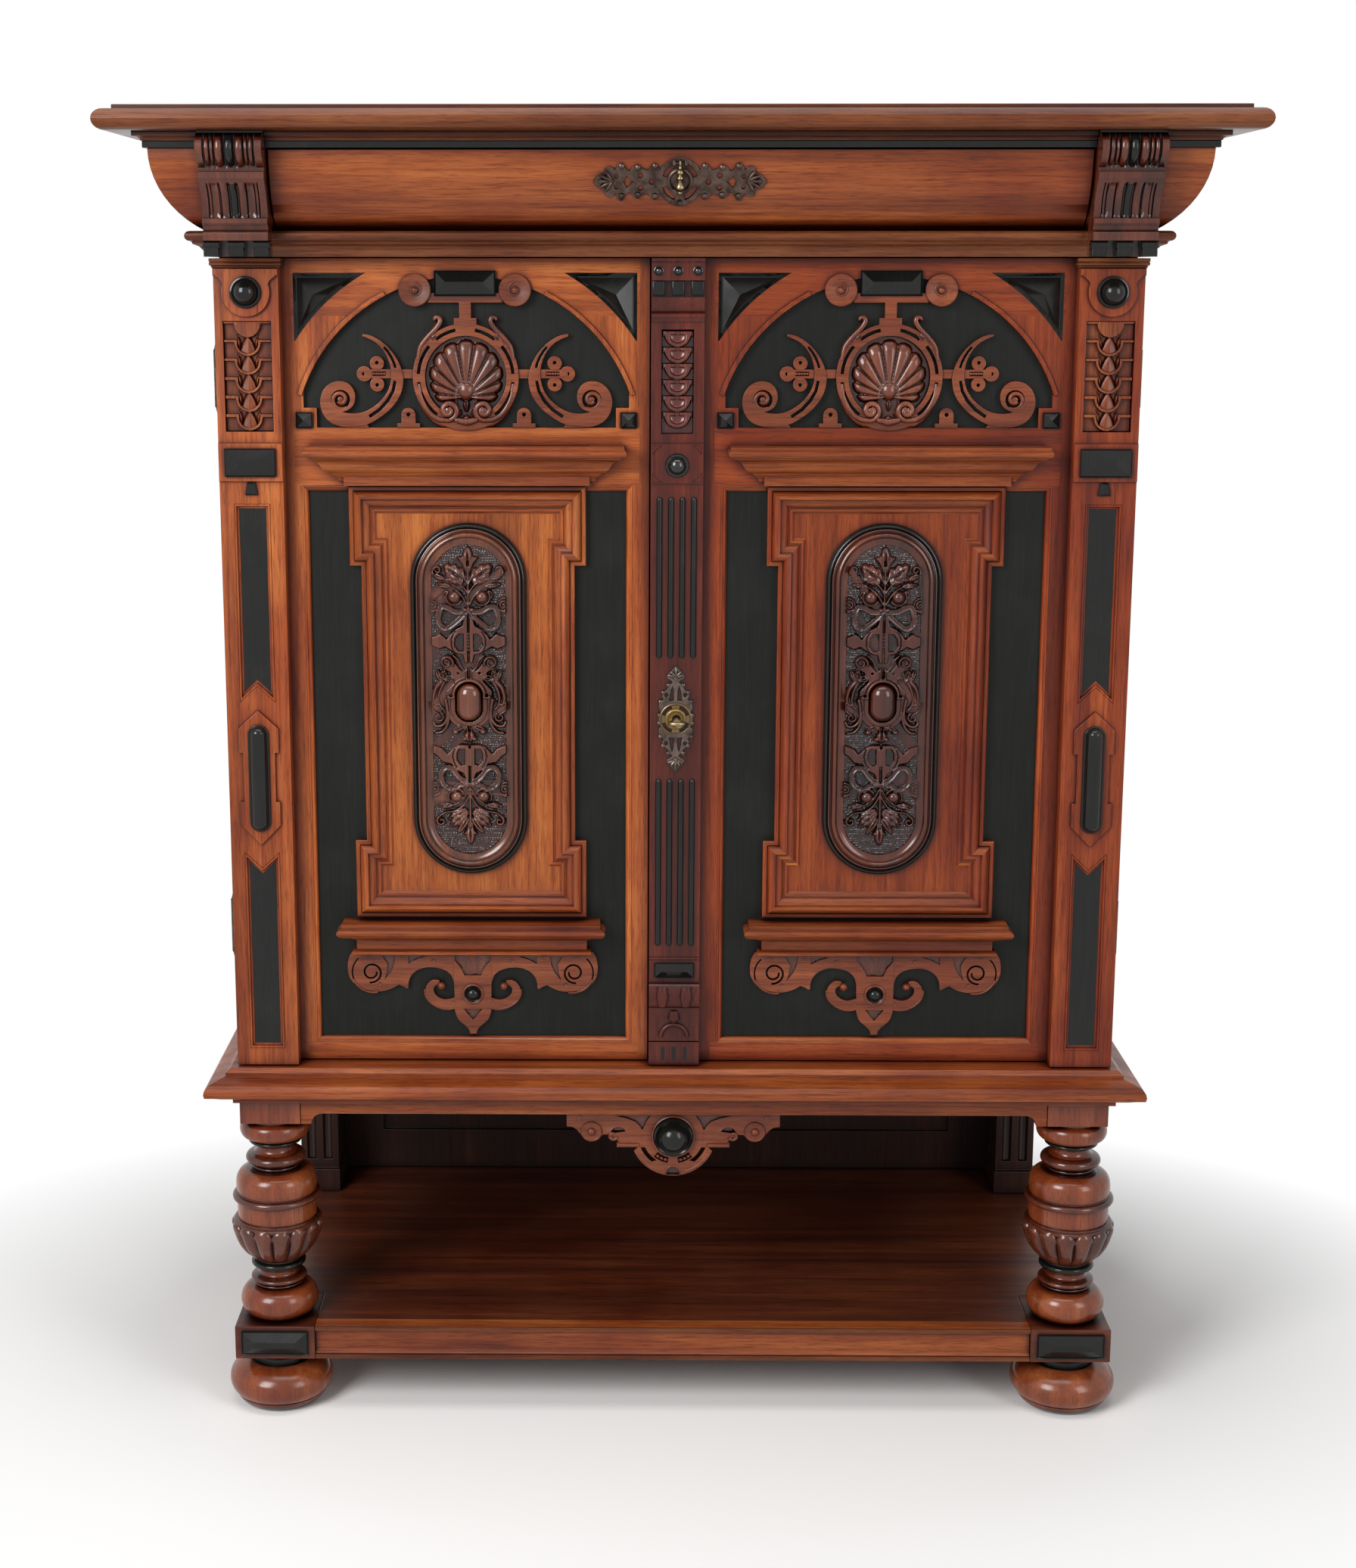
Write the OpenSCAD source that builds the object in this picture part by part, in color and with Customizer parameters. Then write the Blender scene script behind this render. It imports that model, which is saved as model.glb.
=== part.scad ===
/* [Case] */
// Width of the case across both doors
case_w = 1114; // [1040:2:1200]
// Depth from the pilaster fronts to the back of the case
case_d = 560; // [480:1:640]
// Thickness of the case sides
side_t = 20; // [16:1:26]
// Thickness of the back panels
back_t = 14; // [8:1:20]
// Thickness of the inner shelves
shelf_t = 18; // [14:1:26]

/* [Stand] */
// Height of the bun feet
foot_h = 75; // [60:1:90]
// Largest radius of the bun feet
foot_r = 68; // [56:1:76]
// Height of the plinth blocks
plinth_h = 45; // [36:1:60]
// Width and depth of the plinth blocks
plinth_w = 104; // [96:1:112]
// Height from the lower shelf to the base moulding
leg_h = 304; // [280:1:340]
// Width and depth of the square block on each baluster
leg_w = 78; // [66:1:86]
// Height of that square block
leg_block_h = 31; // [24:1:40]
// Largest radius of the balusters
baluster_r = 58; // [50:1:62]
// Thickness of the lower shelf
stand_shelf_t = 20; // [16:1:26]
// Thickness of the rails under and around the lower shelf
rail_t = 22; // [16:1:30]
// Thickness of the aprons
apron_t = 20; // [14:1:24]
// Height of the front apron between the balusters
apron_h = 17; // [12:1:24]
// Width of the rear console posts
post_w = 60; // [48:1:70]
// Depth of the rear console posts
post_d = 99; // [80:1:120]

/* [Heights] */
// Height of the moulded base
base_h = 48; // [44:1:60]
// Height of the doors
door_h = 1010; // [980:1:1100]
// Thickness of the architrave board
architrave_h = 30; // [26:1:40]
// Height of the frieze with the drawer
frieze_h = 93; // [84:1:110]
// Height of the black cornice band
band_h = 8; // [6:1:12]
// Height of the brown cornice moulding
cornice_h = 10; // [8:1:16]
// Thickness of the top slab at its rounded nose
slab_t = 24; // [20:1:30]
// Height of the fillet on the slab
fillet_t = 5; // [3:1:8]

/* [Projections] */
// Overhang of the top slab past the pilasters
slab_over = 114; // [108:1:130]
// Overhang of the brown cornice moulding
cornice_over = 76; // [72:1:80]
// Overhang of the black cornice band
band_over = 66; // [64:1:70]
// Overhang of the frieze at its top
frieze_over = 61; // [56:1:63]
// Overhang of the frieze at its foot
frieze_foot = 6; // [3:1:10]
// Overhang of the architrave nose
architrave_over = 28; // [24:1:34]
// Overhang of the base moulding
base_over = 39; // [32:1:48]
// Overhang of the corbels at their scroll
corbel_over = 100; // [92:1:106]

/* [Doors] */
// Thickness of the door frames
door_t = 22; // [18:1:28]
// Gap around and between the doors
door_gap = 1.5; // [1:0.1:3]
// Width of the pilasters
pilaster_w = 78; // [70:1:84]
// Thickness of the pilasters in front of the door frame
pilaster_t = 24; // [20:1:30]
// Width of the centre strip on the right door
strip_w = 64; // [60:1:70]
// Thickness of the centre strip
strip_t = 14; // [10:1:18]
// Thickness of the black door panels
panel_t = 8; // [6:1:8]
// How far the black panels lie behind the door frame's face
panel_set = 7; // [5:1:8]
// Width of the frame face that shows between strip and panel
stile_in = 14; // [12:1:20]
// Width of the frame face that shows between pilaster and panel
stile_out = 11; // [8:1:16]
// Height of the rail between the arch and the lower panel
rail_h = 71; // [66:1:84]
// Height of the bottom rail
bottom_rail_h = 23; // [20:1:34]
// Width of the eared moulded frame's border
border_w = 34; // [28:1:36]
// Half the width of the long carved oval
oval_hw = 66; // [58:1:70]

/* [Drawer] */
// Space behind the drawer when it is shut
drawer_space = 42; // [20:1:80]
// Thickness of the drawer sides and back
drawer_t = 12; // [9:1:15]
// Clearance beside the drawer front
drawer_gap = 1.5; // [1:0.1:3]

/* [Ironwork] */
// Radius of the hinge knuckles
knuckle_r = 4.5; // [4:0.1:5]
// Height of the keyhole above the foot of the doors
key_up = 449; // [400:1:500]
// Height of the slim reeds' ends above and below the keyhole
key_room = 77; // [70:1:90]
// Length of the door bolts
bolt_len = 82; // [70:1:100]
// Radius of the hinge pins
hinge_pin_r = 2; // [1.5:0.1:2.5]
// Thickness of the hinge leaves
leaf_t = 1.5; // [1:0.1:2]
// Height of each hinge without its finials
hinge_h = 70; // [60:1:90]
// Radius of the key's shaft
key_r = 3; // [2.5:0.1:3.5]
// Radius of the door bolts
bolt_r = 4; // [3:0.1:5]
// Radial clearance of everything that turns or slides in a bore
running = 0.04; // [0.02:0.01:0.09]

/* [Hidden] */
$fn = 48;

walnut = "#8f4f2a";
walnut_dark = "#643620";
ebony = "#1f1f21";
iron = "#4b423b";
brass = "#8f7b48";

// Clearance of flat parts that slide
slide_gap = 0.3;
// Length by which a cutter passes the face that it cuts
past = 1;

// Levels, from the floor up
z_block = foot_h;
z_shelf = z_block + plinth_h;
z_base = z_shelf + leg_h;
z_case = z_base + base_h;
z_door = z_case + door_gap;
z_door_top = z_door + door_h;
z_architrave = z_door_top + door_gap;
z_frieze = z_architrave + architrave_h;
z_band = z_frieze + frieze_h;
z_cornice = z_band + band_h;
z_slab = z_cornice + cornice_h;
z_fillet = z_slab + slab_t;
z_top = z_fillet + fillet_t;

// Depth: the pilaster fronts lie at y_front, and d counts backwards from them
y_front = -(case_d + slab_over) / 2 + slab_over;
y_back = y_front + case_d;
half_w = case_w / 2;
door_d = pilaster_t + door_t;
case_front = door_d + 1;
function dy(d) = y_front + d;

// Stand
leg_x = half_w - leg_w / 2;
leg_d = leg_w / 2;
rear_d = case_d - foot_r;
apron_d = 1.5;
post_x = half_w - 9 - post_w / 2;
rear_block_h = plinth_h - stand_shelf_t;

// Door layout, for the right door: u runs outwards from the middle of the cupboard
panel_in = strip_w / 2 + stile_in;
panel_out = half_w - pilaster_w - stile_out;
panel_w = panel_out - panel_in;
u0 = (panel_in + panel_out) / 2;
arch_r = panel_w / 2 + 1;
arch_hw = panel_w / 2 - 12.6;
arch_z = z_door_top - 20.5 - arch_r;
sill_z = arch_z + 30;
open_hw = panel_w / 2 - 9;
open_top = sill_z - rail_h;
open_bottom = z_door + bottom_rail_h;
lip = 7;
face_d = pilaster_t;
panel_d = face_d + panel_set;
strap_t = 6;
pilaster_u = half_w - pilaster_w / 2;

// Eared frame and oval
ear_hw = open_hw - 56.5;
waist_hw = ear_hw - 14;
frame_top = open_top;
frame_bottom = open_bottom + 167;
ear_top_h = 98;
ear_low_h = 100;
field_t = 6;
oval_z = (frame_top + frame_bottom) / 2 + 6;
oval_hh = (frame_top - frame_bottom) / 2 - 57;
bead_w = 6;

// Cornices of the doors
pediment_hw = ear_hw + 5;
pediment_h = 49;
bracket_hw = ear_hw;
bracket_h = 42;
bracket_top = frame_bottom - 4;
fret_top = bracket_top - bracket_h;

// Frieze curve: a circle that is upright at the top of the frieze
frieze_w = frieze_over - frieze_foot;
frieze_r = (frieze_h * frieze_h + frieze_w * frieze_w) / (2 * frieze_w);
drawer_hw = half_w - pilaster_w + 1;
drawer_front_d = 14;
drawer_d = case_d - back_t - drawer_front_d - drawer_space;

// Hinges, key and bolts
pin_x = half_w + leaf_t + knuckle_r;
pin_d = door_d + 0.5;
hinge_z = [z_door + 172, z_door_top - 144];
key_x = 1;
key_z = z_door + key_up;
bolt_x = -(strip_w / 2 + door_gap + 8.5);
bolt_d = door_d + 8;
bolt_travel = 14;
case_hw = 35;

// Points of an arc
function arc(cx, cy, r, a0, a1, n = 6) =
  [for (i = [0:n]) [cx + r * cos(a0 + (a1 - a0) * i / n), cy + r * sin(a0 + (a1 - a0) * i / n)]];
// The same points in reverse order
function backwards(p) = [for (i = [len(p) - 1:-1:0]) p[i]];

// Lays a drawing upright: x to the right, y up, thickness towards the viewer from depth d
module face(d) {
  translate([0, dy(d), 0]) rotate([90, 0, 0]) children();
}

// Sweeps a section of [y, z] points along X, from x0 to x1
module along_x(x0, x1) {
  translate([x0, 0, 0]) rotate([90, 0, 90]) linear_extrude(x1 - x0) children();
}

// Sweeps a section of [x, z] points along Y, from y0 to y1
module along_y(y0, y1) {
  translate([0, y1, 0]) rotate([90, 0, 0]) linear_extrude(y1 - y0) children();
}

// A board with a moulded edge on its front and both ends: edge is a list of [overhang, z]
module moulded(edge, y_end = y_back) {
  low = edge[0][1];
  high = edge[len(edge) - 1][1];
  intersection() {
    along_x(-half_w - 200, half_w + 200)
      polygon(concat([for (p = edge) [y_front - p[0], p[1]]], [[y_end, high], [y_end, low]]));
    along_y(y_front - 200, y_end)
      polygon(concat([for (p = edge) [half_w + p[0], p[1]]],
                     backwards([for (p = edge) [-half_w - p[0], p[1]]])));
  }
}

// The same for a small cornice on a door, about u0: edge is a list of [projection, z]
module door_moulded(edge, hw, d0, d_end) {
  low = edge[0][1];
  high = edge[len(edge) - 1][1];
  intersection() {
    along_x(u0 - hw - 100, u0 + hw + 100)
      polygon(concat([for (p = edge) [dy(d0) - p[0], p[1]]], [[dy(d_end), high], [dy(d_end), low]]));
    along_y(dy(d0) - 100, dy(d_end))
      polygon(concat([for (p = edge) [u0 + hw + p[0], p[1]]],
                     backwards([for (p = edge) [u0 - hw - p[0], p[1]]])));
  }
}

// A hipped block w wide, h high and t proud, standing on depth d at (x, z)
module hipped(x, z, w, h, t, d, top = 0.6) {
  slope = min(w, h) / 2 - top;
  intersection() {
    translate([x, 0, z]) along_x(-w / 2, w / 2)
      polygon([[dy(d), -h / 2], [dy(d), h / 2], [dy(d - t), h / 2 - slope], [dy(d - t), -h / 2 + slope]]);
    translate([x, 0, z]) along_y(dy(d - t), dy(d))
      square([w, h], center = true);
    translate([x, 0, z]) linear_extrude(h, center = true)
      polygon([[-w / 2, dy(d)], [w / 2, dy(d)], [w / 2 - slope, dy(d - t)], [-w / 2 + slope, dy(d - t)]]);
  }
}

// A round boss on depth d: a low collar and a dome
module boss(x, z, r, d) {
  translate([x, dy(d), z]) rotate([90, 0, 0]) rotate_extrude()
    polygon(concat([[0, 0], [r, 0], [r, 1.5]], arc(0, 1.5, r * 0.86, 0, 90)));
}

// A half-round rod, upright, on depth d
module rod(x, z0, z1, r, d) {
  translate([x, dy(d), z0]) linear_extrude(z1 - z0) intersection() {
    circle(r);
    translate([-r, -r]) square([2 * r, r]);
  }
}

module stadium(hw, hh) {
  square([2 * hw, 2 * (hh - hw)], center = true);
  for (s = [-1, 1])
    translate([0, s * (hh - hw)]) circle(hw);
}

module ring2d(r_out, r_in) {
  difference() {
    circle(r_out);
    circle(r_in);
  }
}

// Runs its children for both halves of a drawing about u0
module both_halves() {
  for (s = [0, 1])
    translate([u0, 0]) mirror([s, 0]) children();
}

// Stand

module foot_at(x, d) {
  translate([x, dy(d), 0]) rotate_extrude()
    polygon([[0, 0], [foot_r * 0.66, 0], [foot_r * 0.8, foot_h * 0.1], [foot_r * 0.93, foot_h * 0.23],
             [foot_r, foot_h * 0.42], [foot_r, foot_h * 0.52], [foot_r * 0.95, foot_h * 0.68],
             [foot_r * 0.84, foot_h * 0.8], [foot_r * 0.7, foot_h * 0.86], [foot_r * 0.7, foot_h],
             [0, foot_h]]);
}

module bun_feet() {
  color(walnut)
    for (x = [-leg_x, leg_x], d = [leg_d, rear_d])
      foot_at(x, d);
}

module block_at(x, d, h) {
  translate([x - plinth_w / 2, dy(d) - plinth_w / 2, z_block]) cube([plinth_w, plinth_w, h]);
}

module plinth_blocks() {
  color(walnut_dark)
    for (x = [-leg_x, leg_x]) {
      block_at(x, leg_d, plinth_h);
      block_at(x, rear_d, rear_block_h);
    }
}

module stand_ebony_mounts() {
  pad_w = plinth_w - 20;
  pad_h = plinth_h - 18;
  color(ebony) {
    for (x = [-leg_x, leg_x])
      hipped(x, z_block + plinth_h / 2, pad_w, pad_h, 5, leg_d - plinth_w / 2, pad_h / 2 - 7);
    boss(0, medal_z, 21, apron_d - 5);
  }
}

module lower_rails() {
  front_over = plinth_w / 2 - leg_d - 3;
  side_x = leg_x + plinth_w / 2;
  x_in = leg_x - plinth_w / 2;
  color(walnut) {
    along_x(-x_in, x_in)
      polygon([[dy(-front_over), z_block + 2], [dy(-front_over), z_block + 8],
               [dy(-front_over + 4), z_block + 11], [dy(-front_over + 4), z_shelf - 8],
               [dy(-front_over + 1), z_shelf - 5],
               [dy(-front_over + 1), z_shelf], [dy(rail_t - front_over), z_shelf],
               [dy(rail_t - front_over), z_block + 2]]);
    for (s = [-1, 1])
      translate([s * (side_x - rail_t / 2) - rail_t / 2, dy(leg_d + plinth_w / 2), z_block])
        cube([rail_t, rear_d - leg_d - plinth_w, rear_block_h]);
    translate([-x_in, y_back - rail_t, z_block]) cube([2 * x_in, rail_t, rear_block_h]);
  }
}

module lower_shelf() {
  w = leg_x + plinth_w / 2;
  front = rail_t - (plinth_w / 2 - leg_d - 3);
  color(walnut_dark)
    translate([0, 0, z_shelf - stand_shelf_t]) linear_extrude(stand_shelf_t) difference() {
      translate([-w, dy(front)]) square([2 * w, case_d - front]);
      for (s = [-1, 1])
        translate([s * leg_x - plinth_w / 2 - (s < 0 ? past : 0), dy(front) - past])
          square([plinth_w + past, leg_d + plinth_w / 2 - front + past]);
    }
}

module baluster_at(x) {
  h = leg_h - leg_block_h;
  r = baluster_r;
  color(walnut) translate([x, dy(leg_d), z_shelf]) {
    translate([-leg_w / 2, -leg_w / 2, h]) cube([leg_w, leg_w, leg_block_h]);
    rotate_extrude()
      polygon(concat(
        [[0, 0], [r * 0.72, 0]],
        arc(r * 0.62, h * 0.065, h * 0.065 + 1, -60, 80),
        [[r * 0.56, h * 0.135], [r * 0.61, h * 0.15], [r * 0.56, h * 0.165], [r * 0.54, h * 0.18],
         [r * 0.42, h * 0.2], [r * 0.42, h * 0.24], [r * 0.58, h * 0.252], [r * 0.58, h * 0.28],
         [r * 0.62, h * 0.3], [r * 0.88, h * 0.37], [r, h * 0.42], [r, h * 0.455], [r * 0.9, h * 0.47],
         [r * 0.9, h * 0.535], [r, h * 0.55], [r, h * 0.58], [r * 0.88, h * 0.6], [r * 0.88, h * 0.66],
         [r * 0.82, h * 0.7], [r * 0.64, h * 0.725], [r * 0.66, h * 0.75], [r * 0.56, h * 0.78],
         [r * 0.38, h * 0.8], [r * 0.38, h * 0.83], [r * 0.56, h * 0.85], [r * 0.56, h * 0.87],
         [r * 0.7, h * 0.89], [r * 0.79, h * 0.94], [r * 0.72, h + past], [0, h + past]]));
  }
}

module baluster_left() { baluster_at(-leg_x); }
module baluster_right() { baluster_at(leg_x); }

module rear_posts() {
  front = case_d - back_t - post_d;
  foot_block_h = 34;
  color(walnut_dark)
    for (s = [-1, 1]) {
      translate([s * post_x - post_w / 2, dy(front), z_shelf]) cube([post_w, post_d, foot_block_h]);
      difference() {
        translate([s * post_x - post_w / 2 + 2, dy(front + 8), z_shelf + foot_block_h])
          cube([post_w - 4, post_d - 8, leg_h - foot_block_h]);
        for (k = [-1, 1])
          translate([s * post_x + k * post_w / 5, dy(front + 8), z_shelf + foot_block_h + 14])
            cylinder(r = post_w / 9, h = leg_h);
      }
    }
}

module lower_back_panel() {
  color(walnut_dark) difference() {
    translate([-half_w, y_back - back_t, z_shelf]) cube([case_w, back_t, leg_h]);
    translate([-half_w + 125, y_back - back_t - past, z_shelf + 60])
      cube([case_w - 250, back_t / 2 + past, leg_h - 120]);
  }
}

module front_apron() {
  x_end = leg_x - leg_w / 2;
  drop = leg_block_h - apron_h;
  low = z_base - leg_block_h;
  bracket = concat([[-x_end, z_base], [-x_end, low]], arc(-x_end + 14 + drop, low, drop, 180, 90));
  color(walnut) face(apron_d + apron_t) linear_extrude(apron_t)
    polygon(concat(bracket, backwards([for (p = bracket) [-p[0], p[1]]])));
}

module side_aprons() {
  color(walnut)
    for (s = [-1, 1])
      translate([s * (half_w - 1.5 - apron_t / 2) - apron_t / 2, dy(leg_w), z_base - leg_block_h])
        cube([apron_t, case_d - leg_w - back_t - post_d, leg_block_h]);
}

medal_z = z_base - apron_h - 29;

module pendant_shape() {
  top = z_base - apron_h;
  difference() {
    union() {
      translate([-137, top - 19]) square([274, 19]);
      for (s = [-1, 1]) {
        translate([s * 104, top - 24]) circle(15);
        translate([s * 60 - 20, top - 45]) square([40, 9]);
      }
      translate([0, medal_z]) circle(43);
      difference() {
        translate([0, medal_z - 13]) circle(45);
        translate([-60, medal_z]) square([120, 60]);
      }
    }
    for (s = [-1, 1])
      translate([s * 70, top - 22]) circle(13);
    translate([-140, top]) square([280, 60]);
  }
}

module apron_pendant() {
  color(walnut) {
    face(apron_d + apron_t - 2) linear_extrude(apron_t - 4) pendant_shape();
    face(apron_d + 2) linear_extrude(7) translate([0, medal_z]) circle(28);
  }
}

// Base, case and shelves

base_edge = [
  [7, z_base], [7, z_base + base_h * 0.14], [20, z_base + base_h * 0.2],
  [base_over - 6, z_base + base_h * 0.32],
  [base_over - 1, z_base + base_h * 0.35], [base_over, z_base + base_h * 0.45],
  [base_over - 1, z_base + base_h * 0.55], [base_over - 5, z_base + base_h * 0.66],
  [base_over - 12, z_base + base_h * 0.72], [18, z_base + base_h * 0.78], [14, z_base + base_h * 0.81],
  [14, z_base + base_h * 0.9], [8, z_base + base_h]
];
ring_w = 40;
base_ring_d = bolt_d + bolt_r + 4;

module base_moulding() {
  color(walnut) difference() {
    moulded(base_edge);
    translate([-half_w + ring_w, dy(base_ring_d), z_base - past])
      cube([case_w - 2 * ring_w, case_d - base_ring_d - side_t, base_h + 2 * past]);
    translate([bolt_x, dy(bolt_d), z_case - bolt_travel - 4])
      cylinder(r = bolt_r + 0.5, h = bolt_travel + 6);
  }
}

module cupboard_bottom() {
  color(walnut_dark) translate([-half_w + ring_w, dy(base_ring_d), z_case - side_t])
    cube([case_w - 2 * ring_w, case_d - base_ring_d - side_t, side_t]);
}

side_margin = 78;
side_low_z = [z_case + 90, z_case + 90 + (door_h - 260) * 0.6];
side_high_z = [side_low_z[1] + 80, z_architrave - 90];

module side_panel_holes(out, grow = 0) {
  for (z = [side_low_z, side_high_z])
    translate([half_w - out, dy(case_front + side_margin) - grow, z[0] - grow])
      cube([out + past, case_d - case_front - 2 * side_margin + 2 * grow, z[1] - z[0] + 2 * grow]);
}

module side_wall() {
  color(walnut) difference() {
    translate([half_w - side_t, dy(case_front), z_case])
      cube([side_t, case_d - case_front, z_architrave - z_case]);
    side_panel_holes(9);
  }
}

module side_right() { side_wall(); }
module side_left() { mirror([1, 0, 0]) side_wall(); }

module side_panels() {
  color(ebony)
    for (s = [0, 1])
      mirror([s, 0, 0]) intersection() {
        side_panel_holes(9);
        translate([half_w - 9, y_front, 0]) cube([5, case_d, z_top]);
      }
}

module back_panel() {
  frieze_in = half_w - side_t;
  color(walnut_dark) {
    translate([-half_w + side_t, y_back - back_t, z_case])
      cube([case_w - 2 * side_t, back_t, z_architrave - z_case]);
    translate([-frieze_in, y_back - back_t, z_frieze]) cube([2 * frieze_in, back_t, frieze_h]);
  }
}

shelf_front = 90;
shelf_z = [z_case + (z_architrave - z_case) * 0.34, z_case + (z_architrave - z_case) * 0.67];

module shelves() {
  color(walnut_dark)
    for (z = shelf_z)
      translate([-half_w + side_t + 0.3, dy(shelf_front), z])
        cube([case_w - 2 * side_t - 0.6, case_d - back_t - shelf_front - 0.3, shelf_t]);
}

cleat = 20;
guide_w = 16;

module inner_bearers() {
  guide_x = drawer_hw - drawer_gap - 3;
  color(walnut_dark)
    for (s = [0, 1])
      mirror([s, 0, 0]) {
        for (z = shelf_z)
          translate([half_w - side_t - cleat, dy(shelf_front + 10), z - cleat])
            cube([cleat, case_d - back_t - shelf_front - 20, cleat]);
        translate([guide_x, dy(case_front + 10), z_frieze])
          cube([guide_w, case_d - back_t - case_front - 10, cleat]);
      }
}

// Architrave, frieze and cornice

architrave_edge = concat(
  [[frieze_foot, z_architrave], [frieze_foot + 3, z_architrave + architrave_h * 0.25],
   [architrave_over - 15, z_architrave + architrave_h * 0.4],
   [architrave_over - 8, z_architrave + architrave_h * 0.5],
   [architrave_over - 8, z_architrave + architrave_h * 0.56]],
  arc(architrave_over - architrave_h * 0.2, z_architrave + architrave_h * 0.8, architrave_h * 0.2, -90, 90)
);

module architrave() {
  color(walnut) difference() {
    moulded(architrave_edge);
    translate([bolt_x, dy(bolt_d), z_architrave - past])
      cylinder(r = bolt_r + 0.5, h = bolt_travel + 4 + past);
  }
}

// Points of the frieze curve, from its foot up, pushed outwards by t
function frieze_curve(t = 0, n = 10) =
  arc(frieze_over - frieze_r, z_band, frieze_r + t, -asin(frieze_h / frieze_r), 0, n);
frieze_edge = frieze_curve();
frieze_wall_in = half_w - side_t;

module frieze_ends() {
  color(walnut) difference() {
    moulded(frieze_edge);
    translate([-drawer_hw, y_front - 100, z_frieze - past])
      cube([2 * drawer_hw, case_d + 200, frieze_h + 2 * past]);
    translate([-frieze_wall_in, dy(case_front), z_frieze - past])
      cube([2 * frieze_wall_in, case_d, frieze_h + 2 * past]);
  }
}

module top_ring_hole() {
  translate([-frieze_wall_in, dy(case_front), z_band - past])
    cube([2 * frieze_wall_in, case_d - case_front - side_t, slab_t + 2 * past]);
}

corbel_w = pilaster_w - 2;
corbel_x = half_w - pilaster_w / 2;
dentil_w = 17;
dentil_h = 18;
dentil_t = 12;

module cornice_ebony() {
  color(ebony) {
    difference() {
      moulded([[band_over, z_band], [band_over, z_cornice]]);
      top_ring_hole();
      corbel_slots();
    }
    for (s = [-1, 1], k = [-1, 0, 1])
      translate([s * corbel_x + k * (corbel_w / 2 - dentil_w / 2) - dentil_w / 2,
                 dy(-dentil_front), z_architrave])
        cube([dentil_w, dentil_t, dentil_h]);
  }
}

module cornice_moulding() {
  color(walnut) difference() {
    moulded([[band_over + 1, z_cornice], [band_over + 2, z_cornice + cornice_h * 0.25],
             [band_over + 5, z_cornice + cornice_h * 0.42], [cornice_over, z_cornice + cornice_h * 0.5],
             [cornice_over, z_slab]]);
    top_ring_hole();
    corbel_slots();
  }
}

module top_slab() {
  nose = slab_t / 2;
  step = slab_over - 20;
  color(walnut) {
    moulded(concat(arc(slab_over - nose, z_slab + nose, nose, -90, 90, 10),
                   [[step, z_fillet], [step, z_top]]));
  }
}

// Space that the corbels take in the cornice
module corbel_slots() {
  for (s = [-1, 1])
    translate([s * corbel_x - corbel_w / 2, y_front - corbel_over - 5, z_band - past])
      cube([corbel_w, corbel_over + 5 - frieze_over, z_slab - z_band + 2 * past]);
}

dentil_front = 60;

// Side view of a corbel, from its foot up the front and back down the frieze
module corbel_side() {
  low = z_architrave;
  mid = z_frieze;
  polygon(concat(
    [[dy(-dentil_front + dentil_t), low], [dy(-dentil_front + dentil_t), low + dentil_h],
     [dy(-dentil_front - 4), low + dentil_h], [dy(-dentil_front - 4), low + dentil_h + 8],
     [dy(-dentil_front), low + dentil_h + 12], [dy(-dentil_front - 6), mid + 9],
     [dy(-dentil_front - 6), mid + 13], [dy(-dentil_front - 2), mid + 14], [dy(-dentil_front - 5), mid + 30],
     [dy(-dentil_front - 14), mid + 48], [dy(-dentil_front - 24), mid + 60],
     [dy(-dentil_front - 24), mid + 69]],
    [for (p = arc(-corbel_over + 20, z_slab - 21, 20, 250, 100, 8)) [y_front + p[0], p[1]]],
    [[dy(-corbel_over + 22), z_slab], [dy(-frieze_over), z_slab]],
    [for (p = backwards(frieze_edge)) [y_front - p[0], p[1]]],
    [for (p = backwards(architrave_edge)) [y_front - p[0], p[1]]]
  ));
}

module corbels() {
  color(walnut_dark)
    for (s = [-1, 1])
      along_x(s * corbel_x - corbel_w / 2, s * corbel_x + corbel_w / 2) corbel_side();
}

// Drawer

drawer_box_x = drawer_hw - drawer_gap - 5;
drawer_z = z_frieze + drawer_gap;
drawer_top = z_band - drawer_gap;

module drawer_front() {
  color(walnut) intersection() {
    along_x(-drawer_hw + drawer_gap, drawer_hw - drawer_gap)
      polygon(concat([for (p = frieze_edge) [y_front - p[0], p[1]]],
                     [[dy(drawer_front_d), z_band], [dy(drawer_front_d), z_frieze]]));
    translate([-half_w, y_front - frieze_over - past, drawer_z])
      cube([case_w, case_d, drawer_top - drawer_z]);
  }
}

module drawer_sides() {
  color(walnut_dark)
    for (s = [0, 1])
      mirror([s, 0, 0]) translate([drawer_box_x - drawer_t, dy(drawer_front_d), z_frieze + slide_gap])
        cube([drawer_t, drawer_d, frieze_h - 12]);
}

module drawer_back() {
  color(walnut_dark)
    translate([-drawer_box_x + drawer_t, dy(drawer_front_d + drawer_d - drawer_t), z_frieze + slide_gap])
      cube([2 * (drawer_box_x - drawer_t), drawer_t, frieze_h - 20]);
}

module drawer_bottom() {
  color(walnut_dark)
    translate([-drawer_box_x + drawer_t, dy(drawer_front_d), z_frieze + 4])
      cube([2 * (drawer_box_x - drawer_t), drawer_d - drawer_t, 7]);
}

plate_z = z_frieze + frieze_h * 0.59;
pull_z = z_frieze + frieze_h * 0.81;
pull_over = frieze_over + 7;
pull_pin_r = 1.5;

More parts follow.
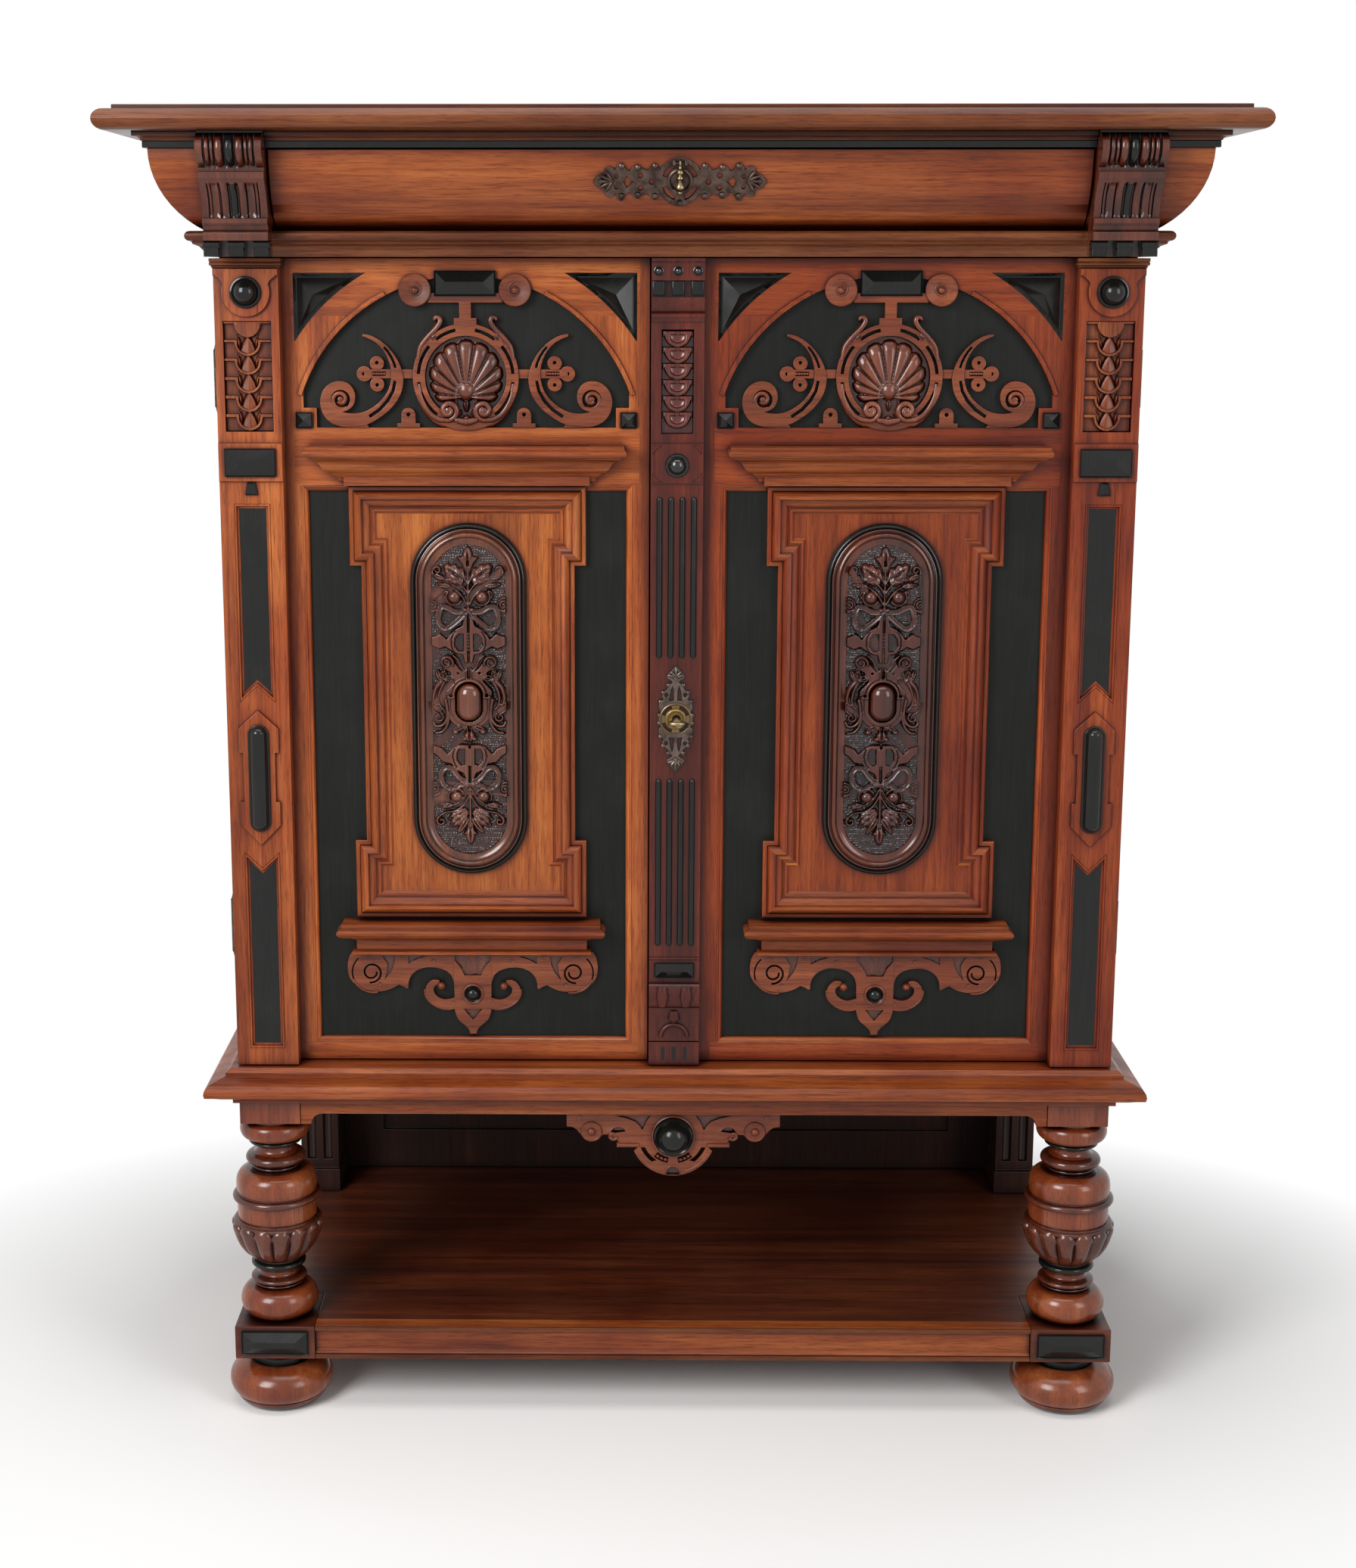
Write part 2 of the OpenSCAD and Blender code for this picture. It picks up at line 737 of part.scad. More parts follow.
module drawer_plate() {
  color(iron) {
    intersection() {
      along_x(-110, 110)
        polygon(concat([for (p = frieze_edge) [y_front - p[0], p[1]]],
                       backwards([for (p = frieze_curve(2)) [y_front - p[0], p[1]]])));
      translate([0, 0, plate_z]) rotate([90, 0, 0]) linear_extrude(y_back * 2, center = true) {
        circle(26);
        square([130, 34], center = true);
        for (s = [-1, 1])
          translate([s * 82, 0]) circle(18);
      }
    }
    difference() {
      for (s = [-1, 1])
        translate([s * 7 - 1.5, dy(-pull_over - 3), pull_z - 3]) cube([3, pull_over - frieze_over + 8, 6]);
      along_x(-20, 20)
        polygon(concat([for (p = frieze_curve(1)) [y_front - p[0], p[1]]],
                       [[y_front, z_band], [y_front, z_frieze]]));
    }
    translate([-8, dy(-pull_over), pull_z]) rotate([0, 90, 0]) cylinder(r = pull_pin_r, h = 16);
  }
}

module drawer_pull() {
  reach = 36;
  color(brass) translate([0, dy(-pull_over), pull_z]) difference() {
    union() {
      rotate([0, 90, 0]) cylinder(r = 3.4, h = 10, center = true);
      translate([-2, -1.6, -reach + 14]) cube([4, 3.2, reach - 15]);
      translate([0, 0, -reach]) rotate_extrude()
        polygon([[0, 0], [2.5, 0], [4.6, 4], [5, 8], [4, 13], [2.4, 18], [2.4, 20], [0, 20]]);
    }
    rotate([0, 90, 0]) cylinder(r = pull_pin_r + running, h = 12, center = true);
  }
}

// Doors: everything is drawn for the right door and mirrored for the left

module arch_opening(grow = 0) {
  difference() {
    intersection() {
      translate([u0, arch_z]) circle(arch_r + grow, $fn = 96);
      translate([u0 - arch_hw - grow, sill_z - grow]) square([2 * (arch_hw + grow), arch_r + 2 * grow]);
    }
    if (grow == 0)
      for (s = [-1, 1])
        translate([u0 + s * arch_hw - 16, sill_z - 10]) square([32, 34]);
  }
}

module lower_opening(grow = 0) {
  translate([u0 - open_hw - grow, open_bottom - grow])
    square([2 * (open_hw + grow), open_top - open_bottom + 2 * grow]);
}

module arch_rebate(grow = 0) {
  translate([u0 - arch_hw - lip + grow, sill_z - lip + grow])
    square([2 * (arch_hw + lip - grow), arch_z + arch_r - sill_z + 2 * lip - 2 * grow]);
}

module arch_bead(from, to) {
  translate([u0, arch_z]) intersection() {
    ring2d(arch_r + 5, arch_r);
    polygon([[0, 0], 400 * [cos(from), sin(from)], 400 * [cos((from + to) / 2), sin((from + to) / 2)],
             400 * [cos(to), sin(to)]]);
  }
}

module door_frame(inner) {
  color(walnut) {
    difference() {
      face(door_d) linear_extrude(door_t)
        polygon([[inner, z_door], [half_w, z_door], [half_w, z_door_top], [inner, z_door_top]]);
      face(door_d + past) linear_extrude(door_t + 2 * past) arch_opening();
      face(door_d + past) linear_extrude(door_t + 2 * past) lower_opening();
      face(door_d + past) linear_extrude(door_t - panel_set + past) arch_rebate();
      face(door_d + past) linear_extrude(door_t - panel_set + past) lower_opening(lip);
      if (inner < 0)
        translate([key_x, dy(face_d) - past, key_z]) rotate([-90, 0, 0])
          cylinder(r = key_r + 1, h = door_t + 2 * past);
    }
    face(face_d) linear_extrude(3) arch_bead(19, 63);
    face(face_d) linear_extrude(3) arch_bead(117, 161);
  }
}

module door_panels() {
  color(ebony) {
    face(panel_d + panel_t) linear_extrude(panel_t) arch_rebate(0.3);
    face(panel_d + panel_t) linear_extrude(panel_t) lower_opening(lip - 0.3);
  }
}

wreath_z = sill_z + 61;

module strapwork_half() {
  translate([0, arch_z + arch_r - 36]) square([44, 40]);
  translate([0, wreath_z + 60]) square([7, 40]);
  translate([0, wreath_z + 60]) square([13, 9]);
  translate([60, wreath_z - 1.2]) square([73, 8]);
  translate([133, wreath_z + 3]) circle(8);
  translate([118, wreath_z + 14]) circle(8);
  translate([118, wreath_z - 8]) circle(8);
  difference() {
    translate([128, wreath_z - 4]) circle(54);
    translate([134, wreath_z - 2]) circle(46);
    translate([134, wreath_z - 60]) square([60, 120]);
  }
  difference() {
    translate([143, sill_z + 36]) circle(36);
    translate([141, sill_z + 39]) circle(27);
    translate([100, sill_z + 37]) square([90, 40]);
  }
  translate([156, sill_z + 35]) circle(22);
  translate([71, sill_z]) square([17, 17], center = false);
  translate([79.5, sill_z + 17]) circle(8.5);
  translate([64, sill_z - 1]) square([31, 7]);
}

module strapwork() {
  color(walnut_dark) {
    face(panel_d) linear_extrude(strap_t) intersection() {
      arch_opening();
      union() {
        both_halves() strapwork_half();
        translate([u0, wreath_z]) ring2d(64.8, 48.5);
      }
    }
    face(panel_d) linear_extrude(3) translate([u0, wreath_z]) circle(48.5);
    face(panel_d - 3) linear_extrude(9) translate([u0, wreath_z]) difference() {
      union() {
        for (a = [-12:25.5:192])
          rotate(a) {
            translate([37, 0]) circle(6.6);
            polygon([[0, -3], [37, -6.4], [37, 6.4], [0, 3]]);
          }
        translate([0, -14]) circle(16);
      }
      translate([-60, -90]) square([120, 52]);
    }
    for (s = [-1, 1])
      face(face_d) linear_extrude(5) translate([u0 + s * 60.5, arch_z + arch_r - 17]) circle(19);
  }
}

// Outline of the eared frame, drawn in by i
module eared(i) {
  half = eared_half(i);
  translate([u0, 0]) polygon(concat(half, backwards([for (p = half) [-p[0], p[1]]])));
}
function eared_half(i) = [
  [ear_hw - i, frame_bottom + i], [ear_hw - i, frame_bottom + ear_low_h - i],
  [waist_hw - i, frame_bottom + ear_low_h - i], [waist_hw - i, frame_top - ear_top_h + i],
  [ear_hw - i, frame_top - ear_top_h + i], [ear_hw - i, frame_top - i]
];

module eared_ring(i0, i1, d, t) {
  face(d) linear_extrude(t) difference() {
    eared(i0);
    eared(i1);
  }
}

module raised_frame() {
  color(walnut) {
    eared_ring(0, border_w, panel_d, 8);
    eared_ring(border_w * 0.12, border_w * 0.86, panel_d - 8, 7);
    eared_ring(border_w * 0.28, border_w * 0.62, panel_d - 15, 6);
    face(panel_d) linear_extrude(field_t) eared(border_w);
  }
}

module oval_ring(out, in, d, t) {
  face(d) linear_extrude(t) translate([u0, oval_z]) difference() {
    stadium(oval_hw + out, oval_hh + out);
    stadium(oval_hw + in, oval_hh + in);
  }
}

carve_in = 20;

module oval_carving() {
  d = panel_d - field_t;
  color(walnut_dark) {
    oval_ring(0, -carve_in, d, 10);
    oval_ring(-5, -carve_in + 6, d - 10, 4);
    face(d) linear_extrude(4) translate([u0, oval_z]) stadium(oval_hw - carve_in, oval_hh - carve_in);
    face(d - 4) linear_extrude(6) translate([u0, oval_z]) {
      circle(30);
      for (s = [-1, 1]) {
        translate([0, s * 62]) circle(24);
        translate([0, s * 112]) circle(14);
        translate([-16, s * 145 - 30]) square([32, 60]);
      }
    }
    boss(u0, oval_z, 18, d - 10);
  }
}

module pediment() {
  z = frame_top + 1;
  h = pediment_h;
  color(walnut)
    door_moulded([[2, z], [6, z + h * 0.14], [12, z + h * 0.28], [14, z + h * 0.3], [24, z + h * 0.42],
                  [32, z + h * 0.66], [40, z + h * 0.7], [45, z + h * 0.76], [45, z + h * 0.9], [42, z + h]],
                 pediment_hw, face_d, face_d);
}

module bracket_cornice() {
  z = fret_top;
  h = bracket_h;
  color(walnut)
    door_moulded([[6, z], [6, z + h * 0.1], [0, z + h * 0.12], [0, z + h * 0.42], [6, z + h * 0.5],
                  [18, z + h * 0.54], [24, z + h * 0.58], [24, z + h * 0.8], [18, z + h * 0.9], [16, z + h]],
                 bracket_hw, panel_d - 17, panel_d);
}

module fret_half() {
  top = fret_top;
  difference() {
    union() {
      translate([0, top - 24]) square([146, 24]);
      translate([128, top - 29]) circle(29);
      polygon([[70, top - 20], [78, top - 50], [108, top - 50], [108, top - 20]]);
      polygon([[0, top - 112], [5, top - 108], [24, top - 74], [24, top - 20], [0, top - 20]]);
      translate([42, top - 55]) circle(22);
    }
    translate([51, top - 49]) circle(26.5);
  }
  translate([42, top - 57]) intersection() {
    ring2d(22, 13);
    translate([-22, -22]) square([44, 22]);
  }
}

module cornices() {
  pediment();
  bracket_cornice();
  color(walnut) face(panel_d) linear_extrude(strap_t) both_halves() fret_half();
}

// Pilaster

inlay_t = 3;
boss_z = z_door_top - 40;
guilloche_z = [z_door_top - 206, z_door_top - 74];
guilloche_hw = 25;
block_z = [z_door_top - 266, z_door_top - 220];
plaque_z = z_door + key_up - 74;
plaque_hh = 86;
inlay_top_z = [plaque_z + plaque_hh + 30, block_z[0] - 33];
inlay_low_z = [z_door + 28, plaque_z - plaque_hh - 23];
inlay_hw = 17;

module plaque_shape() {
  translate([pilaster_u, plaque_z])
    polygon([[0, plaque_hh], [25, 63], [25, 32], [20, 32], [20, -30], [25, -30], [25, -60],
             [0, -plaque_hh], [-25, -60], [-25, -30], [-20, -30], [-20, 32], [-25, 32], [-25, 63]]);
}

module guilloche(x, hw, z0, z1, n, d) {
  step = (z1 - z0) / n;
  face(d) linear_extrude(3) intersection() {
    translate([x - hw, z0]) square([2 * hw, z1 - z0]);
    union()
      for (k = [0:n - 1])
        translate([x, z0 + step * (k + 0.75)]) {
          intersection() {
            ring2d(hw * 0.6, hw * 0.38);
            translate([-hw, -hw]) square([2 * hw, hw]);
          }
          for (s = [-1, 1])
            translate([s * hw * 0.8 - hw * 0.25, -1.5]) square([hw * 0.5, 3]);
        }
  }
}

module pilaster() {
  color(walnut) {
    difference() {
      face(face_d) linear_extrude(pilaster_t)
        translate([half_w - pilaster_w, z_door]) square([pilaster_w, door_h]);
      for (z = [inlay_top_z, inlay_low_z])
        face(inlay_t) linear_extrude(inlay_t + past)
          translate([pilaster_u - inlay_hw, z[0]]) square([2 * inlay_hw, z[1] - z[0]]);
      face(inlay_t) linear_extrude(inlay_t + past)
        translate([pilaster_u - guilloche_hw, guilloche_z[0]])
          square([2 * guilloche_hw, guilloche_z[1] - guilloche_z[0]]);
    }
    guilloche(pilaster_u, guilloche_hw, guilloche_z[0], guilloche_z[1], 5, inlay_t);
    face(0) linear_extrude(2.5) translate([half_w - pilaster_w, z_door_top - 10]) square([pilaster_w, 10]);
    face(0) linear_extrude(2.5)
      translate([half_w - pilaster_w, block_z[0]]) square([pilaster_w, block_z[1] - block_z[0]]);
    face(0) linear_extrude(2.5) translate([pilaster_u, boss_z]) circle(29);
    face(0) linear_extrude(4) plaque_shape();
  }
}

// Black mounts of one door

module spandrel(i, d, t) {
  hw = panel_w / 2 - 2.5;
  face(d) linear_extrude(t) both_halves() difference() {
    translate([hw - 95 + 2 * i, arch_z + 134 + 2 * i]) square([95 - 3 * i, 82 - 3 * i]);
    translate([0, arch_z]) circle(arch_r + 34 + i, $fn = 96);
  }
}

module ebony_mounts() {
  color(ebony) {
    spandrel(0, face_d, 3);
    spandrel(5, face_d - 3, 3);
    spandrel(10, face_d - 6, 3);
    hipped(u0, arch_z + arch_r - 9, 74, 30, 10, face_d, 2);
    for (s = [-1, 1])
      hipped(u0 + s * arch_hw, sill_z + 9, 25, 25, 9, face_d);
    oval_ring(bead_w, 0.2, panel_d - field_t, 8);
    boss(u0, fret_top - 57, 11, panel_d - strap_t);
    boss(pilaster_u, boss_z, 19, -2.5);
    hipped(pilaster_u, (block_z[0] + block_z[1]) / 2, 60, 33, 7, -2.5, 6);
    face(0) linear_extrude(5)
      translate([pilaster_u, block_z[0] - 17]) polygon([[-8, 0], [8, 0], [5, 16], [-5, 16]]);
    for (z = [inlay_top_z, inlay_low_z])
      face(inlay_t) linear_extrude(1)
        translate([pilaster_u - inlay_hw + 0.3, z[0] + 0.3]) square([2 * inlay_hw - 0.6, z[1] - z[0] - 0.6]);
    rod(pilaster_u, plaque_z - 68, plaque_z + 68, 13, -4);
  }
}

// Hinges

finial_h = 13;

module hinge_door_half(z) {
  third = hinge_h / 3;
  translate([pin_x, dy(pin_d), z]) {
    for (s = [-1, 1])
      translate([0, 0, s * third]) cylinder(r = knuckle_r, h = third - slide_gap * 2, center = true);
    translate([0, 0, -third]) cylinder(r = hinge_pin_r, h = 2 * third);
    for (s = [0, 1])
      mirror([0, 0, s]) translate([0, 0, hinge_h / 2 - slide_gap])
        cylinder(r1 = knuckle_r - 0.8, r2 = 0.8, h = finial_h);
  }
  for (s = [-1, 1])
    translate([half_w, dy(pin_d - 17), z + s * third - third / 2 + slide_gap])
      cube([leaf_t, 16.5, third - slide_gap * 2]);
  for (s = [-1, 1])
    translate([half_w, dy(pin_d - 4), z + s * third - third / 2 + slide_gap])
      cube([leaf_t + 2, 3.5, third - slide_gap * 2]);
}

module hinge_case_half(z) {
  third = hinge_h / 3;
  difference() {
    union() {
      translate([pin_x, dy(pin_d), z]) cylinder(r = knuckle_r, h = third, center = true);
      translate([half_w, dy(pin_d + 0.5), z - third / 2]) cube([leaf_t, 16.5, third]);
      translate([half_w, dy(pin_d + 0.5), z - third / 2]) cube([leaf_t + 2, 3.5, third]);
    }
    translate([pin_x, dy(pin_d), z]) cylinder(r = hinge_pin_r + running, h = third + 2, center = true);
  }
}

module door_hinges() {
  color(iron)
    for (z = hinge_z)
      hinge_door_half(z);
}

module hinge_leaves() {
  color(iron)
    for (s = [0, 1], z = hinge_z)
      mirror([s, 0, 0]) hinge_case_half(z);
}

// Centre strip

strip_front = face_d - strip_t;

module strip_block(z0, z1, t, w = strip_w) {
  face(strip_front) linear_extrude(t) translate([-w / 2, z0]) square([w, z1 - z0]);
}

module centre_strip() {
  top = z_door_top;
  color(walnut_dark) {
    difference() {
      face(face_d) linear_extrude(strip_t) translate([-strip_w / 2, z_door]) square([strip_w, door_h]);
      face(strip_front + 3) linear_extrude(3 + past) translate([-19, top - 209]) square([38, 125]);
      translate([key_x, dy(strip_front) - past, key_z]) rotate([-90, 0, 0])
        cylinder(r = key_r + 1, h = strip_t + 2 * past);
    }
    guilloche(0, 19, top - 209, top - 84, 6, strip_front + 3);
    strip_block(top - 26, top, 8);
    strip_block(top - 72, top - 67, 5);
    strip_block(top - 269, top - 221, 2);
    strip_block(z_door, z_door + 30, 6, strip_w - 4);
    face(strip_front) linear_extrude(4) translate([-24, z_door + 34]) square([48, 72]);
  }
}

module strip_mounts() {
  top = z_door_top;
  color(ebony) {
    for (k = [-1, 0, 1]) {
      boss(k * 23.5, top - 15, 6, strip_front - 8);
      face(strip_front) linear_extrude(6) translate([k * 23.5 - 8, top - 44]) square([16, 17]);
    }
    boss(0, top - 247, 14, strip_front - 2);
    for (x = [-21, -7, 7, 21]) {
      rod(x, key_z + key_room, top - 286, 3.5, strip_front);
      rod(x, z_door + 157, key_z - key_room, 3.5, strip_front);
    }
    hipped(0, z_door + 124, 50, 20, 6, strip_front);
  }
}

module door_plate() {
  color(iron) difference() {
    face(strip_front) linear_extrude(2.5) translate([0, key_z]) {
      square([16, 118], center = true);
      square([44, 30], center = true);
      for (s = [-1, 1]) {
        translate([0, s * 32]) circle(14);
        translate([0, s * 58]) circle(9);
      }
    }
    translate([key_x, dy(strip_front) + past, key_z]) rotate([90, 0, 0])
      cylinder(r = key_r + running, h = 5);
  }
}

bow_d = strip_front - 22;
case_t = 18;

module key() {
  color(brass) {
    translate([key_x, dy(bow_d), key_z]) rotate([-90, 0, 0])
      cylinder(r = key_r, h = door_d + case_t - bow_d);
    translate([key_x, dy(bow_d - 10), key_z]) linear_extrude(5, center = true) ring2d(12, 7.5);
    translate([key_x, dy(bow_d), key_z]) rotate([90, 0, 0]) cylinder(r = key_r + 1.5, h = 3, center = true);
    translate([key_x, dy(door_d + 5), key_z - 1.2]) cube([10, 7, 2.4]);
  }
}

lock_hh = 38;
bolt_bar_z = key_z + 14;
bolt_bar_h = 14;
bolt_bar_d = [door_d + 4, door_d + 14];

module lock_case() {
  wall = 2;
  color(iron) difference() {
    translate([key_x - case_hw + 6, dy(door_d), key_z - lock_hh]) cube([2 * case_hw, case_t, 2 * lock_hh]);
    translate([key_x - case_hw + 6 + wall, dy(door_d) - past, key_z - lock_hh + wall])
      cube([2 * case_hw - 2 * wall, case_t - wall + past, 2 * lock_hh - 2 * wall]);
    translate([key_x - case_hw + 6 - past, dy(bolt_bar_d[0]) - slide_gap, bolt_bar_z - slide_gap])
      cube([wall + 2 * past, bolt_bar_d[1] - bolt_bar_d[0] + 2 * slide_gap, bolt_bar_h + 2 * slide_gap]);
    translate([key_x, dy(door_d + case_t) - wall - past, key_z]) rotate([-90, 0, 0])
      cylinder(r = key_r + running, h = wall + 2 * past);
  }
}

module lock_bolt() {
  color(iron) translate([key_x - case_hw + 6, dy(bolt_bar_d[0]), bolt_bar_z])
    cube([46, bolt_bar_d[1] - bolt_bar_d[0], bolt_bar_h]);
}

// Ironwork on the back of the left door

staple_h = 10;

module bolt_guide(z0, z1) {
  difference() {
    union() {
      translate([bolt_x - 7, dy(door_d), z0]) cube([14, 2, z1 - z0]);
      for (z = [z0 + 4, z1 - 4 - staple_h])
        translate([bolt_x - 7, dy(door_d), z]) cube([14, bolt_d - door_d + bolt_r + 2, staple_h]);
    }
    translate([bolt_x, dy(bolt_d), z0 - past]) cylinder(r = bolt_r + running, h = z1 - z0 + 2 * past);
  }
}

module bolt_rod(z0, z_knob) {
  translate([bolt_x, dy(bolt_d), z0]) cylinder(r = bolt_r, h = bolt_len);
  translate([bolt_x, dy(bolt_d), z_knob]) rotate([-90, 0, 0]) cylinder(r = 3.5, h = 18);
}

keeper_x = -(strip_w / 2 + door_gap + 2.5);

module left_door_ironwork() {
  wall = 3;
  color(iron) {
    bolt_guide(z_door_top - bolt_len - 2, z_door_top - 8);
    bolt_guide(z_door + 8, z_door + bolt_len + 2);
    difference() {
      translate([keeper_x - 22, dy(door_d), bolt_bar_z - 4]) cube([22, 18, bolt_bar_h + 8]);
      translate([keeper_x - 18, dy(bolt_bar_d[0] - 0.6), bolt_bar_z - 0.6])
        cube([18 + past, bolt_bar_d[1] - bolt_bar_d[0] + 1.2, bolt_bar_h + 1.2]);
    }
  }
}

module top_bolt() { color(iron) bolt_rod(z_door_top - 2 - bolt_len, z_door_top + 22 - bolt_len); }
module bottom_bolt() { color(iron) bolt_rod(z_door + 2, z_door + bolt_len - 22); }

module left_side() { mirror([1, 0, 0]) children(); }

inner_left = strip_w / 2 + door_gap;
inner_right = -strip_w / 2;

module left_door_frame() { left_side() door_frame(inner_left); }
module left_door_panels() { left_side() door_panels(); }
module left_strapwork() { left_side() strapwork(); }
module left_raised_frame() { left_side() raised_frame(); }
module left_oval_carving() { left_side() oval_carving(); }
module left_cornices() { left_side() cornices(); }
module left_pilaster() { left_side() pilaster(); }
module left_ebony_mounts() { left_side() ebony_mounts(); }
module left_hinges() { left_side() door_hinges(); }
module right_door_frame() { door_frame(inner_right); }
module right_door_panels() { door_panels(); }
module right_strapwork() { strapwork(); }
module right_raised_frame() { raised_frame(); }
module right_oval_carving() { oval_carving(); }
module right_cornices() { cornices(); }
module right_pilaster() { pilaster(); }
module right_ebony_mounts() { ebony_mounts(); strip_mounts(); }
module right_hinges() { door_hinges(); }

bun_feet();
plinth_blocks();
stand_ebony_mounts();
lower_rails();
lower_shelf();
baluster_left();
baluster_right();
rear_posts();
lower_back_panel();
front_apron();
side_aprons();
apron_pendant();
base_moulding();
cupboard_bottom();
side_left();
side_right();
side_panels();
back_panel();
shelves();
inner_bearers();
architrave();
frieze_ends();
cornice_ebony();
cornice_moulding();
top_slab();
corbels();
hinge_leaves();
drawer_front();
drawer_sides();
drawer_back();
drawer_bottom();
drawer_plate();
drawer_pull();
left_door_frame();
left_door_panels();
left_strapwork();
left_raised_frame();
left_oval_carving();
left_cornices();
left_pilaster();
left_ebony_mounts();
left_hinges();
left_door_ironwork();
top_bolt();
bottom_bolt();
right_door_frame();
right_door_panels();
right_strapwork();
right_raised_frame();
right_oval_carving();
right_cornices();
right_pilaster();
right_ebony_mounts();
right_hinges();
centre_strip();
door_plate();
key();
lock_case();
lock_bolt();
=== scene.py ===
"""Carved walnut cupboard with ebonised mounts on an open stand, as the photograph shows it."""

import math

import bmesh
import bpy
import numpy as np
from mathutils import Matrix, Vector


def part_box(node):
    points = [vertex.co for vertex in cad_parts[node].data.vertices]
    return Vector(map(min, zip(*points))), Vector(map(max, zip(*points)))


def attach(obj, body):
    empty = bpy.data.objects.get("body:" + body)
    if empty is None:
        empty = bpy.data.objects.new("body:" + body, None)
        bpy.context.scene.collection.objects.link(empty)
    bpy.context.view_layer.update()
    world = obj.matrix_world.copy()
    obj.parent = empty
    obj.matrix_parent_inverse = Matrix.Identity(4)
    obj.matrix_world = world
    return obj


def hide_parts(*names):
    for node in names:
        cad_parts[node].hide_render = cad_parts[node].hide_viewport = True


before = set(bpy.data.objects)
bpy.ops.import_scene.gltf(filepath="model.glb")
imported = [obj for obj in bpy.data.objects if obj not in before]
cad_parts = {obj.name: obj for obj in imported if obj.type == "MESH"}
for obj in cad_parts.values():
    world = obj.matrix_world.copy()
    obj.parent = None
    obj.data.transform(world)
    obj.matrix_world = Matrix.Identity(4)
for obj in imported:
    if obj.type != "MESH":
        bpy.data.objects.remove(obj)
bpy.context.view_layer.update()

# Lengths are in mm unless a comment says metres, and depths count backwards from the pilaster fronts
MM = 0.001
# In metres: points closer than this become one
MERGE = 0.00002
Y_FRONT = -223.0
Z_DOOR, Z_DOOR_TOP = 473.5, 1483.5
# Top of the frieze's curve
Z_BAND = 1608.0
# X of the gap between the doors
DOOR_SPLIT = -32.7
LEG_X, LEG_D, REAR_D = 518.0, 39.0, 492.0
# The right door's panel: its middle, U, then the arch, the opening below it and the depths of its faces
U = 257.0
ARCH_R, ARCH_Z, SILL_Z = 212.0, 1251.0, 1281.0
OPEN_HW, OPEN_TOP, OPEN_BOTTOM = 202.0, 1210.0, 496.5
FACE_D, PANEL_D, FIELD_D = 24.0, 31.0, 25.0
STRIP_FRONT, STRIP_HW = 10.0, 32
KEY_Z = 922.5
OVAL_Z, OVAL_HW, OVAL_HH, OVAL_GROUND = 942.75, 66.0, 216.25, 20.5
PILASTER_X, PILASTER_HW = 518.0, 39


def dy(d):
    """The Y of a depth counted backwards from the pilaster fronts, in mm."""
    return Y_FRONT + d


# Modelling


def pick(obj):
    """Makes obj the only selected object."""
    bpy.ops.object.select_all(action="DESELECT")
    obj.select_set(True)
    bpy.context.view_layer.objects.active = obj


def placed(name, data):
    obj = bpy.data.objects.new(name, data)
    bpy.context.scene.collection.objects.link(obj)
    pick(obj)
    return obj


def drawn(name, points, edges=(), faces=()):
    """A mesh drawn point by point, in mm."""
    mesh = bpy.data.meshes.new(name)
    mesh.from_pydata([Vector(p) * MM for p in points], list(edges), [list(f) for f in faces])
    return placed(name, mesh)


def rounded(obj, angle=32):
    """Smooths the faces that meet at less than angle."""
    pick(obj)
    bpy.ops.object.shade_smooth_by_angle(angle=math.radians(angle))
    return obj


def joined(name, objs):
    pick(objs[0])
    for other in objs[1:]:
        other.select_set(True)
    if len(objs) > 1:
        bpy.ops.object.join()
    objs[0].name = objs[0].data.name = name
    return objs[0]


def select_where(obj, test, kind="EDGE"):
    """Selects, in object mode, what test says of each edge's or face's points, in mm."""
    mesh = obj.data
    for group in (mesh.vertices, mesh.edges, mesh.polygons):
        group.foreach_set("select", [False] * len(group))
    chosen = mesh.edges if kind == "EDGE" else mesh.polygons
    for part in chosen:
        part.select = test([mesh.vertices[i].co / MM for i in part.vertices])


def edit(obj, mode="EDGE"):
    pick(obj)
    bpy.ops.object.mode_set(mode="EDIT")
    bpy.ops.mesh.select_mode(type=mode)


def done():
    bpy.ops.object.mode_set(mode="OBJECT")


def outward(obj, merge=0.0):
    """Merges points closer than merge, in metres, and turns every face outwards."""
    edit(obj, "VERT")
    bpy.ops.mesh.select_all(action="SELECT")
    if merge:
        bpy.ops.mesh.remove_doubles(threshold=merge)
    bpy.ops.mesh.normals_make_consistent(inside=False)
    done()


def extruded(y):
    """Extrudes what is selected by y, in mm."""
    bpy.ops.mesh.extrude_region_move(TRANSFORM_OT_translate={"value": (0, y * MM, 0)})


def board(name, points, front, thick, edge=0.6, segments=2):
    """A board sawn to an outline of (x, z), its face at depth front, with eased front edges."""
    obj = drawn(name, [(x, dy(front), z) for x, z in points], faces=[range(len(points))])
    edit(obj, "FACE")
    bpy.ops.mesh.select_all(action="SELECT")
    extruded(thick)
    done()
    outward(obj)
    if edge > 0:
        limit = dy(front) + 0.01
        select_where(obj, lambda p: all(q.y < limit for q in p))
        edit(obj)
        bpy.ops.mesh.bevel(offset=edge * MM, segments=segments, affect="EDGES", clamp_overlap=True)
        done()
    return rounded(obj)


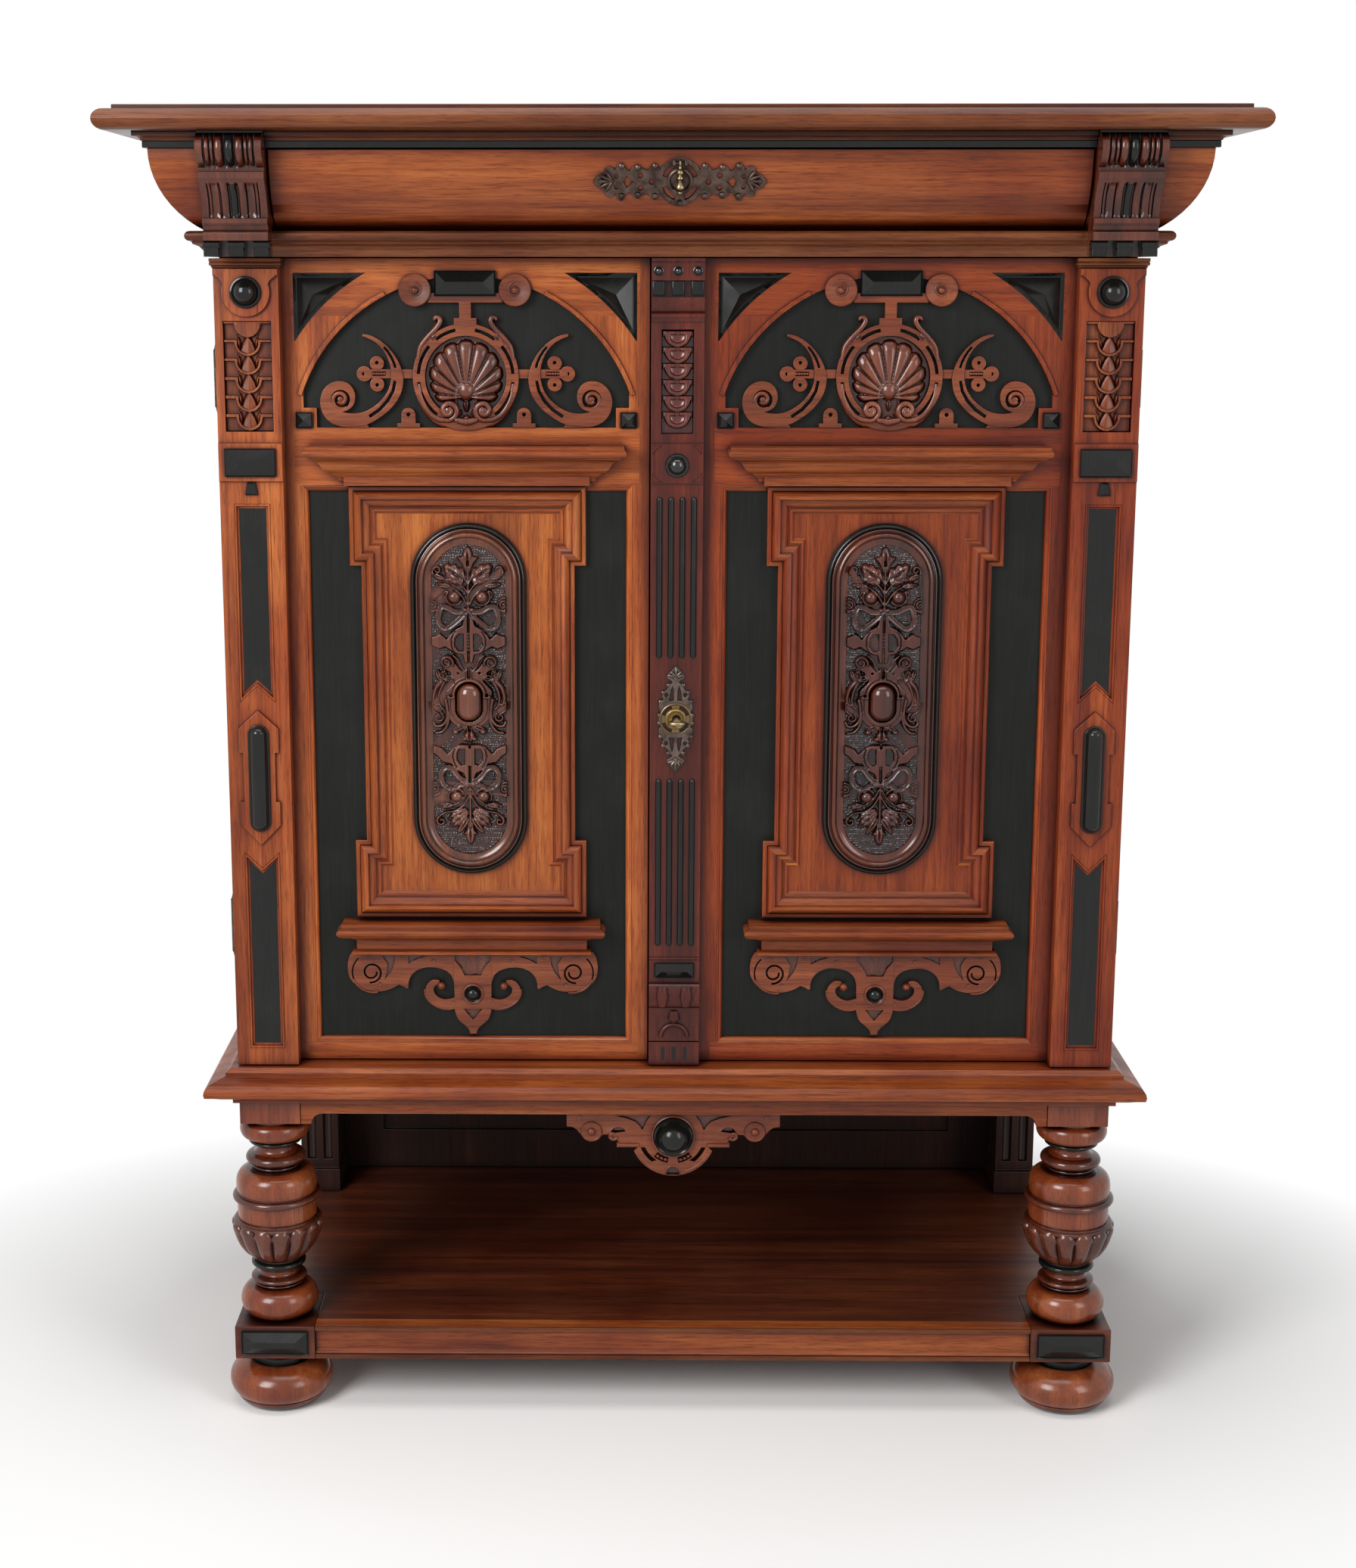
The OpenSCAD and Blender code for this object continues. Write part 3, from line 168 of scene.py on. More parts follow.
def hipped(name, x, z, w, h, front, rise, flat_w, flat_h):
    """A black block like a cut stone: an upright rim, sloping sides and a small flat or ridge."""
    rim = min(w, h) * 0.06
    corners_of = [(x + s * w / 2, dy(front), z + t * h / 2) for s, t in ((-1, -1), (1, -1), (1, 1), (-1, 1))]
    obj = drawn(name, corners_of, faces=[range(4)])
    edit(obj, "FACE")
    bpy.ops.mesh.select_all(action="SELECT")
    extruded(-rise * 0.4)
    done()
    side = dy(front) - rise * 0.4
    for inset, drop in ((rim, 0), (rim * 0.6, rise * 0.14)):
        select_where(obj, lambda p: all(abs(q.y - side) < 0.01 for q in p), "FACE")
        edit(obj, "FACE")
        bpy.ops.mesh.inset(thickness=inset * MM, depth=0)
        done()
        for v in obj.data.vertices:
            if v.select:
                v.co.y += drop * MM
        side += drop
    select_where(obj, lambda p: all(abs(q.y - side) < 0.01 for q in p), "FACE")
    edit(obj, "FACE")
    extruded(-rise * 0.72)
    bpy.ops.transform.resize(
        value=(flat_w / (w - 3.2 * rim), 1, flat_h / (h - 3.2 * rim)),
        center_override=Vector((x, dy(front), z)) * MM,
    )
    done()
    outward(obj)
    return obj


def spun(name, points, steps, centre, axis):
    """A line of points spun once round an axis."""
    obj = drawn(name, points, edges=[(k, k + 1) for k in range(len(points) - 1)])
    edit(obj, "VERT")
    bpy.ops.mesh.select_all(action="SELECT")
    bpy.ops.mesh.spin(steps=steps, angle=math.tau, center=Vector(centre) * MM, axis=axis)
    done()
    outward(obj, MERGE)
    return obj


def turned(name, profile, x, d, steps=64, black=(), lobes=None, dark=()):
    """Turned work: (radius, height) points spun about the vertical. black and dark list the heights of the second and
    third material, and lobes is (low, high, count, depth) of carved gadroons."""
    obj = spun(name, [(x + r, dy(d), z) for r, z in profile], steps, (x, dy(d), 0), (0, 0, 1))
    if lobes:
        low, high, count, deep = lobes
        for v in obj.data.vertices:
            z = v.co.z / MM
            if low < z < high:
                up = (z - low) / (high - low)
                share = math.sin(math.pi * min(up, 0.86) ** 0.8) ** 0.6
                turn = math.atan2(v.co.y - dy(d) * MM, v.co.x - x * MM)
                valley = 1 - abs(math.cos(turn * count / 2)) ** 0.6
                cut = 1 - deep * share * valley
                v.co.x = x * MM + (v.co.x - x * MM) * cut
                v.co.y = dy(d) * MM + (v.co.y - dy(d) * MM) * cut
                v.co.z -= 5.5 * MM * valley * max(0, up - 0.7) / 0.3
    for face in obj.data.polygons:
        height = face.center.z / MM
        slot_two, slot_three = (any(a < height < b for a, b in bands) for bands in (black, dark))
        face.material_index = 1 if slot_two else 2 if slot_three else 0
    return rounded(obj, 38)


def knob(name, profile, x, z, d, steps=40):
    """A turned boss that faces forwards: (radius, height) points from depth d."""
    obj = spun(name, [(x + r, dy(d) - h, z) for r, h in profile], steps, (x, 0, z), (0, 1, 0))
    return rounded(obj, 38)


def dome(r, base=0.0):
    """Profile of a ringed dome of radius r."""
    rim = [(r * 1.32, base), (r * 1.32, base + r * 0.1), (r * 1.22, base + r * 0.2), (r * 1.08, base + r * 0.12)]
    ball = [(r * math.cos(t), base + r * 0.1 + r * 0.85 * math.sin(t)) for t in np.linspace(0.0, math.pi / 2, 10)]
    return [(0, base)] + rim + ball[:-1] + [(0, base + r * 0.95)]


def corner_steps(path, closed):
    """For each corner of a flat path, its move for an offset of 1 mm to the path's left."""
    count = len(path)
    steps = []
    for k in range(count):
        normals = []
        for a, b in ((k - 1, k), (k, k + 1)):
            if closed or (a >= 0 and b < count):
                p, q = np.array(path[a % count], float), np.array(path[b % count], float)
                side = q - p
                side /= np.linalg.norm(side)
                normals.append(np.array([-side[1], side[0]]))
        mitre = sum(normals)
        if len(normals) == 2:
            mitre = mitre / (1 + float(normals[0] @ normals[1]))
        steps.append(mitre)
    return steps


def moulding(name, section, path, place, closed=True, angle=30):
    """Runs a moulding along a flat path with mitred corners. section is a closed list of (offset to the left, rise),
    and place turns (a, b, rise) into a point in mm."""
    steps = corner_steps(path, closed)
    points = []
    for corner, step in zip(path, steps):
        for off, rise in section:
            a, b = corner[0] + step[0] * off, corner[1] + step[1] * off
            points.append(place(a, b, rise))
    n, m = len(path), len(section)
    faces = []
    for k in range(n if closed else n - 1):
        j = (k + 1) % n
        for i in range(m):
            faces.append((k * m + i, j * m + i, j * m + (i + 1) % m, k * m + (i + 1) % m))
    if not closed:
        faces.append(range(m))
        faces.append(range((n - 1) * m, n * m))
    obj = drawn(name, points, faces=faces)
    # Level lengths take the second material, which has level grain
    for k in range(n if closed else n - 1):
        p, q = path[k], path[(k + 1) % n]
        for i in range(m):
            obj.data.polygons[k * m + i].material_index = int(abs(q[0] - p[0]) > abs(q[1] - p[1]))
    outward(obj)
    return rounded(obj, angle)


def bar(name, x0, x1, line, wall, angle=40):
    """A bar from x0 to x1 with one section: line lists (how far it stands out from depth wall, z)."""
    n = len(line)
    points = [(x, dy(wall) - out, z) for x in (x0, x1) for out, z in line]
    faces = [[k, (k + 1) % n, (k + 1) % n + n, k + n] for k in range(n)] + [range(n), range(n, 2 * n)]
    obj = drawn(name, points, faces=faces)
    outward(obj)
    return rounded(obj, angle)


def upright(front):
    """place for a moulding that lies on an upright face at depth front."""
    return lambda a, b, rise: (a, dy(front) - rise, b)


def level(a, b, rise):
    """place for a moulding that runs round a case: the rise is its height."""
    return (a, b, rise)


def fretwork(name, shapes, front, thick, edge=0.6):
    """Sawn strapwork: each shape is a list of outlines, of which the later ones are holes. Each shape lies a little in
    front of the one before."""
    made = []
    for k, loops in enumerate(shapes):
        curve = bpy.data.curves.new(name, "CURVE")
        curve.dimensions = "2D"
        curve.fill_mode = "BOTH"
        curve.extrude = (thick / 2 - edge) * MM
        curve.bevel_depth = edge * MM
        curve.bevel_resolution = 1
        curve.offset = -edge * MM
        for loop in loops:
            spline = curve.splines.new("POLY")
            spline.points.add(len(loop) - 1)
            for point, (x, z) in zip(spline.points, loop):
                point.co = (x * MM, z * MM, 0, 1)
            spline.use_cyclic_u = True
        obj = placed(name, curve)
        bpy.ops.object.convert(target="MESH")
        lift = Matrix.Translation((0, (dy(front) + thick / 2 - 0.15 * k) * MM, 0))
        obj.data.transform(lift @ Matrix.Rotation(math.pi / 2, 4, "X"))
        outward(obj, MERGE / 2)
        made.append(obj)
    return rounded(joined(name, made), 35)


def roll(name, path, radii, squash=1.0, resolution=3):
    """A carved roll or tendril of changing radius along points in mm, flattened from front to back."""
    curve = bpy.data.curves.new(name, "CURVE")
    curve.dimensions = "3D"
    curve.bevel_depth = MM
    curve.bevel_resolution = resolution
    curve.use_fill_caps = True
    spline = curve.splines.new("POLY")
    spline.points.add(len(path) - 1)
    for point, place, r in zip(spline.points, path, radii):
        point.co = (place[0] * MM, place[1] * MM, place[2] * MM, 1)
        point.radius = r
    obj = placed(name, curve)
    bpy.ops.object.convert(target="MESH")
    if squash != 1.0:
        back = path[0][1] * MM
        for v in obj.data.vertices:
            v.co.y = back + (v.co.y - back) * squash
    return rounded(obj, 60)


def ridge(name, line, depth, radius, squash=1.0):
    """A thin roll along a line of (x, z) on an upright face."""
    return roll(name, [(x, dy(depth), z) for x, z in line], [radius] * len(line), squash, resolution=2)


def relief(name, span, step, height, base):
    """Carving: a grid over span (x0, x1, z0, z1) whose points come forward of depth base by height(x, z)."""
    x0, x1, z0, z1 = span
    columns, rows = round((x1 - x0) / step), round((z1 - z0) / step)
    bpy.ops.object.select_all(action="DESELECT")
    bpy.ops.mesh.primitive_grid_add(x_subdivisions=columns, y_subdivisions=rows, size=1)
    obj = bpy.context.object
    obj.name = obj.data.name = name
    flat = np.empty(len(obj.data.vertices) * 3)
    obj.data.vertices.foreach_get("co", flat)
    flat = flat.reshape(-1, 3)
    x = x0 + (flat[:, 0] + 0.5) * (x1 - x0)
    z = z0 + (flat[:, 1] + 0.5) * (z1 - z0)
    rise = height(x, z)
    flat = np.stack([x, dy(base) - rise, z], axis=1) * MM
    obj.data.vertices.foreach_set("co", flat.ravel())
    # Points lower than 1.4 mm under the ground are left out
    hidden = np.flatnonzero(rise < -1.4)
    if len(hidden):
        work = bmesh.new()
        work.from_mesh(obj.data)
        work.verts.ensure_lookup_table()
        bmesh.ops.delete(work, geom=[work.verts[i] for i in hidden], context="VERTS")
        work.to_mesh(obj.data)
        work.free()
    edit(obj)
    bpy.ops.mesh.select_all(action="DESELECT")
    bpy.ops.mesh.select_non_manifold()
    extruded(1.2)
    bpy.ops.mesh.select_all(action="DESELECT")
    bpy.ops.mesh.select_non_manifold()
    bpy.ops.mesh.fill_holes(sides=0)
    done()
    pick(obj)
    bpy.ops.object.shade_smooth()
    return obj


# Heights of carving, in mm, for arrays of points


def to_line(x, z, path):
    """Distance to a polyline, and how far along it the nearest point lies, from 0 to 1."""
    best = np.full(x.shape, 1e9)
    along = np.zeros(x.shape)
    path = np.array(path, float)
    sides = np.linalg.norm(np.diff(path, axis=0), axis=1)
    total, run = sides.sum(), 0.0
    for (ax, az), (bx, bz), length in zip(path[:-1], path[1:], sides):
        if length < 1e-9:
            continue
        t = np.clip(((x - ax) * (bx - ax) + (z - az) * (bz - az)) / length**2, 0, 1)
        gap = np.hypot(x - ax - t * (bx - ax), z - az - t * (bz - az))
        near = gap < best
        best = np.where(near, gap, best)
        along = np.where(near, (run + t * length) / total, along)
        run += length
    return best, along


# Height of a shape in relief where the shape isn't: under every ground
UNDER = -9.0


def stem(x, z, path, r0, r1, rise):
    """A rounded stem that tapers from r0 to r1."""
    gap, along = to_line(x, z, path)
    r = r0 + (r1 - r0) * along
    return np.where(gap < r, rise * (r / max(r0, r1)) * np.sqrt(np.clip(1 - (gap / r) ** 2, 0, 1)), UNDER)


def dot(x, z, cx, cz, rx, rz, rise):
    t = ((x - cx) / rx) ** 2 + ((z - cz) / rz) ** 2
    return np.where(t < 1, rise * np.sqrt(np.clip(1 - t, 0, 1)), UNDER)


def inside(x, z, outline):
    """How far inside a closed outline a point lies, negative outside."""
    gap, _ = to_line(x, z, list(outline) + [outline[0]])
    odd = np.zeros(x.shape, bool)
    for (ax, az), (bx, bz) in zip(outline, list(outline[1:]) + [outline[0]]):
        if az != bz:
            cross = (az > z) != (bz > z)
            odd ^= cross & (x < (bx - ax) * (z - az) / (bz - az) + ax)
    return np.where(odd, gap, -gap)


def plate(depth_in, rise, slope=3.0):
    """A flat raised shape with steep sides."""
    return np.clip(depth_in * slope, UNDER, rise)


def leaf(x, z, foot, tip, width, rise, veins=5):
    """A carved leaf from its foot to its tip: crowned, with a sunk midrib and side veins."""
    fx, fz = foot
    length = math.hypot(tip[0] - fx, tip[1] - fz)
    ux, uz = (tip[0] - fx) / length, (tip[1] - fz) / length
    t = ((x - fx) * ux + (z - fz) * uz) / length
    s = (x - fx) * -uz + (z - fz) * ux
    shape = width * np.sin(math.pi * np.clip(t, 0, 1) ** 0.75) ** 0.8
    shape = shape * (1 + 0.14 * np.cos(t * veins * 2 * math.pi))
    u = np.abs(s) / np.maximum(shape, 1e-6)
    crown = np.sqrt(np.clip(1 - u**2, 0, 1)) * (0.45 + 0.55 * np.sin(math.pi * np.clip(t, 0, 1)))
    rib = 0.35 * np.exp(-((s / (width * 0.13)) ** 2))
    side = 0.12 * np.cos((t * veins - u * 0.6) * 2 * math.pi)
    return np.where((t > 0) & (t < 1) & (u < 1), rise * (crown - rib + side * crown), UNDER)


def curl(cx, cz, r0, r1, start, turns, count=26):
    """Points of a spiral that winds inwards from radius r0 to r1; start and turns are in degrees and turns."""
    points = []
    for k in range(count):
        t = k / (count - 1)
        a = math.radians(start + 360 * turns * t)
        r = r0 + (r1 - r0) * t**0.8
        points.append((cx + r * math.cos(a), cz + r * math.sin(a)))
    return points


def arc(cx, cz, r, start, end, count=12):
    return [
        (
            cx + r * math.cos(math.radians(start + (end - start) * k / (count - 1))),
            cz + r * math.sin(math.radians(start + (end - start) * k / (count - 1))),
        )
        for k in range(count)
    ]


def flowing(points, steps=4, closed=False):
    """A smooth curve through the points; a point given twice stays a corner."""
    count = len(points)
    out = []
    for k in range(count if closed else count - 1):
        near = [(k + j) % count if closed else min(max(k + j, 0), count - 1) for j in (-1, 0, 1, 2)]
        p = [np.array(points[i], float) for i in near]
        if np.allclose(p[1], p[2]):
            continue
        before = p[0] if not np.allclose(p[0], p[1]) else p[1] - (p[2] - p[1]) * 0.2
        after = p[3] if not np.allclose(p[3], p[2]) else p[2] + (p[2] - p[1]) * 0.2
        for j in range(steps):
            t = j / steps
            a = 2 * p[1] + (p[2] - before) * t
            b = (2 * before - 5 * p[1] + 4 * p[2] - after) * t**2
            c = (3 * p[1] - before - 3 * p[2] + after) * t**3
            out.append(tuple((a + b + c) / 2))
    if not closed:
        out.append(tuple(points[-1]))
    return out


def both_sides(half):
    """A closed outline from its right half, which starts and ends near x = 0."""
    left = [(-x, z) for x, z in reversed(half)]
    return half + [p for p in left if abs(p[0]) > 1e-6]


def strap(path, widths):
    """Outline of a band along a path; widths is one number or one for each point."""
    if not isinstance(widths, (list, tuple)):
        widths = [widths] * len(path)
    left, right = [], []
    for k, (x, z) in enumerate(path):
        ax, az = path[max(k - 1, 0)]
        bx, bz = path[min(k + 1, len(path) - 1)]
        length = math.hypot(bx - ax, bz - az) or 1
        nx, nz = -(bz - az) / length, (bx - ax) / length
        w = widths[k] / 2
        left.append((x + nx * w, z + nz * w))
        right.append((x - nx * w, z - nz * w))
    return left + right[::-1]


# Materials


def linear(code):
    """An sRGB hex colour as Blender's linear numbers."""
    values = [int(code[k : k + 2], 16) / 255 for k in (1, 3, 5)]
    return [v / 12.92 if v <= 0.04045 else ((v + 0.055) / 1.055) ** 2.4 for v in values] + [1.0]


def add(tree, kind, inputs=None, stops=(), **settings):
    """Adds a node; inputs gives each socket a value or the output that feeds it, stops a ramp's places and colours."""
    node = tree.nodes.new(kind)
    for key, value in settings.items():
        setattr(node, key, value)
    for key, value in (inputs or {}).items():
        if isinstance(value, bpy.types.NodeSocket):
            tree.links.new(value, node.inputs[key])
        else:
            node.inputs[key].default_value = value
    if stops:
        band = node.color_ramp
        while len(band.elements) < len(stops):
            band.elements.new(0.5)
        for element, (place, code) in zip(band.elements, stops):
            element.position = place
            element.color = linear(code)
    return node


def fresh(name):
    material = bpy.data.materials.new(name)
    material.use_nodes = True
    tree = material.node_tree
    return material, tree, tree.nodes["Principled BSDF"]


RANGE = ("Value", "From Min", "From Max", "To Min", "To Max")
WHITE = "#ffffff"


def tinted(tree, tone, *layers):
    """Lays tints over a colour. Each is (way, share, tint); a tint is one colour, or what drives it and its stops."""
    for way, share, tint in layers:
        if isinstance(tint, str):
            tint = linear(tint)
        else:
            tint = add(tree, "ShaderNodeValToRGB", {"Fac": tint[0]}, tint[1]).outputs["Color"]
        tone = add(tree, "ShaderNodeMix", {0: share, 6: tone, 7: tint}, data_type="RGBA", blend_type=way).outputs[2]
    return tone


def surfaced(tree, shader, tone, rough, height, strength, shine=None):
    """Joins a material's parts: its colour, its roughness (as in RANGE), the height and strength of its fine bumps."""
    tree.links.new(tone, shader.inputs["Base Color"])
    spread = add(tree, "ShaderNodeMapRange", dict(zip(RANGE, rough))).outputs["Result"]
    tree.links.new(spread, shader.inputs["Roughness"])
    bump = add(tree, "ShaderNodeBump", {"Height": height, "Strength": strength, "Distance": 0.0004})
    tree.links.new(bump.outputs["Normal"], shader.inputs["Normal"])
    if shine is not None:
        shader.inputs["IOR"].default_value = 1.5
        shader.inputs["Specular IOR Level"].default_value = shine


GRAIN = {"x": (0.04, 1, 1), "y": (1, 0.04, 1), "z": (1, 1, 0.04)}


def walnut(
    name, grain, dark, middle, light, gloss=0.34, carved=0.0, shift=0.0, shine=0.3, redder_shaded_right_half=False, wax_and_shade="#4a2a1e",
    streaky=0.8, ground=None
):
    """Stained and polished walnut: straight figure, fine streaks, open pores, and dark wax with painted shade in the
    corners and hollows.
    """
    material, tree, shader = fresh(name)
    place = add(tree, "ShaderNodeTexCoord").outputs["Object"]
    along = add(tree, "ShaderNodeMapping", {"Vector": place, "Location": [shift] * 3, "Scale": GRAIN[grain]})
    along = along.outputs["Vector"]
    # Bands of figure 20 to 50 mm wide, streaks 2 to 5 mm, pores (0.2 mm in the wood, 0.8 mm here, so that they show),
    # and a cloudy change of colour from board to board, 200 to 400 mm
    figure, streak, pore, cloud = (
        add(
            tree,
            "ShaderNodeTexNoise",
            {"Vector": where, "Scale": scale, "Detail": detail, "Roughness": rough, "Distortion": bent},
        ).outputs["Fac"]
        for where, scale, detail, rough, bent in (
            (along, 34, 5, 0.58, 0.45),
            (along, 270, 5, 0.62, 0.2),
            (along, 1150, 2, 0.5, 0),
            (place, 4.6, 3, 0.55, 0),
        )
    )
    stops = [(0.3, dark), (0.5, middle), (0.7, light)]
    tone = tinted(
        tree,
        add(tree, "ShaderNodeValToRGB", {"Fac": figure}, stops).outputs["Color"],
        ("MULTIPLY", streaky, (streak, [(0.3, "#a9765a"), (0.48, "#efe2d8"), (0.66, WHITE)])),
        ("MULTIPLY", 0.5, (pore, [(0.34, "#7a4c3a"), (0.46, WHITE)])),
        ("MULTIPLY", 0.75, (cloud, [(0.34, "#c99c86"), (0.56, WHITE)])),
    )
    across, depth, _ = add(tree, "ShaderNodeSeparateXYZ", {"Vector": place}).outputs
    if redder_shaded_right_half:
        # The right door is darker and redder: partly the redder wood of its log, partly painted shade for the light
        # that falls off towards the right
        right = add(tree, "ShaderNodeMath", {0: across, 1: DOOR_SPLIT * MM}, operation="GREATER_THAN").outputs[0]
        tone = tinted(tree, tone, ("MULTIPLY", right, "#d3b0a0"))
    if carved:
        # Painted shade: the hollows of the carving are darkened nearly to black, so that the high places look rubbed
        # lighter
        edge = add(tree, "ShaderNodeNewGeometry").outputs["Pointiness"]
        tone = tinted(tree, tone, ("MULTIPLY", carved, (edge, [(0.42, "#4a2a1e"), (0.49, "#d9c9c0"), (0.54, WHITE)])))
    if ground is not None:
        # Painted shade: the stippled ground of the carving, at this depth, is darker than the work above it
        span = (depth, dy(ground - 1.2) * MM, dy(ground - 3.6) * MM, 1.0, 0.0)
        low = add(tree, "ShaderNodeMapRange", dict(zip(RANGE, span))).outputs["Result"]
        tone = tinted(tree, tone, ("MULTIPLY", low, "#b5a096"))
    # Dark wax and painted shade: ambient occlusion darkens the corners, the hollows and the joints between parts
    # towards the darkest colour given for them
    corner = add(tree, "ShaderNodeAmbientOcclusion", {"Distance": 0.016}, samples=6).outputs["AO"]
    tone = tinted(tree, tone, ("MULTIPLY", 1.0, (corner, [(0.34, wax_and_shade), (0.66, "#bd9e90"), (0.92, WHITE)])))
    height = add(tree, "ShaderNodeMath", {0: pore, 1: streak}, operation="ADD").outputs[0]
    surfaced(tree, shader, tone, (figure, 0.25, 0.75, gloss + 0.08, gloss - 0.04), height, 0.07, shine)
    return material


def ebonised(name, sheen, shine, back=None):
    """Pearwood stained black and polished: faint grain, fine scratches, satin shine; plain behind the depth back."""
    material, tree, shader = fresh(name)
    place = add(tree, "ShaderNodeTexCoord").outputs["Object"]
    along = add(tree, "ShaderNodeMapping", {"Vector": place, "Scale": GRAIN["z"]}).outputs["Vector"]
    grain, haze, fleck = (
        add(
            tree, "ShaderNodeTexNoise", {"Vector": where, "Scale": scale, "Detail": detail, "Roughness": rough}
        ).outputs["Fac"]
        for where, scale, detail, rough in ((along, 420, 4, 0.6), (place, 14, 5, 0.6), (place, 210, 3, 0.7))
    )
    stops = [(0.3, "#0d0e0c"), (0.6, "#131412"), (0.8, "#1a1b19")]
    tone = tinted(
        tree,
        add(tree, "ShaderNodeValToRGB", {"Fac": grain}, stops).outputs["Color"],
        ("SCREEN", 0.3, (haze, [(0.5, "#000000"), (0.8, "#1c1d1c")])),
        ("SCREEN", 0.5, (fleck, [(0.74, "#000000"), (0.8, "#44423e")])),
    )
    if back is not None:
        depth = add(tree, "ShaderNodeSeparateXYZ", {"Vector": place}).outputs["Y"]
        plain = add(tree, "ShaderNodeMath", {0: depth, 1: dy(back) * MM}, operation="GREATER_THAN").outputs[0]
        tone = tinted(tree, tone, ("MIX", plain, (grain, [(0.3, "#5c3424"), (0.5, "#7a4a32"), (0.7, "#8f5d43")])))
    surfaced(tree, shader, tone, (haze, 0.3, 0.7, sheen - 0.05, sheen + 0.1), grain, 0.1, shine)
    return material


def patinated(name, dark, middle, metallic, rough, gilt=None):
    """Cast metal gone brown, rubbed and cloudy; gilt is (height, reach, colour) where old gilding still shows."""
    material, tree, shader = fresh(name)
    place = add(tree, "ShaderNodeTexCoord").outputs["Object"]
    cloud, grit = (
        add(
            tree, "ShaderNodeTexNoise", {"Vector": place, "Scale": scale, "Detail": detail, "Roughness": share}
        ).outputs["Fac"]
        for scale, detail, share in ((90, 5, 0.6), (900, 2, 0.5))
    )
    tone = add(tree, "ShaderNodeValToRGB", {"Fac": cloud}, [(0.35, dark), (0.65, middle)]).outputs["Color"]
    if gilt:
        height, reach, colour = gilt
        centre = {0: place, 1: (0, Y_FRONT * MM, height)}
        far = add(tree, "ShaderNodeVectorMath", centre, operation="DISTANCE").outputs["Value"]
        ragged = add(tree, "ShaderNodeMath", {0: cloud, 1: 0.02, 2: far}, operation="MULTIPLY_ADD").outputs[0]
        span = (ragged, reach, reach - 0.016, 0.0, 1.0)
        near = add(tree, "ShaderNodeMapRange", dict(zip(RANGE, span))).outputs["Result"]
        tone = tinted(tree, tone, ("MIX", near, colour))
    corner = add(tree, "ShaderNodeAmbientOcclusion", {"Distance": 0.006}, samples=6).outputs["AO"]
    tone = tinted(tree, tone, ("MULTIPLY", 1.0, (corner, [(0.3, "#3a332e"), (0.8, WHITE)])))
    shader.inputs["Metallic"].default_value = metallic
    surfaced(tree, shader, tone, (cloud, 0.3, 0.7, rough + 0.12, rough - 0.05), grit, 0.15)
    return material


# Name, grain, the dark, middle and light tone of the figure, gloss
FRAME_UP = walnut("walnut_upright_grain", "z", "#753613", "#a05526", "#ba713b", redder_shaded_right_half=True)
FRAME_ALONG = walnut("walnut_level_grain", "x", "#6a3114", "#8e4a22", "#a8622f", shift=1.3)
FRAME_BACK = walnut("walnut_grain_to_the_back", "y", "#6a3114", "#8e4a22", "#a8622f", shift=2.1)
MOULDED = walnut("walnut_dark_moulding", "x", "#4f2a14", "#6c3b1d", "#82502d", 0.26, shift=4.4, shine=0.27)
FIELD = walnut("walnut_bright_field", "z", "#7c3f19", "#9e5826", "#b87238", 0.3, shift=3.7, redder_shaded_right_half=True)
BRIGHT = walnut("walnut_bright_bead", "z", "#8a4319", "#b06029", "#c67a42", 0.28, shift=14.4, redder_shaded_right_half=True)
SAWN = walnut("walnut_fretwork", "x", "#592a16", "#7a3f22", "#935130", shift=8.4, shine=0.36)
STRIP = walnut("walnut_red_strip", "z", "#3c1610", "#521f15", "#6b2d1f", 0.28, shift=9.6)
STRIP_CARVED = walnut("walnut_red_strip_carved", "z", "#4a1c14", "#63281b", "#7d392a", 0.2, 0.6, 19.8, 0.5)
CARVED_LIGHT = walnut("walnut_carved_pilaster", "z", "#6a371c", "#8e502c", "#a8693e", 0.3, 0.5, 17.2, wax_and_shade="#6a4434")
INNER = walnut("walnut_inside", "x", "#5c3424", "#7a4a32", "#8f5d43", 0.55, shift=11.0, shine=0.2)
SHELF = walnut("walnut_dark_shelf", "x", "#3c1d14", "#552b1a", "#6f3b24", shift=12.5)
POST = walnut("walnut_dark_post", "z", "#21130f", "#2f1b16", "#3f261e", 0.4, shift=13.3, shine=0.24)
# The first key is the colour of dark wax and painted shade in the corners
WAXED_AND_SHADED, CLEAR = {"wax_and_shade": "#2e1610", "streaky": 0.5}, {"wax_and_shade": "#2e1610", "streaky": 0.4, "shine": 0.45}
CARVED = walnut("walnut_carved_dark", "z", "#4f2617", "#703a25", "#8a4f36", 0.2, 0.85, 7.1, 0.5, **WAXED_AND_SHADED)
TURNED = walnut("walnut_turned", "z", "#6c3318", "#844323", "#9a5630", 0.2, shift=5.2, **CLEAR)
POLISHED = walnut("walnut_dark_polished", "z", "#3f1f14", "#5c2f1f", "#75402c", 0.17, shift=15.7, **CLEAR)
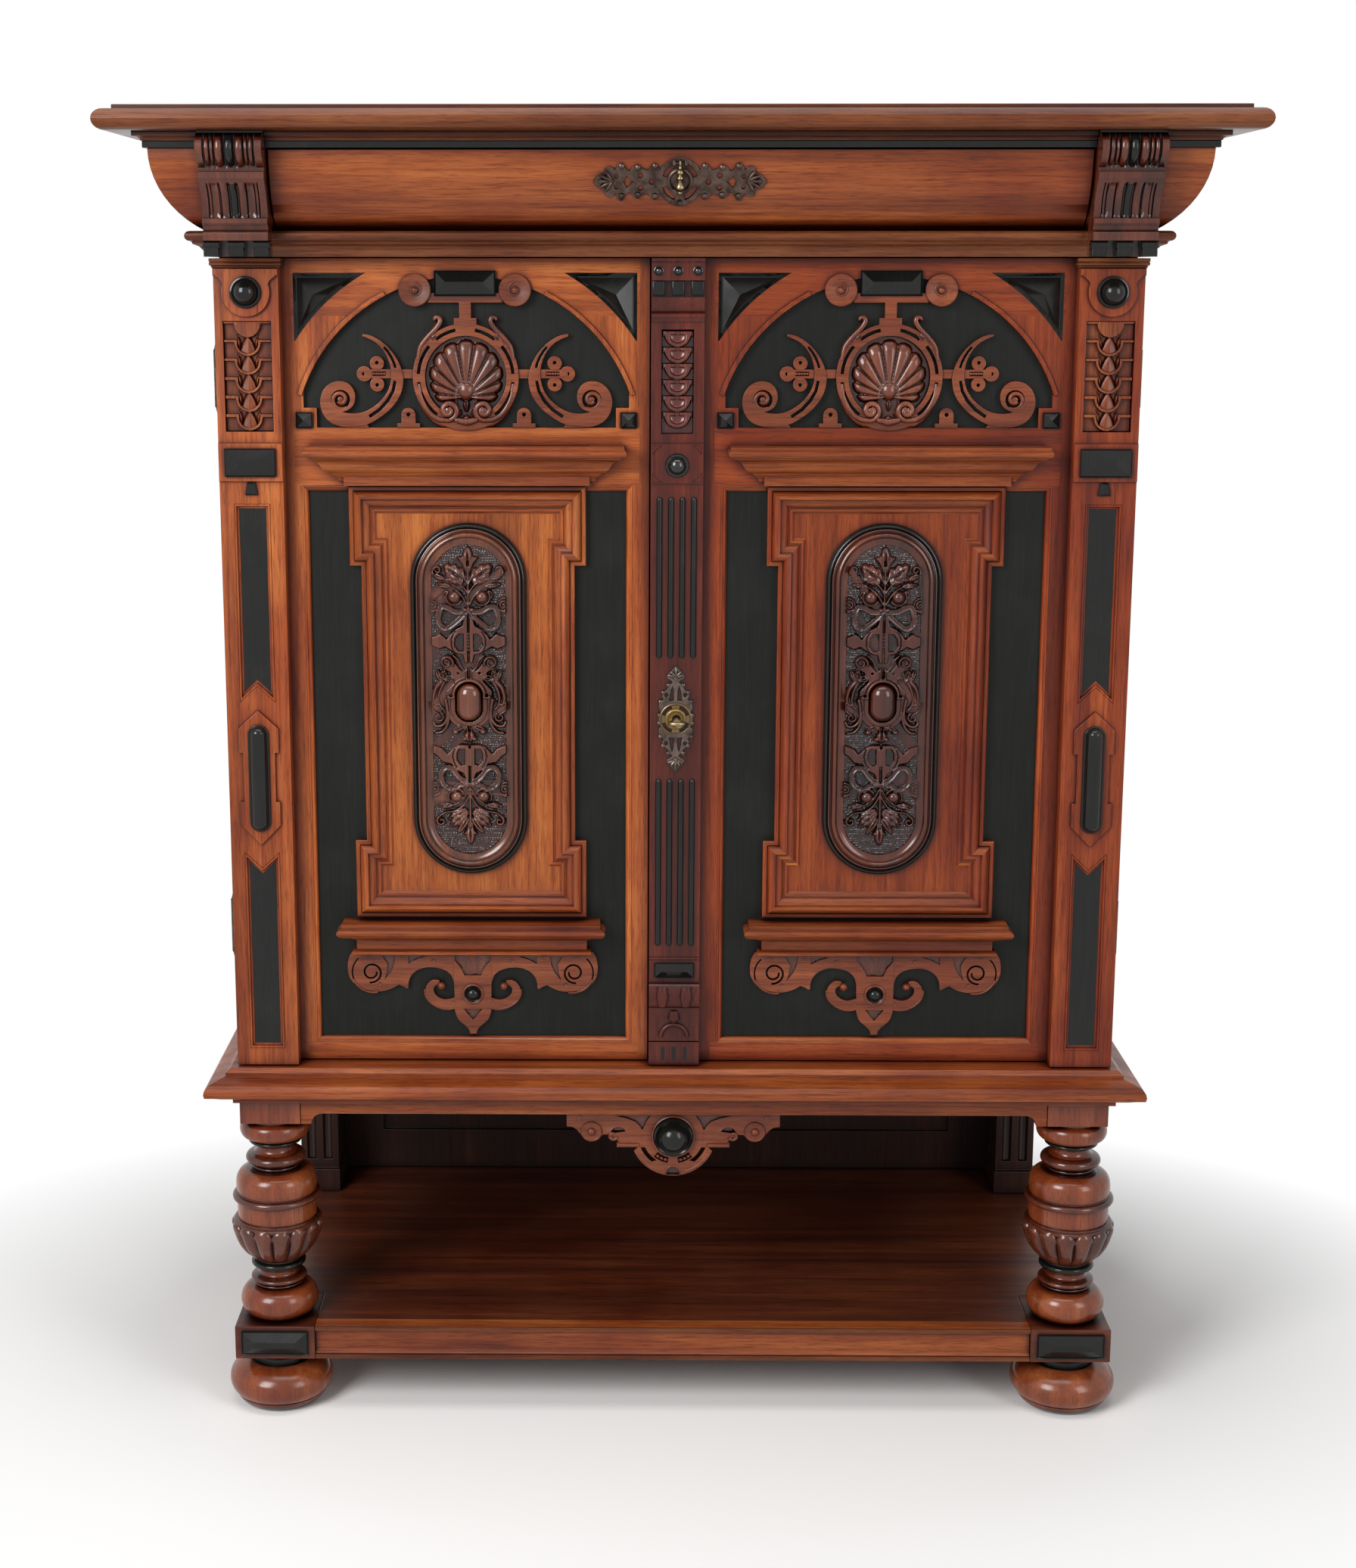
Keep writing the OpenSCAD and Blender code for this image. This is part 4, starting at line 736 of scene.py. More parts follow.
# Colour of dark wax and painted shade in the corners of the redder carved pieces
RED_WAX_AND_SHADE = "#2e1810"
RINGS = walnut("walnut_polished_ring", "z", "#46271a", "#653823", "#80492c", 0.16, 0, 6.1, 0.5, True, RED_WAX_AND_SHADE, 0.5)
OVAL_TONES = ("#45261a", "#633828", "#80503a")
OVAL_WOOD = walnut("walnut_carved_oval", "z", *OVAL_TONES, 0.14, 0.8, 7.1, 0.5, True, RED_WAX_AND_SHADE, 0.4, OVAL_GROUND)
BLACK = ebonised("ebonised_panel", 0.42, 0.24)
BLACK_GLOSS = ebonised("ebonised_polished_ball", 0.08, 0.55)
BLACK_DOOR = ebonised("ebonised_door_panel_plain_behind", 0.44, 0.17, back=38)
BLACK_SHINE = ebonised("ebonised_turned_and_cut", 0.13, 0.3)
IRON = patinated("cast_iron_brown_patina", "#382b26", "#5f4d44", 0.85, 0.3)
BRASS = patinated("brass_rubbed", "#6e5f47", "#a8946f", 1.0, 0.3)
GILT = patinated("cast_iron_with_worn_gilding", "#3f3732", "#6e6158", 0.9, 0.3, (KEY_Z * MM, 0.033, "#94773f"))


def clad(pieces, *materials):
    """Gives every piece the same row of materials, so that they can be joined."""
    for piece in pieces:
        for one in materials:
            piece.data.materials.append(one)


def two_woods(pieces, materials, second):
    """Clads the pieces before they are joined, with the second material on all faces of the pieces in second."""
    clad(pieces, *materials)
    for piece in pieces:
        for face in piece.data.polygons:
            face.material_index = int(piece in second)


def finish(name, pieces, body, material, slot, *nodes):
    """Joins the pieces, gives them their material and body, and hides the CAD nodes that they stand for."""
    obj = joined(name, pieces)
    for one in material if isinstance(material, tuple) else [material]:
        if one.name not in obj.data.materials:
            obj.data.materials.append(one)
    even = obj.modifiers.new("even", "WEIGHTED_NORMAL")
    even.keep_sharp = True
    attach(obj, body)
    if nodes:
        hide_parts(*nodes)
    return obj


def other_door(obj, name):
    """A copy of a right-hand piece for the left door, mirrored, with its own mesh."""
    pick(obj)
    bpy.ops.object.duplicate()
    twin = bpy.context.object
    twin.name = twin.data.name = name
    twin.data.transform(Matrix.Scale(-1, 4, (1, 0, 0)))
    twin.data.flip_normals()
    return twin


def for_both_doors(name, pieces, material, slot, node=None):
    """Fits pieces made for the right door to both doors."""
    obj = joined(name, pieces)
    twin = other_door(obj, "left_" + name)
    for side, one in (("right", obj), ("left", twin)):
        finish(f"{side}_{name}", [one], side + "_door", material, slot, *([f"{side}_{node}"] if node else []))


# Stage and camera


def lamp(name, place, aim, width, height, power):
    data = bpy.data.lights.new(name, "AREA")
    data.shape = "RECTANGLE"
    data.size, data.size_y, data.energy = width, height, power
    obj = placed(name, data)
    obj.location = place
    obj.rotation_euler = (Vector(aim) - Vector(place)).to_track_quat("-Z", "Y").to_euler()


def seen_straight(tree):
    """1 for a ray that the camera, a mirror or clear glass sends, which sees the studio white."""
    rays = add(tree, "ShaderNodeLightPath").outputs
    seen = rays["Is Camera Ray"]
    for kind in ("Is Glossy Ray", "Is Transmission Ray"):
        seen = add(tree, "ShaderNodeMath", {0: seen, 1: rays[kind]}, operation="MAXIMUM").outputs[0]
    return seen


def stage():
    """A white studio: floor, soft light from above and the left, and the photograph's camera."""
    scene = bpy.context.scene
    scene.view_settings.view_transform = "Standard"
    world = bpy.data.worlds.new("white_studio")
    world.use_nodes = True
    tree = world.node_tree
    background = tree.nodes["Background"]
    sky = {0: seen_straight(tree), 6: linear("#727272"), 7: linear(WHITE)}
    tree.links.new(add(tree, "ShaderNodeMix", sky, data_type="RGBA").outputs[2], background.inputs["Color"])
    scene.world = world
    material, tree, shader = fresh("white_paper_floor")
    shader.inputs["Base Color"].default_value = linear("#f7f6f5")
    shader.inputs["Roughness"].default_value = 0.7
    # Away from the object the paper runs out into the white of the studio
    place = add(tree, "ShaderNodeTexCoord").outputs["Object"]
    oval = add(tree, "ShaderNodeMapping", {"Vector": place, "Scale": (1 / 1.05, 1 / 0.75, 1)}).outputs["Vector"]
    reach = add(tree, "ShaderNodeVectorMath", {0: oval}, operation="LENGTH").outputs["Value"]
    far = add(tree, "ShaderNodeMapRange", dict(zip(RANGE, (reach, 0.7, 1.25, 0.0, 1.0)))).outputs["Result"]
    share = add(tree, "ShaderNodeMath", {0: far, 1: seen_straight(tree)}, operation="MULTIPLY").outputs[0]
    white = add(tree, "ShaderNodeEmission", {"Color": linear(WHITE), "Strength": 1.0})
    both = add(tree, "ShaderNodeMixShader", {0: share, 1: shader.outputs[0], 2: white.outputs[0]})
    tree.links.new(both.outputs[0], tree.nodes["Material Output"].inputs["Surface"])
    bpy.ops.object.select_all(action="DESELECT")
    bpy.ops.mesh.primitive_plane_add(size=14)
    floor = bpy.context.object
    floor.name = floor.data.name = "floor"
    floor.data.materials.append(material)
    lamp("key_softbox", (-2.2, -2.9, 2.5), (0, 0, 0.9), 1.5, 2.0, 135)
    lamp("fill_softbox", (2.5, -2.8, 1.9), (0, 0, 0.9), 1.2, 2.2, 42)
    lamp("top_softbox", (0, -0.8, 3.4), (0, 0, 0.6), 2.4, 1.4, 36)
    data = bpy.data.cameras.new("photo_camera")
    data.lens, data.sensor_width, data.shift_x, data.shift_y = 53.39, 36, 0.0469, -0.0296
    camera = placed("photo_camera", data)
    camera.location = (-0.0597, -3.0548, 1.4596)
    camera.rotation_euler = (math.pi / 2 - 0.1949, 0, 0.0101)
    scene.camera = camera


# Pieces kept from the construction: finish and eased edges only


def soften(node, material, width=1.0, segments=2):
    """Gives a CAD node its finish and eases its edges."""
    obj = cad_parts[node]
    for place in obj.material_slots:
        place.material = material
    weld = obj.modifiers.new("weld", "WELD")
    weld.merge_threshold = MERGE
    flat = obj.modifiers.new("flat", "DECIMATE")
    flat.decimate_type = "DISSOLVE"
    flat.angle_limit = math.radians(0.5)
    bevel = obj.modifiers.new("eased", "BEVEL")
    bevel.width = width * MM
    bevel.segments = segments
    bevel.limit_method = "ANGLE"
    bevel.angle_limit = math.radians(32)


def plain_pieces():
    for material, width, nodes in (
        (MOULDED, 0.8, "top_slab"),
        (MOULDED, 0.5, "cornice_moulding architrave"),
        (FRAME_ALONG, 0.5, "base_moulding frieze_ends"),
        (FRAME_ALONG, 0.8, "lower_rails front_apron"),
        (FRAME_ALONG, 1.0, "drawer_front"),
        (FRAME_UP, 1.0, "side_left side_right"),
        (FRAME_BACK, 0.8, "side_aprons"),
        (DOOR, 1.0, "left_door_frame right_door_frame"),
        (BLACK, 0.4, "side_panels"),
        (BLACK_DOOR, 0.4, "left_door_panels right_door_panels"),
        (BLACK_SHINE, 0.8, "cornice_ebony"),
        (SHELF, 0.8, "lower_shelf"),
        (SHELF, 1.2, "plinth_blocks"),
        (POST, 0.8, "lower_back_panel"),
        (POST, 1.5, "rear_posts"),
        (INNER, 0.3, "drawer_bottom"),
        (INNER, 0.5, "back_panel cupboard_bottom"),
        (INNER, 0.6, "inner_bearers"),
        (INNER, 0.8, "drawer_sides drawer_back"),
        (INNER, 1.0, "shelves"),
        (IRON, 0.25, "hinge_leaves left_hinges right_hinges"),
        (IRON, 0.3, "left_door_ironwork"),
        (IRON, 0.4, "top_bolt bottom_bolt lock_case"),
        (IRON, 0.5, "lock_bolt"),
    ):
        for node in nodes.split():
            soften(node, material, width)


# The stand


def corners(*points):
    """Doubles each point, so that flowing() keeps it as a corner."""
    return [p for p in points for _ in (0, 1)]


FOOT = (
    [(0, 0)]
    + flowing(
        corners((46, 0))
        + [(53, 3), (58.4, 9)]
        + corners((59.6, 12.6), (58, 13.8), (61.8, 15))
        + [(66, 21.5), (67.8, 30), (66.2, 39.5), (60.4, 48), (52, 54)]
        + corners((42, 57.4), (36.4, 58.4), (36.4, 66))
        + [(38.5, 71)]
        + corners((43, 75)),
    )
    + [(0, 75)]
)

BALUSTER = (
    [(0, 120)]
    + flowing(
        corners((37, 120))
        + [(44, 124.5), (49, 133), (50.4, 142), (48, 151.5), (42, 158.5)]
        + corners((33.5, 161), (30.5, 162))
        + [(32.6, 163.6), (32.6, 165.4)]
        + corners((30.6, 166.8))
        + [(34.6, 168.4), (36.4, 171), (35, 173.8)]
        + corners((30, 175.4))
        + [(26, 177), (25, 181), (26, 185)]
        + corners((29, 187.4))
        + [(34.4, 189.2), (35.6, 192), (34.4, 195)]
        + corners((29.5, 196.6), (29.5, 198))
        + [(36, 202), (43.5, 208.5), (50, 217.5), (54.6, 227), (57.6, 236), (59.6, 243), (60, 247.5), (58, 251.5)]
        + corners((55.4, 253.6), (54, 254.2), (54, 256.6), (51.4, 257), (51.4, 280))
        + [(55.8, 281.6), (57.4, 285), (55.8, 288.4)]
        + corners((52, 289.8), (52.6, 290.4), (52.6, 291.4), (51.6, 291.8))
        + [(52.4, 299), (52.2, 306), (50.4, 313), (46, 318.6)]
        + corners((38, 322.4), (30, 323.6))
        + [(31.2, 325), (31.2, 327)]
        + corners((29.4, 328.6), (30.4, 330.2))
        + [(36, 331.8), (38.6, 335.2), (38.4, 339), (35.6, 342.2)]
        + corners((28.6, 344))
        + [(25.4, 347), (24.2, 351), (25, 355)]
        + corners((28, 357))
        + [(33.2, 358.4), (34.4, 360.6), (33.2, 362.6)]
        + corners((30, 364), (35, 364.8))
        + [(41.4, 367.6), (44.8, 373), (45.2, 379.5), (42.8, 386)]
        + corners((36.5, 390.4), (36.5, 393)),
    )
    + [(0, 393)]
)


# Heights of the black and of the dark bands of a baluster, and its gadroons
BLACK_BANDS = (187.4, 196.8), (357, 364.4)
DARK_BANDS = (161, 176), (197, 257.5), (280, 291.9), (322.4, 344.2)
GADROONS = (199, 252, 14, 0.13)
PENDANT_Z = 378


def stand():
    feet = [turned("foot", FOOT, x, d, 72, ((57.6, 75),)) for x in (-LEG_X, LEG_X) for d in (LEG_D, REAR_D)]
    clad(feet, TURNED, BLACK_SHINE)
    finish("bun_feet_turned", feet, "case", (TURNED, BLACK_SHINE), "walnut", "bun_feet")
    woods = (TURNED, BLACK_SHINE, POLISHED)
    for side, x in (("left", -LEG_X), ("right", LEG_X)):
        post = turned("post", BALUSTER, x, LEG_D, 140, BLACK_BANDS, GADROONS, DARK_BANDS)
        block = board("block", box(x - LEG_D, 393, x + LEG_D, 424), 0, 2 * LEG_D, 1.6)
        clad([post, block], *woods)
        finish("baluster_turned_" + side, [post, block], "case", woods, "walnut", "baluster_" + side)
    mounts = [hipped("pad", x, 97.5, 86, 32, -13, 9, 52, 7) for x in (-LEG_X, LEG_X)]
    mounts.append(knob("pip", dome(19), 0, PENDANT_Z, -2))
    finish("stand_black_mounts", mounts, "case", BLACK_SHINE, "ebonised", "stand_ebony_mounts")
    pendant()


def circle(x, z, r, count=40):
    return arc(x, z, r, 0, 360 * (count - 1) / count, count)


def box(x0, z0, x1, z1):
    return [(x0, z0), (x1, z0), (x1, z1), (x0, z1)]


def flipped(loop):
    return [(-x, z) for x, z in reversed(loop)]


def pendant():
    """The sawn and carved ornament under the front apron."""
    wing = (
        [(20, 407), (137, 407), (137, 390), (129, 389), (124, 385.5)]
        + arc(105, 383.5, 14, -20, -150, 12)
        + [(90, 379), (85, 379)]
        + arc(70.5, 379, 11.6, 160, -20, 14)
        + arc(66.5, 374.5, 6.4, 10, -120, 8)
        + [(72.6, 369), (72.6, 362), (35, 362), (20, 362)]
    )
    notch = [(74, 404.6), (26, 404.6), (31, 398), (40, 386), (42.6, 391), (48, 396.6), (60, 401.6)]
    body = circle(0, PENDANT_Z, 39.5, 60)
    bead_slots = []
    for s in (-1, 1):
        a, b = -90 + s * 11, -90 + s * 41
        bead_slots.append(arc(0, PENDANT_Z, 37.4, a, b, 10) + arc(0, PENDANT_Z, 29.8, b, a, 10))
    crescent = (
        arc(0, PENDANT_Z, 54.5, -158, -22, 40)
        + [(47, 361), (43, 366)]
        + arc(0, PENDANT_Z, 44.5, -24, -52, 8)
        + arc(0, PENDANT_Z, 39, -58, -122, 12)
        + arc(0, PENDANT_Z, 44.5, -128, -156, 8)
        + [(-43, 366), (-47, 361)]
    )
    arch = arc(0, 327.4, 8.2, 0, 180, 12) + [(-8.2, 325.2), (8.2, 325.2)]
    scroll = curl(77.5, PENDANT_Z, 6.4, 2.4, 200, 0.8, 16)
    shapes = [[wing, notch], [flipped(wing), flipped(notch)], [crescent, arch], [body] + bead_slots]
    base = fretwork("pendant_board", shapes, 4, 14, 0.9)
    # Backing boards behind the notches, the bead slots and the arch; their dark polished finish is painted shade in
    # these recesses
    back = [board("notch_back", [(s * x, z) for x, z in box(24, 384, 76, 407)][::s], 7.5, 8, 0) for s in (-1, 1)]
    back.append(board("bead_back", arc(0, PENDANT_Z, 38.4, -135, -45, 24) + arc(0, PENDANT_Z, 28.8, -45, -135, 24), 7,
        8, 0))
    back.append(board("arch_back", box(-11, 324.6, 11, 338.4), 8, 8, 0))
    rings = back + [ridge("crescent_line", arc(0, 327.4, 9.6, 0, 180, 16), 4.2, 1.3)]
    rings.append(knob("ring", [(24.6, 0), (24.6, 2.4), (26, 3.2), (27.6, 2.2), (28, 0)], 0, PENDANT_Z, 4, 72))
    for s in (-1, 1):
        disc = [(0, 0), (13.2, 0), (13.2, 1.6), (12.4, 2.4), (9, 1.0), (5.4, 1.2), (4.4, 3.2), (2.4, 4.6), (0, 5)]
        rings.append(knob("disc", disc, s * 105, 383.5, 4.1, 44))
        rings.append(knob("plug", [(0, 0), (3.8, 0), (3.8, 0.8), (3.2, 1.2), (0, 1.2)], s * 120.5, 401, 4.1, 20))
        for k in range(3):
            a = math.radians(-90 + s * (17 + 9.2 * k))
            bead = [(0, 0), (3.0, 0), (2.6, 3), (1.4, 4.4), (0, 4.8)]
            rings.append(knob("bead", bead, 33.6 * math.cos(a), PENDANT_Z + 33.6 * math.sin(a), 7.0, 16))
        rings.append(ridge("scroll", [(s * x, z) for x, z in scroll], 4.2, 2.2, 0.8))
        rings.append(ridge("wing_rail", [(s * 44, 365.4), (s * 72, 365.4)], 4, 2.4, 0.8))
        rings.append(ridge("rim", arc(0, PENDANT_Z, 51.5, -90 + s * 64, -90 + s * 18, 20), 4.6, 2.2, 0.7))
    # The backing boards take the dark finish as painted shade behind the openings
    two_woods([base] + rings, (SAWN, POLISHED), back)
    finish("apron_pendant_carved", [base] + rings, "case", (SAWN, POLISHED), "walnut", "apron_pendant")


def shelf_edge():
    """Fillets along the top and foot of the open shelf's front edge, between the plinth blocks."""
    low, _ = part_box("lower_rails")
    top_low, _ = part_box("lower_shelf")
    front = min(low[1], top_low[1]) / MM
    path = [(465.5, front), (-465.5, front)]
    strips = [
        moulding("strip", [(0, z0), (2.4, z0), (2.4, z1), (0, z1)], path, level, closed=False)
        for z0, z1 in ((75.6, 81.5), (114.5, 119.8))
    ]
    finish("shelf_edge_fillets", strips, "case", MOULDED, "walnut")


# The case


def corbel_line():
    """Side view of a corbel's front from the foot up: (depth, z)."""
    return flowing(
        corners((-48, 1485), (-48, 1503), (-64, 1503), (-64, 1509))
        + [(-63.5, 1512)]
        + corners((-60, 1515))
        + [(-62, 1519)]
        + corners((-66, 1523), (-66, 1528), (-61.5, 1529))
        + [(-62.5, 1536), (-65, 1545), (-69, 1554), (-75, 1562)]
        + corners((-80, 1568), (-85, 1573), (-85, 1580), (-81, 1581), (-81, 1585))
        + [(-86, 1588), (-94, 1594), (-99, 1602), (-99.8, 1609), (-97, 1617)]
        + corners((-90, 1622.5), (-84, 1624), (-84, 1626)),
        steps=3,
    )


# Reeds and fillets across a corbel: (centre, half width, how far it stays below the face), upper tier and lower tier
UPPER_REEDS = ((0, 5.2, 0), (11.6, 5.0, 0), (19.6, 1.8, 1.2), (25.4, 2.6, 0.6))
LOWER_REEDS = ((0, 4.0, 0), (10.6, 5.4, 0), (27.4, 2.0, 0.8))


def reeded(x, z):
    """How deep a corbel's face is cut at x, counted from its middle, and whether that place is black."""
    across = abs(x)
    if 1585.5 < z < 1621.5 and across < 30:
        low, high, reeds, floor = 1585.5, 1621.5, UPPER_REEDS, 6.8
    elif 1529.3 < z < 1567 and across < 30:
        low, high, reeds, floor = 1529.3, 1567, LOWER_REEDS, 3.6
    else:
        return 0, 0
    cut, black, nearest = floor, 1 if across < (6.4 if reeds is UPPER_REEDS else 4.9) else 0, 99
    if reeds is LOWER_REEDS and 17 < across < 25:
        cut = 0.6 + 1.4 * math.sin(math.pi * (across - 17) / 8)
    for centre, half, lower in reeds:
        off = abs(across - centre)
        if off < half:
            cut = min(floor, lower + half * 0.85 * (1 - math.sqrt(1 - (off / half) ** 2)))
            nearest = half
    end = min(1, (z - low) / 5) ** 0.5
    top = min(1, (high - z) / 4) ** 0.5
    return cut * end * top if nearest == 99 else cut * top + (1 - end) * 0.5, black


def corbel(x):
    line = corbel_line()
    marks = [-38, 38]
    for centre, wide, _ in UPPER_REEDS + LOWER_REEDS:
        for o in (0, wide * 0.3, wide * 0.6, wide * 0.85, wide - 0.1, wide + 0.2):
            marks += [centre + o, centre - o, -centre - o, -centre + o]
    marks += [s * m for s in (-1, 1) for m in (4.85, 4.95, 6.35, 6.45, 16.9, 17.1, 17, 20, 23, 25, 29.9, 30.1)]
    across = []
    for m in sorted(marks):
        if not across or m - across[-1] > 0.09:
            across.append(m)
    points, faces, blacks = [], [], []
    for k, (d, z) in enumerate(line):
        ad, az = line[max(k - 1, 0)]
        bd, bz = line[min(k + 1, len(line) - 1)]
        length = math.hypot(bd - ad, bz - az) or 1
        nd, nz = (bz - az) / length, -(bd - ad) / length
        for u in across:
            cut, _ = reeded(u, z)
            points.append((x + u, dy(d + nd * cut), z + nz * cut))
    m = len(across)
    for k in range(len(line) - 1):
        for i in range(m - 1):
            faces.append((k * m + i, k * m + i + 1, (k + 1) * m + i + 1, (k + 1) * m + i))
            blacks.append(reeded((across[i] + across[i + 1]) / 2, (line[k][1] + line[k + 1][1]) / 2)[1])
    back = [(-30, 1626), (-30, 1485)]
    for i in (0, m - 1):
        start = len(points)
        points += [(x + across[i], dy(d), z) for d, z in back]
        faces.append([k * m + i for k in range(len(line))] + [start, start + 1])
        blacks.append(0)
    obj = drawn("corbel", points, faces=faces)
    for face, black in zip(obj.data.polygons, blacks):
        face.material_index = black
    outward(obj, MERGE / 2)
    return rounded(obj, 40)


def ovolo_block(name, x, wide, low, high, wall, out):
    """A small block whose front swells near the top and steps back below."""
    mid = low + (high - low) * 0.42
    line = [(0, high), (out * 0.9, high)] + arc(out * 0.42, (mid + high) / 2 + 0.6, (high - mid) / 2, 65, -75, 9)
    line[2:] = [(max(o, out * 0.55) + (out * 0.2 if 0 < k < 7 else 0), h) for k, (o, h) in enumerate(line[2:])]
    line += [(out * 0.66, mid), (out * 0.66, low + 1), (out * 0.6, low), (0, low)]
    return bar(name, x - wide / 2, x + wide / 2, line, wall)


def case_trim():
    places = (-PILASTER_X, PILASTER_X)
    corbels = [corbel(x) for x in places]
    clad(corbels, POLISHED, BLACK_SHINE)
    teeth = [ovolo_block("tooth", x + k * 29.5, 19, 1484.6, 1503, -48, 13.5) for x in places for k in (-1, 0, 1)]
    finish("corbel_teeth", teeth, "case", BLACK_SHINE, "ebonised")
    finish("corbels_carved", corbels, "case", (POLISHED, BLACK_SHINE), "walnut_dark", "corbels")


def frieze_y(z):
    """Depth of the frieze's curved face at a height."""
    radius = 106.13
    return radius - 61 - math.sqrt(max(radius**2 - (Z_BAND - z) ** 2, 0))


def drawer_fittings():
    """Pierced iron plate bent to the drawer's curve, and its drop pull."""
    z = 1569.9
    half = (
        [(0, z + 27), (6, z + 26.5)]
        + arc(0, z, 26.5, 66, 28, 8)
        + [(25, z + 17), (29, z + 20), (34, z + 17), (37, z + 13), (44, z + 15), (49, z + 19), (55, z + 16)]
        + [(58, z + 12), (63, z + 14), (67, z + 21), (72, z + 20), (75, z + 13), (80, z + 17), (86, z + 16),
            (88, z + 9)]
        + [(94, z + 8), (100, z + 1)]
    )
    half = flowing(half + [(x, 2 * z - h) for x, h in reversed(half)], 3)
    slots = []
    for turn in (45, 135, 225, 315):
        slots.append(arc(0, z, 21.5, turn - 28, turn + 28, 8) + arc(0, z, 16.5, turn + 28, turn - 28, 8))
    for s in (-1, 1):
        slots.append(circle(s * 33, z, 3.4, 14))
        slots.append(circle(s * 46, z + 7, 3.2, 14))
        slots.append(circle(s * 46, z - 7, 3.2, 14))
        slots.append([(s * 54, z), (s * 62, z + 7), (s * 66, z), (s * 62, z - 7)])
        slots.append(circle(s * 74, z + 6, 2.6, 14))
        slots.append(circle(s * 74, z - 6, 2.6, 14))
    plate_shape = fretwork("plate", [[both_sides(half)] + slots], 0, 2.2, 0.5)
    edit(plate_shape, "FACE")
    # Cut across, so that it can be bent
    for k in range(-6, 7):
        bpy.ops.mesh.select_all(action="SELECT")
        bpy.ops.mesh.bisect(plane_co=(0, 0, (z + 4.2 * k) * MM), plane_no=(0, 0, 1))
    done()
    ring = knob("ring", [(11, 0), (11, 3.4), (12.5, 4.2), (14.5, 3.4), (15, 1.2), (15, 0)], 0, z, 0, 48)
    rivet = [(0, 0), (2.6, 0), (2.2, 1.4), (0, 2)]
    heads = [knob("rivet", rivet, x, z + up, -1.4, 16) for x, up in ((-92, 0), (92, 0), (0, -24), (0, 0))]
    ball = [(0, 0), (3.4, 0), (3, 2), (1.4, 3), (0, 3.2)]
    rows = [(s * x, t * up) for s in (-1, 1) for x, up in ((29, 17), (49, 15.5), (68, 17)) for t in (1, -1)]
    edges = [knob("ball", ball, x, z + up, -0.4, 16) for x, up in rows]
    fitting = joined("plate", [plate_shape, ring] + heads + edges + [palmette(s, z) for s in (-1, 1)])
    for v in fitting.data.vertices:
        v.co.y += (frieze_y(v.co.z / MM) - 2.2) * MM
    lugs = [board("lug", box(s * 7 - 1.5, 1587.3, s * 7 + 1.5, 1593.3), -71, 13, 0.6) for s in (-1, 1)]
    bpy.ops.object.select_all(action="DESELECT")
    bpy.ops.mesh.primitive_cylinder_add(vertices=16, radius=0.0015, depth=0.016, rotation=(0, math.pi / 2, 0))
    pin = bpy.context.object
    bpy.ops.object.transform_apply(location=True, rotation=True, scale=True)
    hung = Matrix.Translation((0, dy(-68) * MM, 1590.33 * MM))
    pin.data.transform(hung)
    finish("drawer_plate_pierced", [fitting, pin] + lugs, "drawer", IRON, "iron", "drawer_plate")
    drop = turned(
        "drop",
        [(0, 1554.3)]
        + flowing(
            corners((1.4, 1554.3))
            + [(2.8, 1555.6), (2.9, 1557.4)]
            + corners((1.6, 1558.8))
            + [(4.6, 1560.6), (5.4, 1563), (4.6, 1566), (3, 1569.4)]
            + corners((2.2, 1571), (3.9, 1572), (3.9, 1574.2), (2, 1575.2), (2, 1576.4))
            + [(3.7, 1578), (4, 1580), (3.4, 1582)]
            + corners((2, 1583.6), (2, 1587)),
        )
        + [(0, 1587)],
        0,
        -68,
        28,
    )
    bpy.ops.object.select_all(action="DESELECT")
    sizes = {"major_radius": 0.0033, "minor_radius": 0.0016, "major_segments": 24, "minor_segments": 10}
    bpy.ops.mesh.primitive_torus_add(rotation=(0, math.pi / 2, 0), **sizes)
    eye = bpy.context.object
    bpy.ops.object.transform_apply(location=True, rotation=True, scale=True)
    eye.data.transform(hung)
    rounded(eye, 60)
    finish("drawer_drop_pull", [drop, eye], "drop_pull", BRASS, "brass", "drawer_pull")


def palmette(s, z):
    """Five cast lobes on one end of the drawer plate."""
    lobes = []
    for k in range(5):
        a = math.radians(-64 + 32 * k)
        out, up = s * (2 + 15 * math.cos(a)), 12.5 * math.sin(a)
        path = [(s * 78 + t * out, dy(d), z + t * up) for t, d in ((0, -1.2), (0.6, -2), (1, -1.2))]
        lobes.append(roll("lobe", path, [1.0, 2.3, 1.2], resolution=2))
    return joined("palmette", lobes)


# The doors


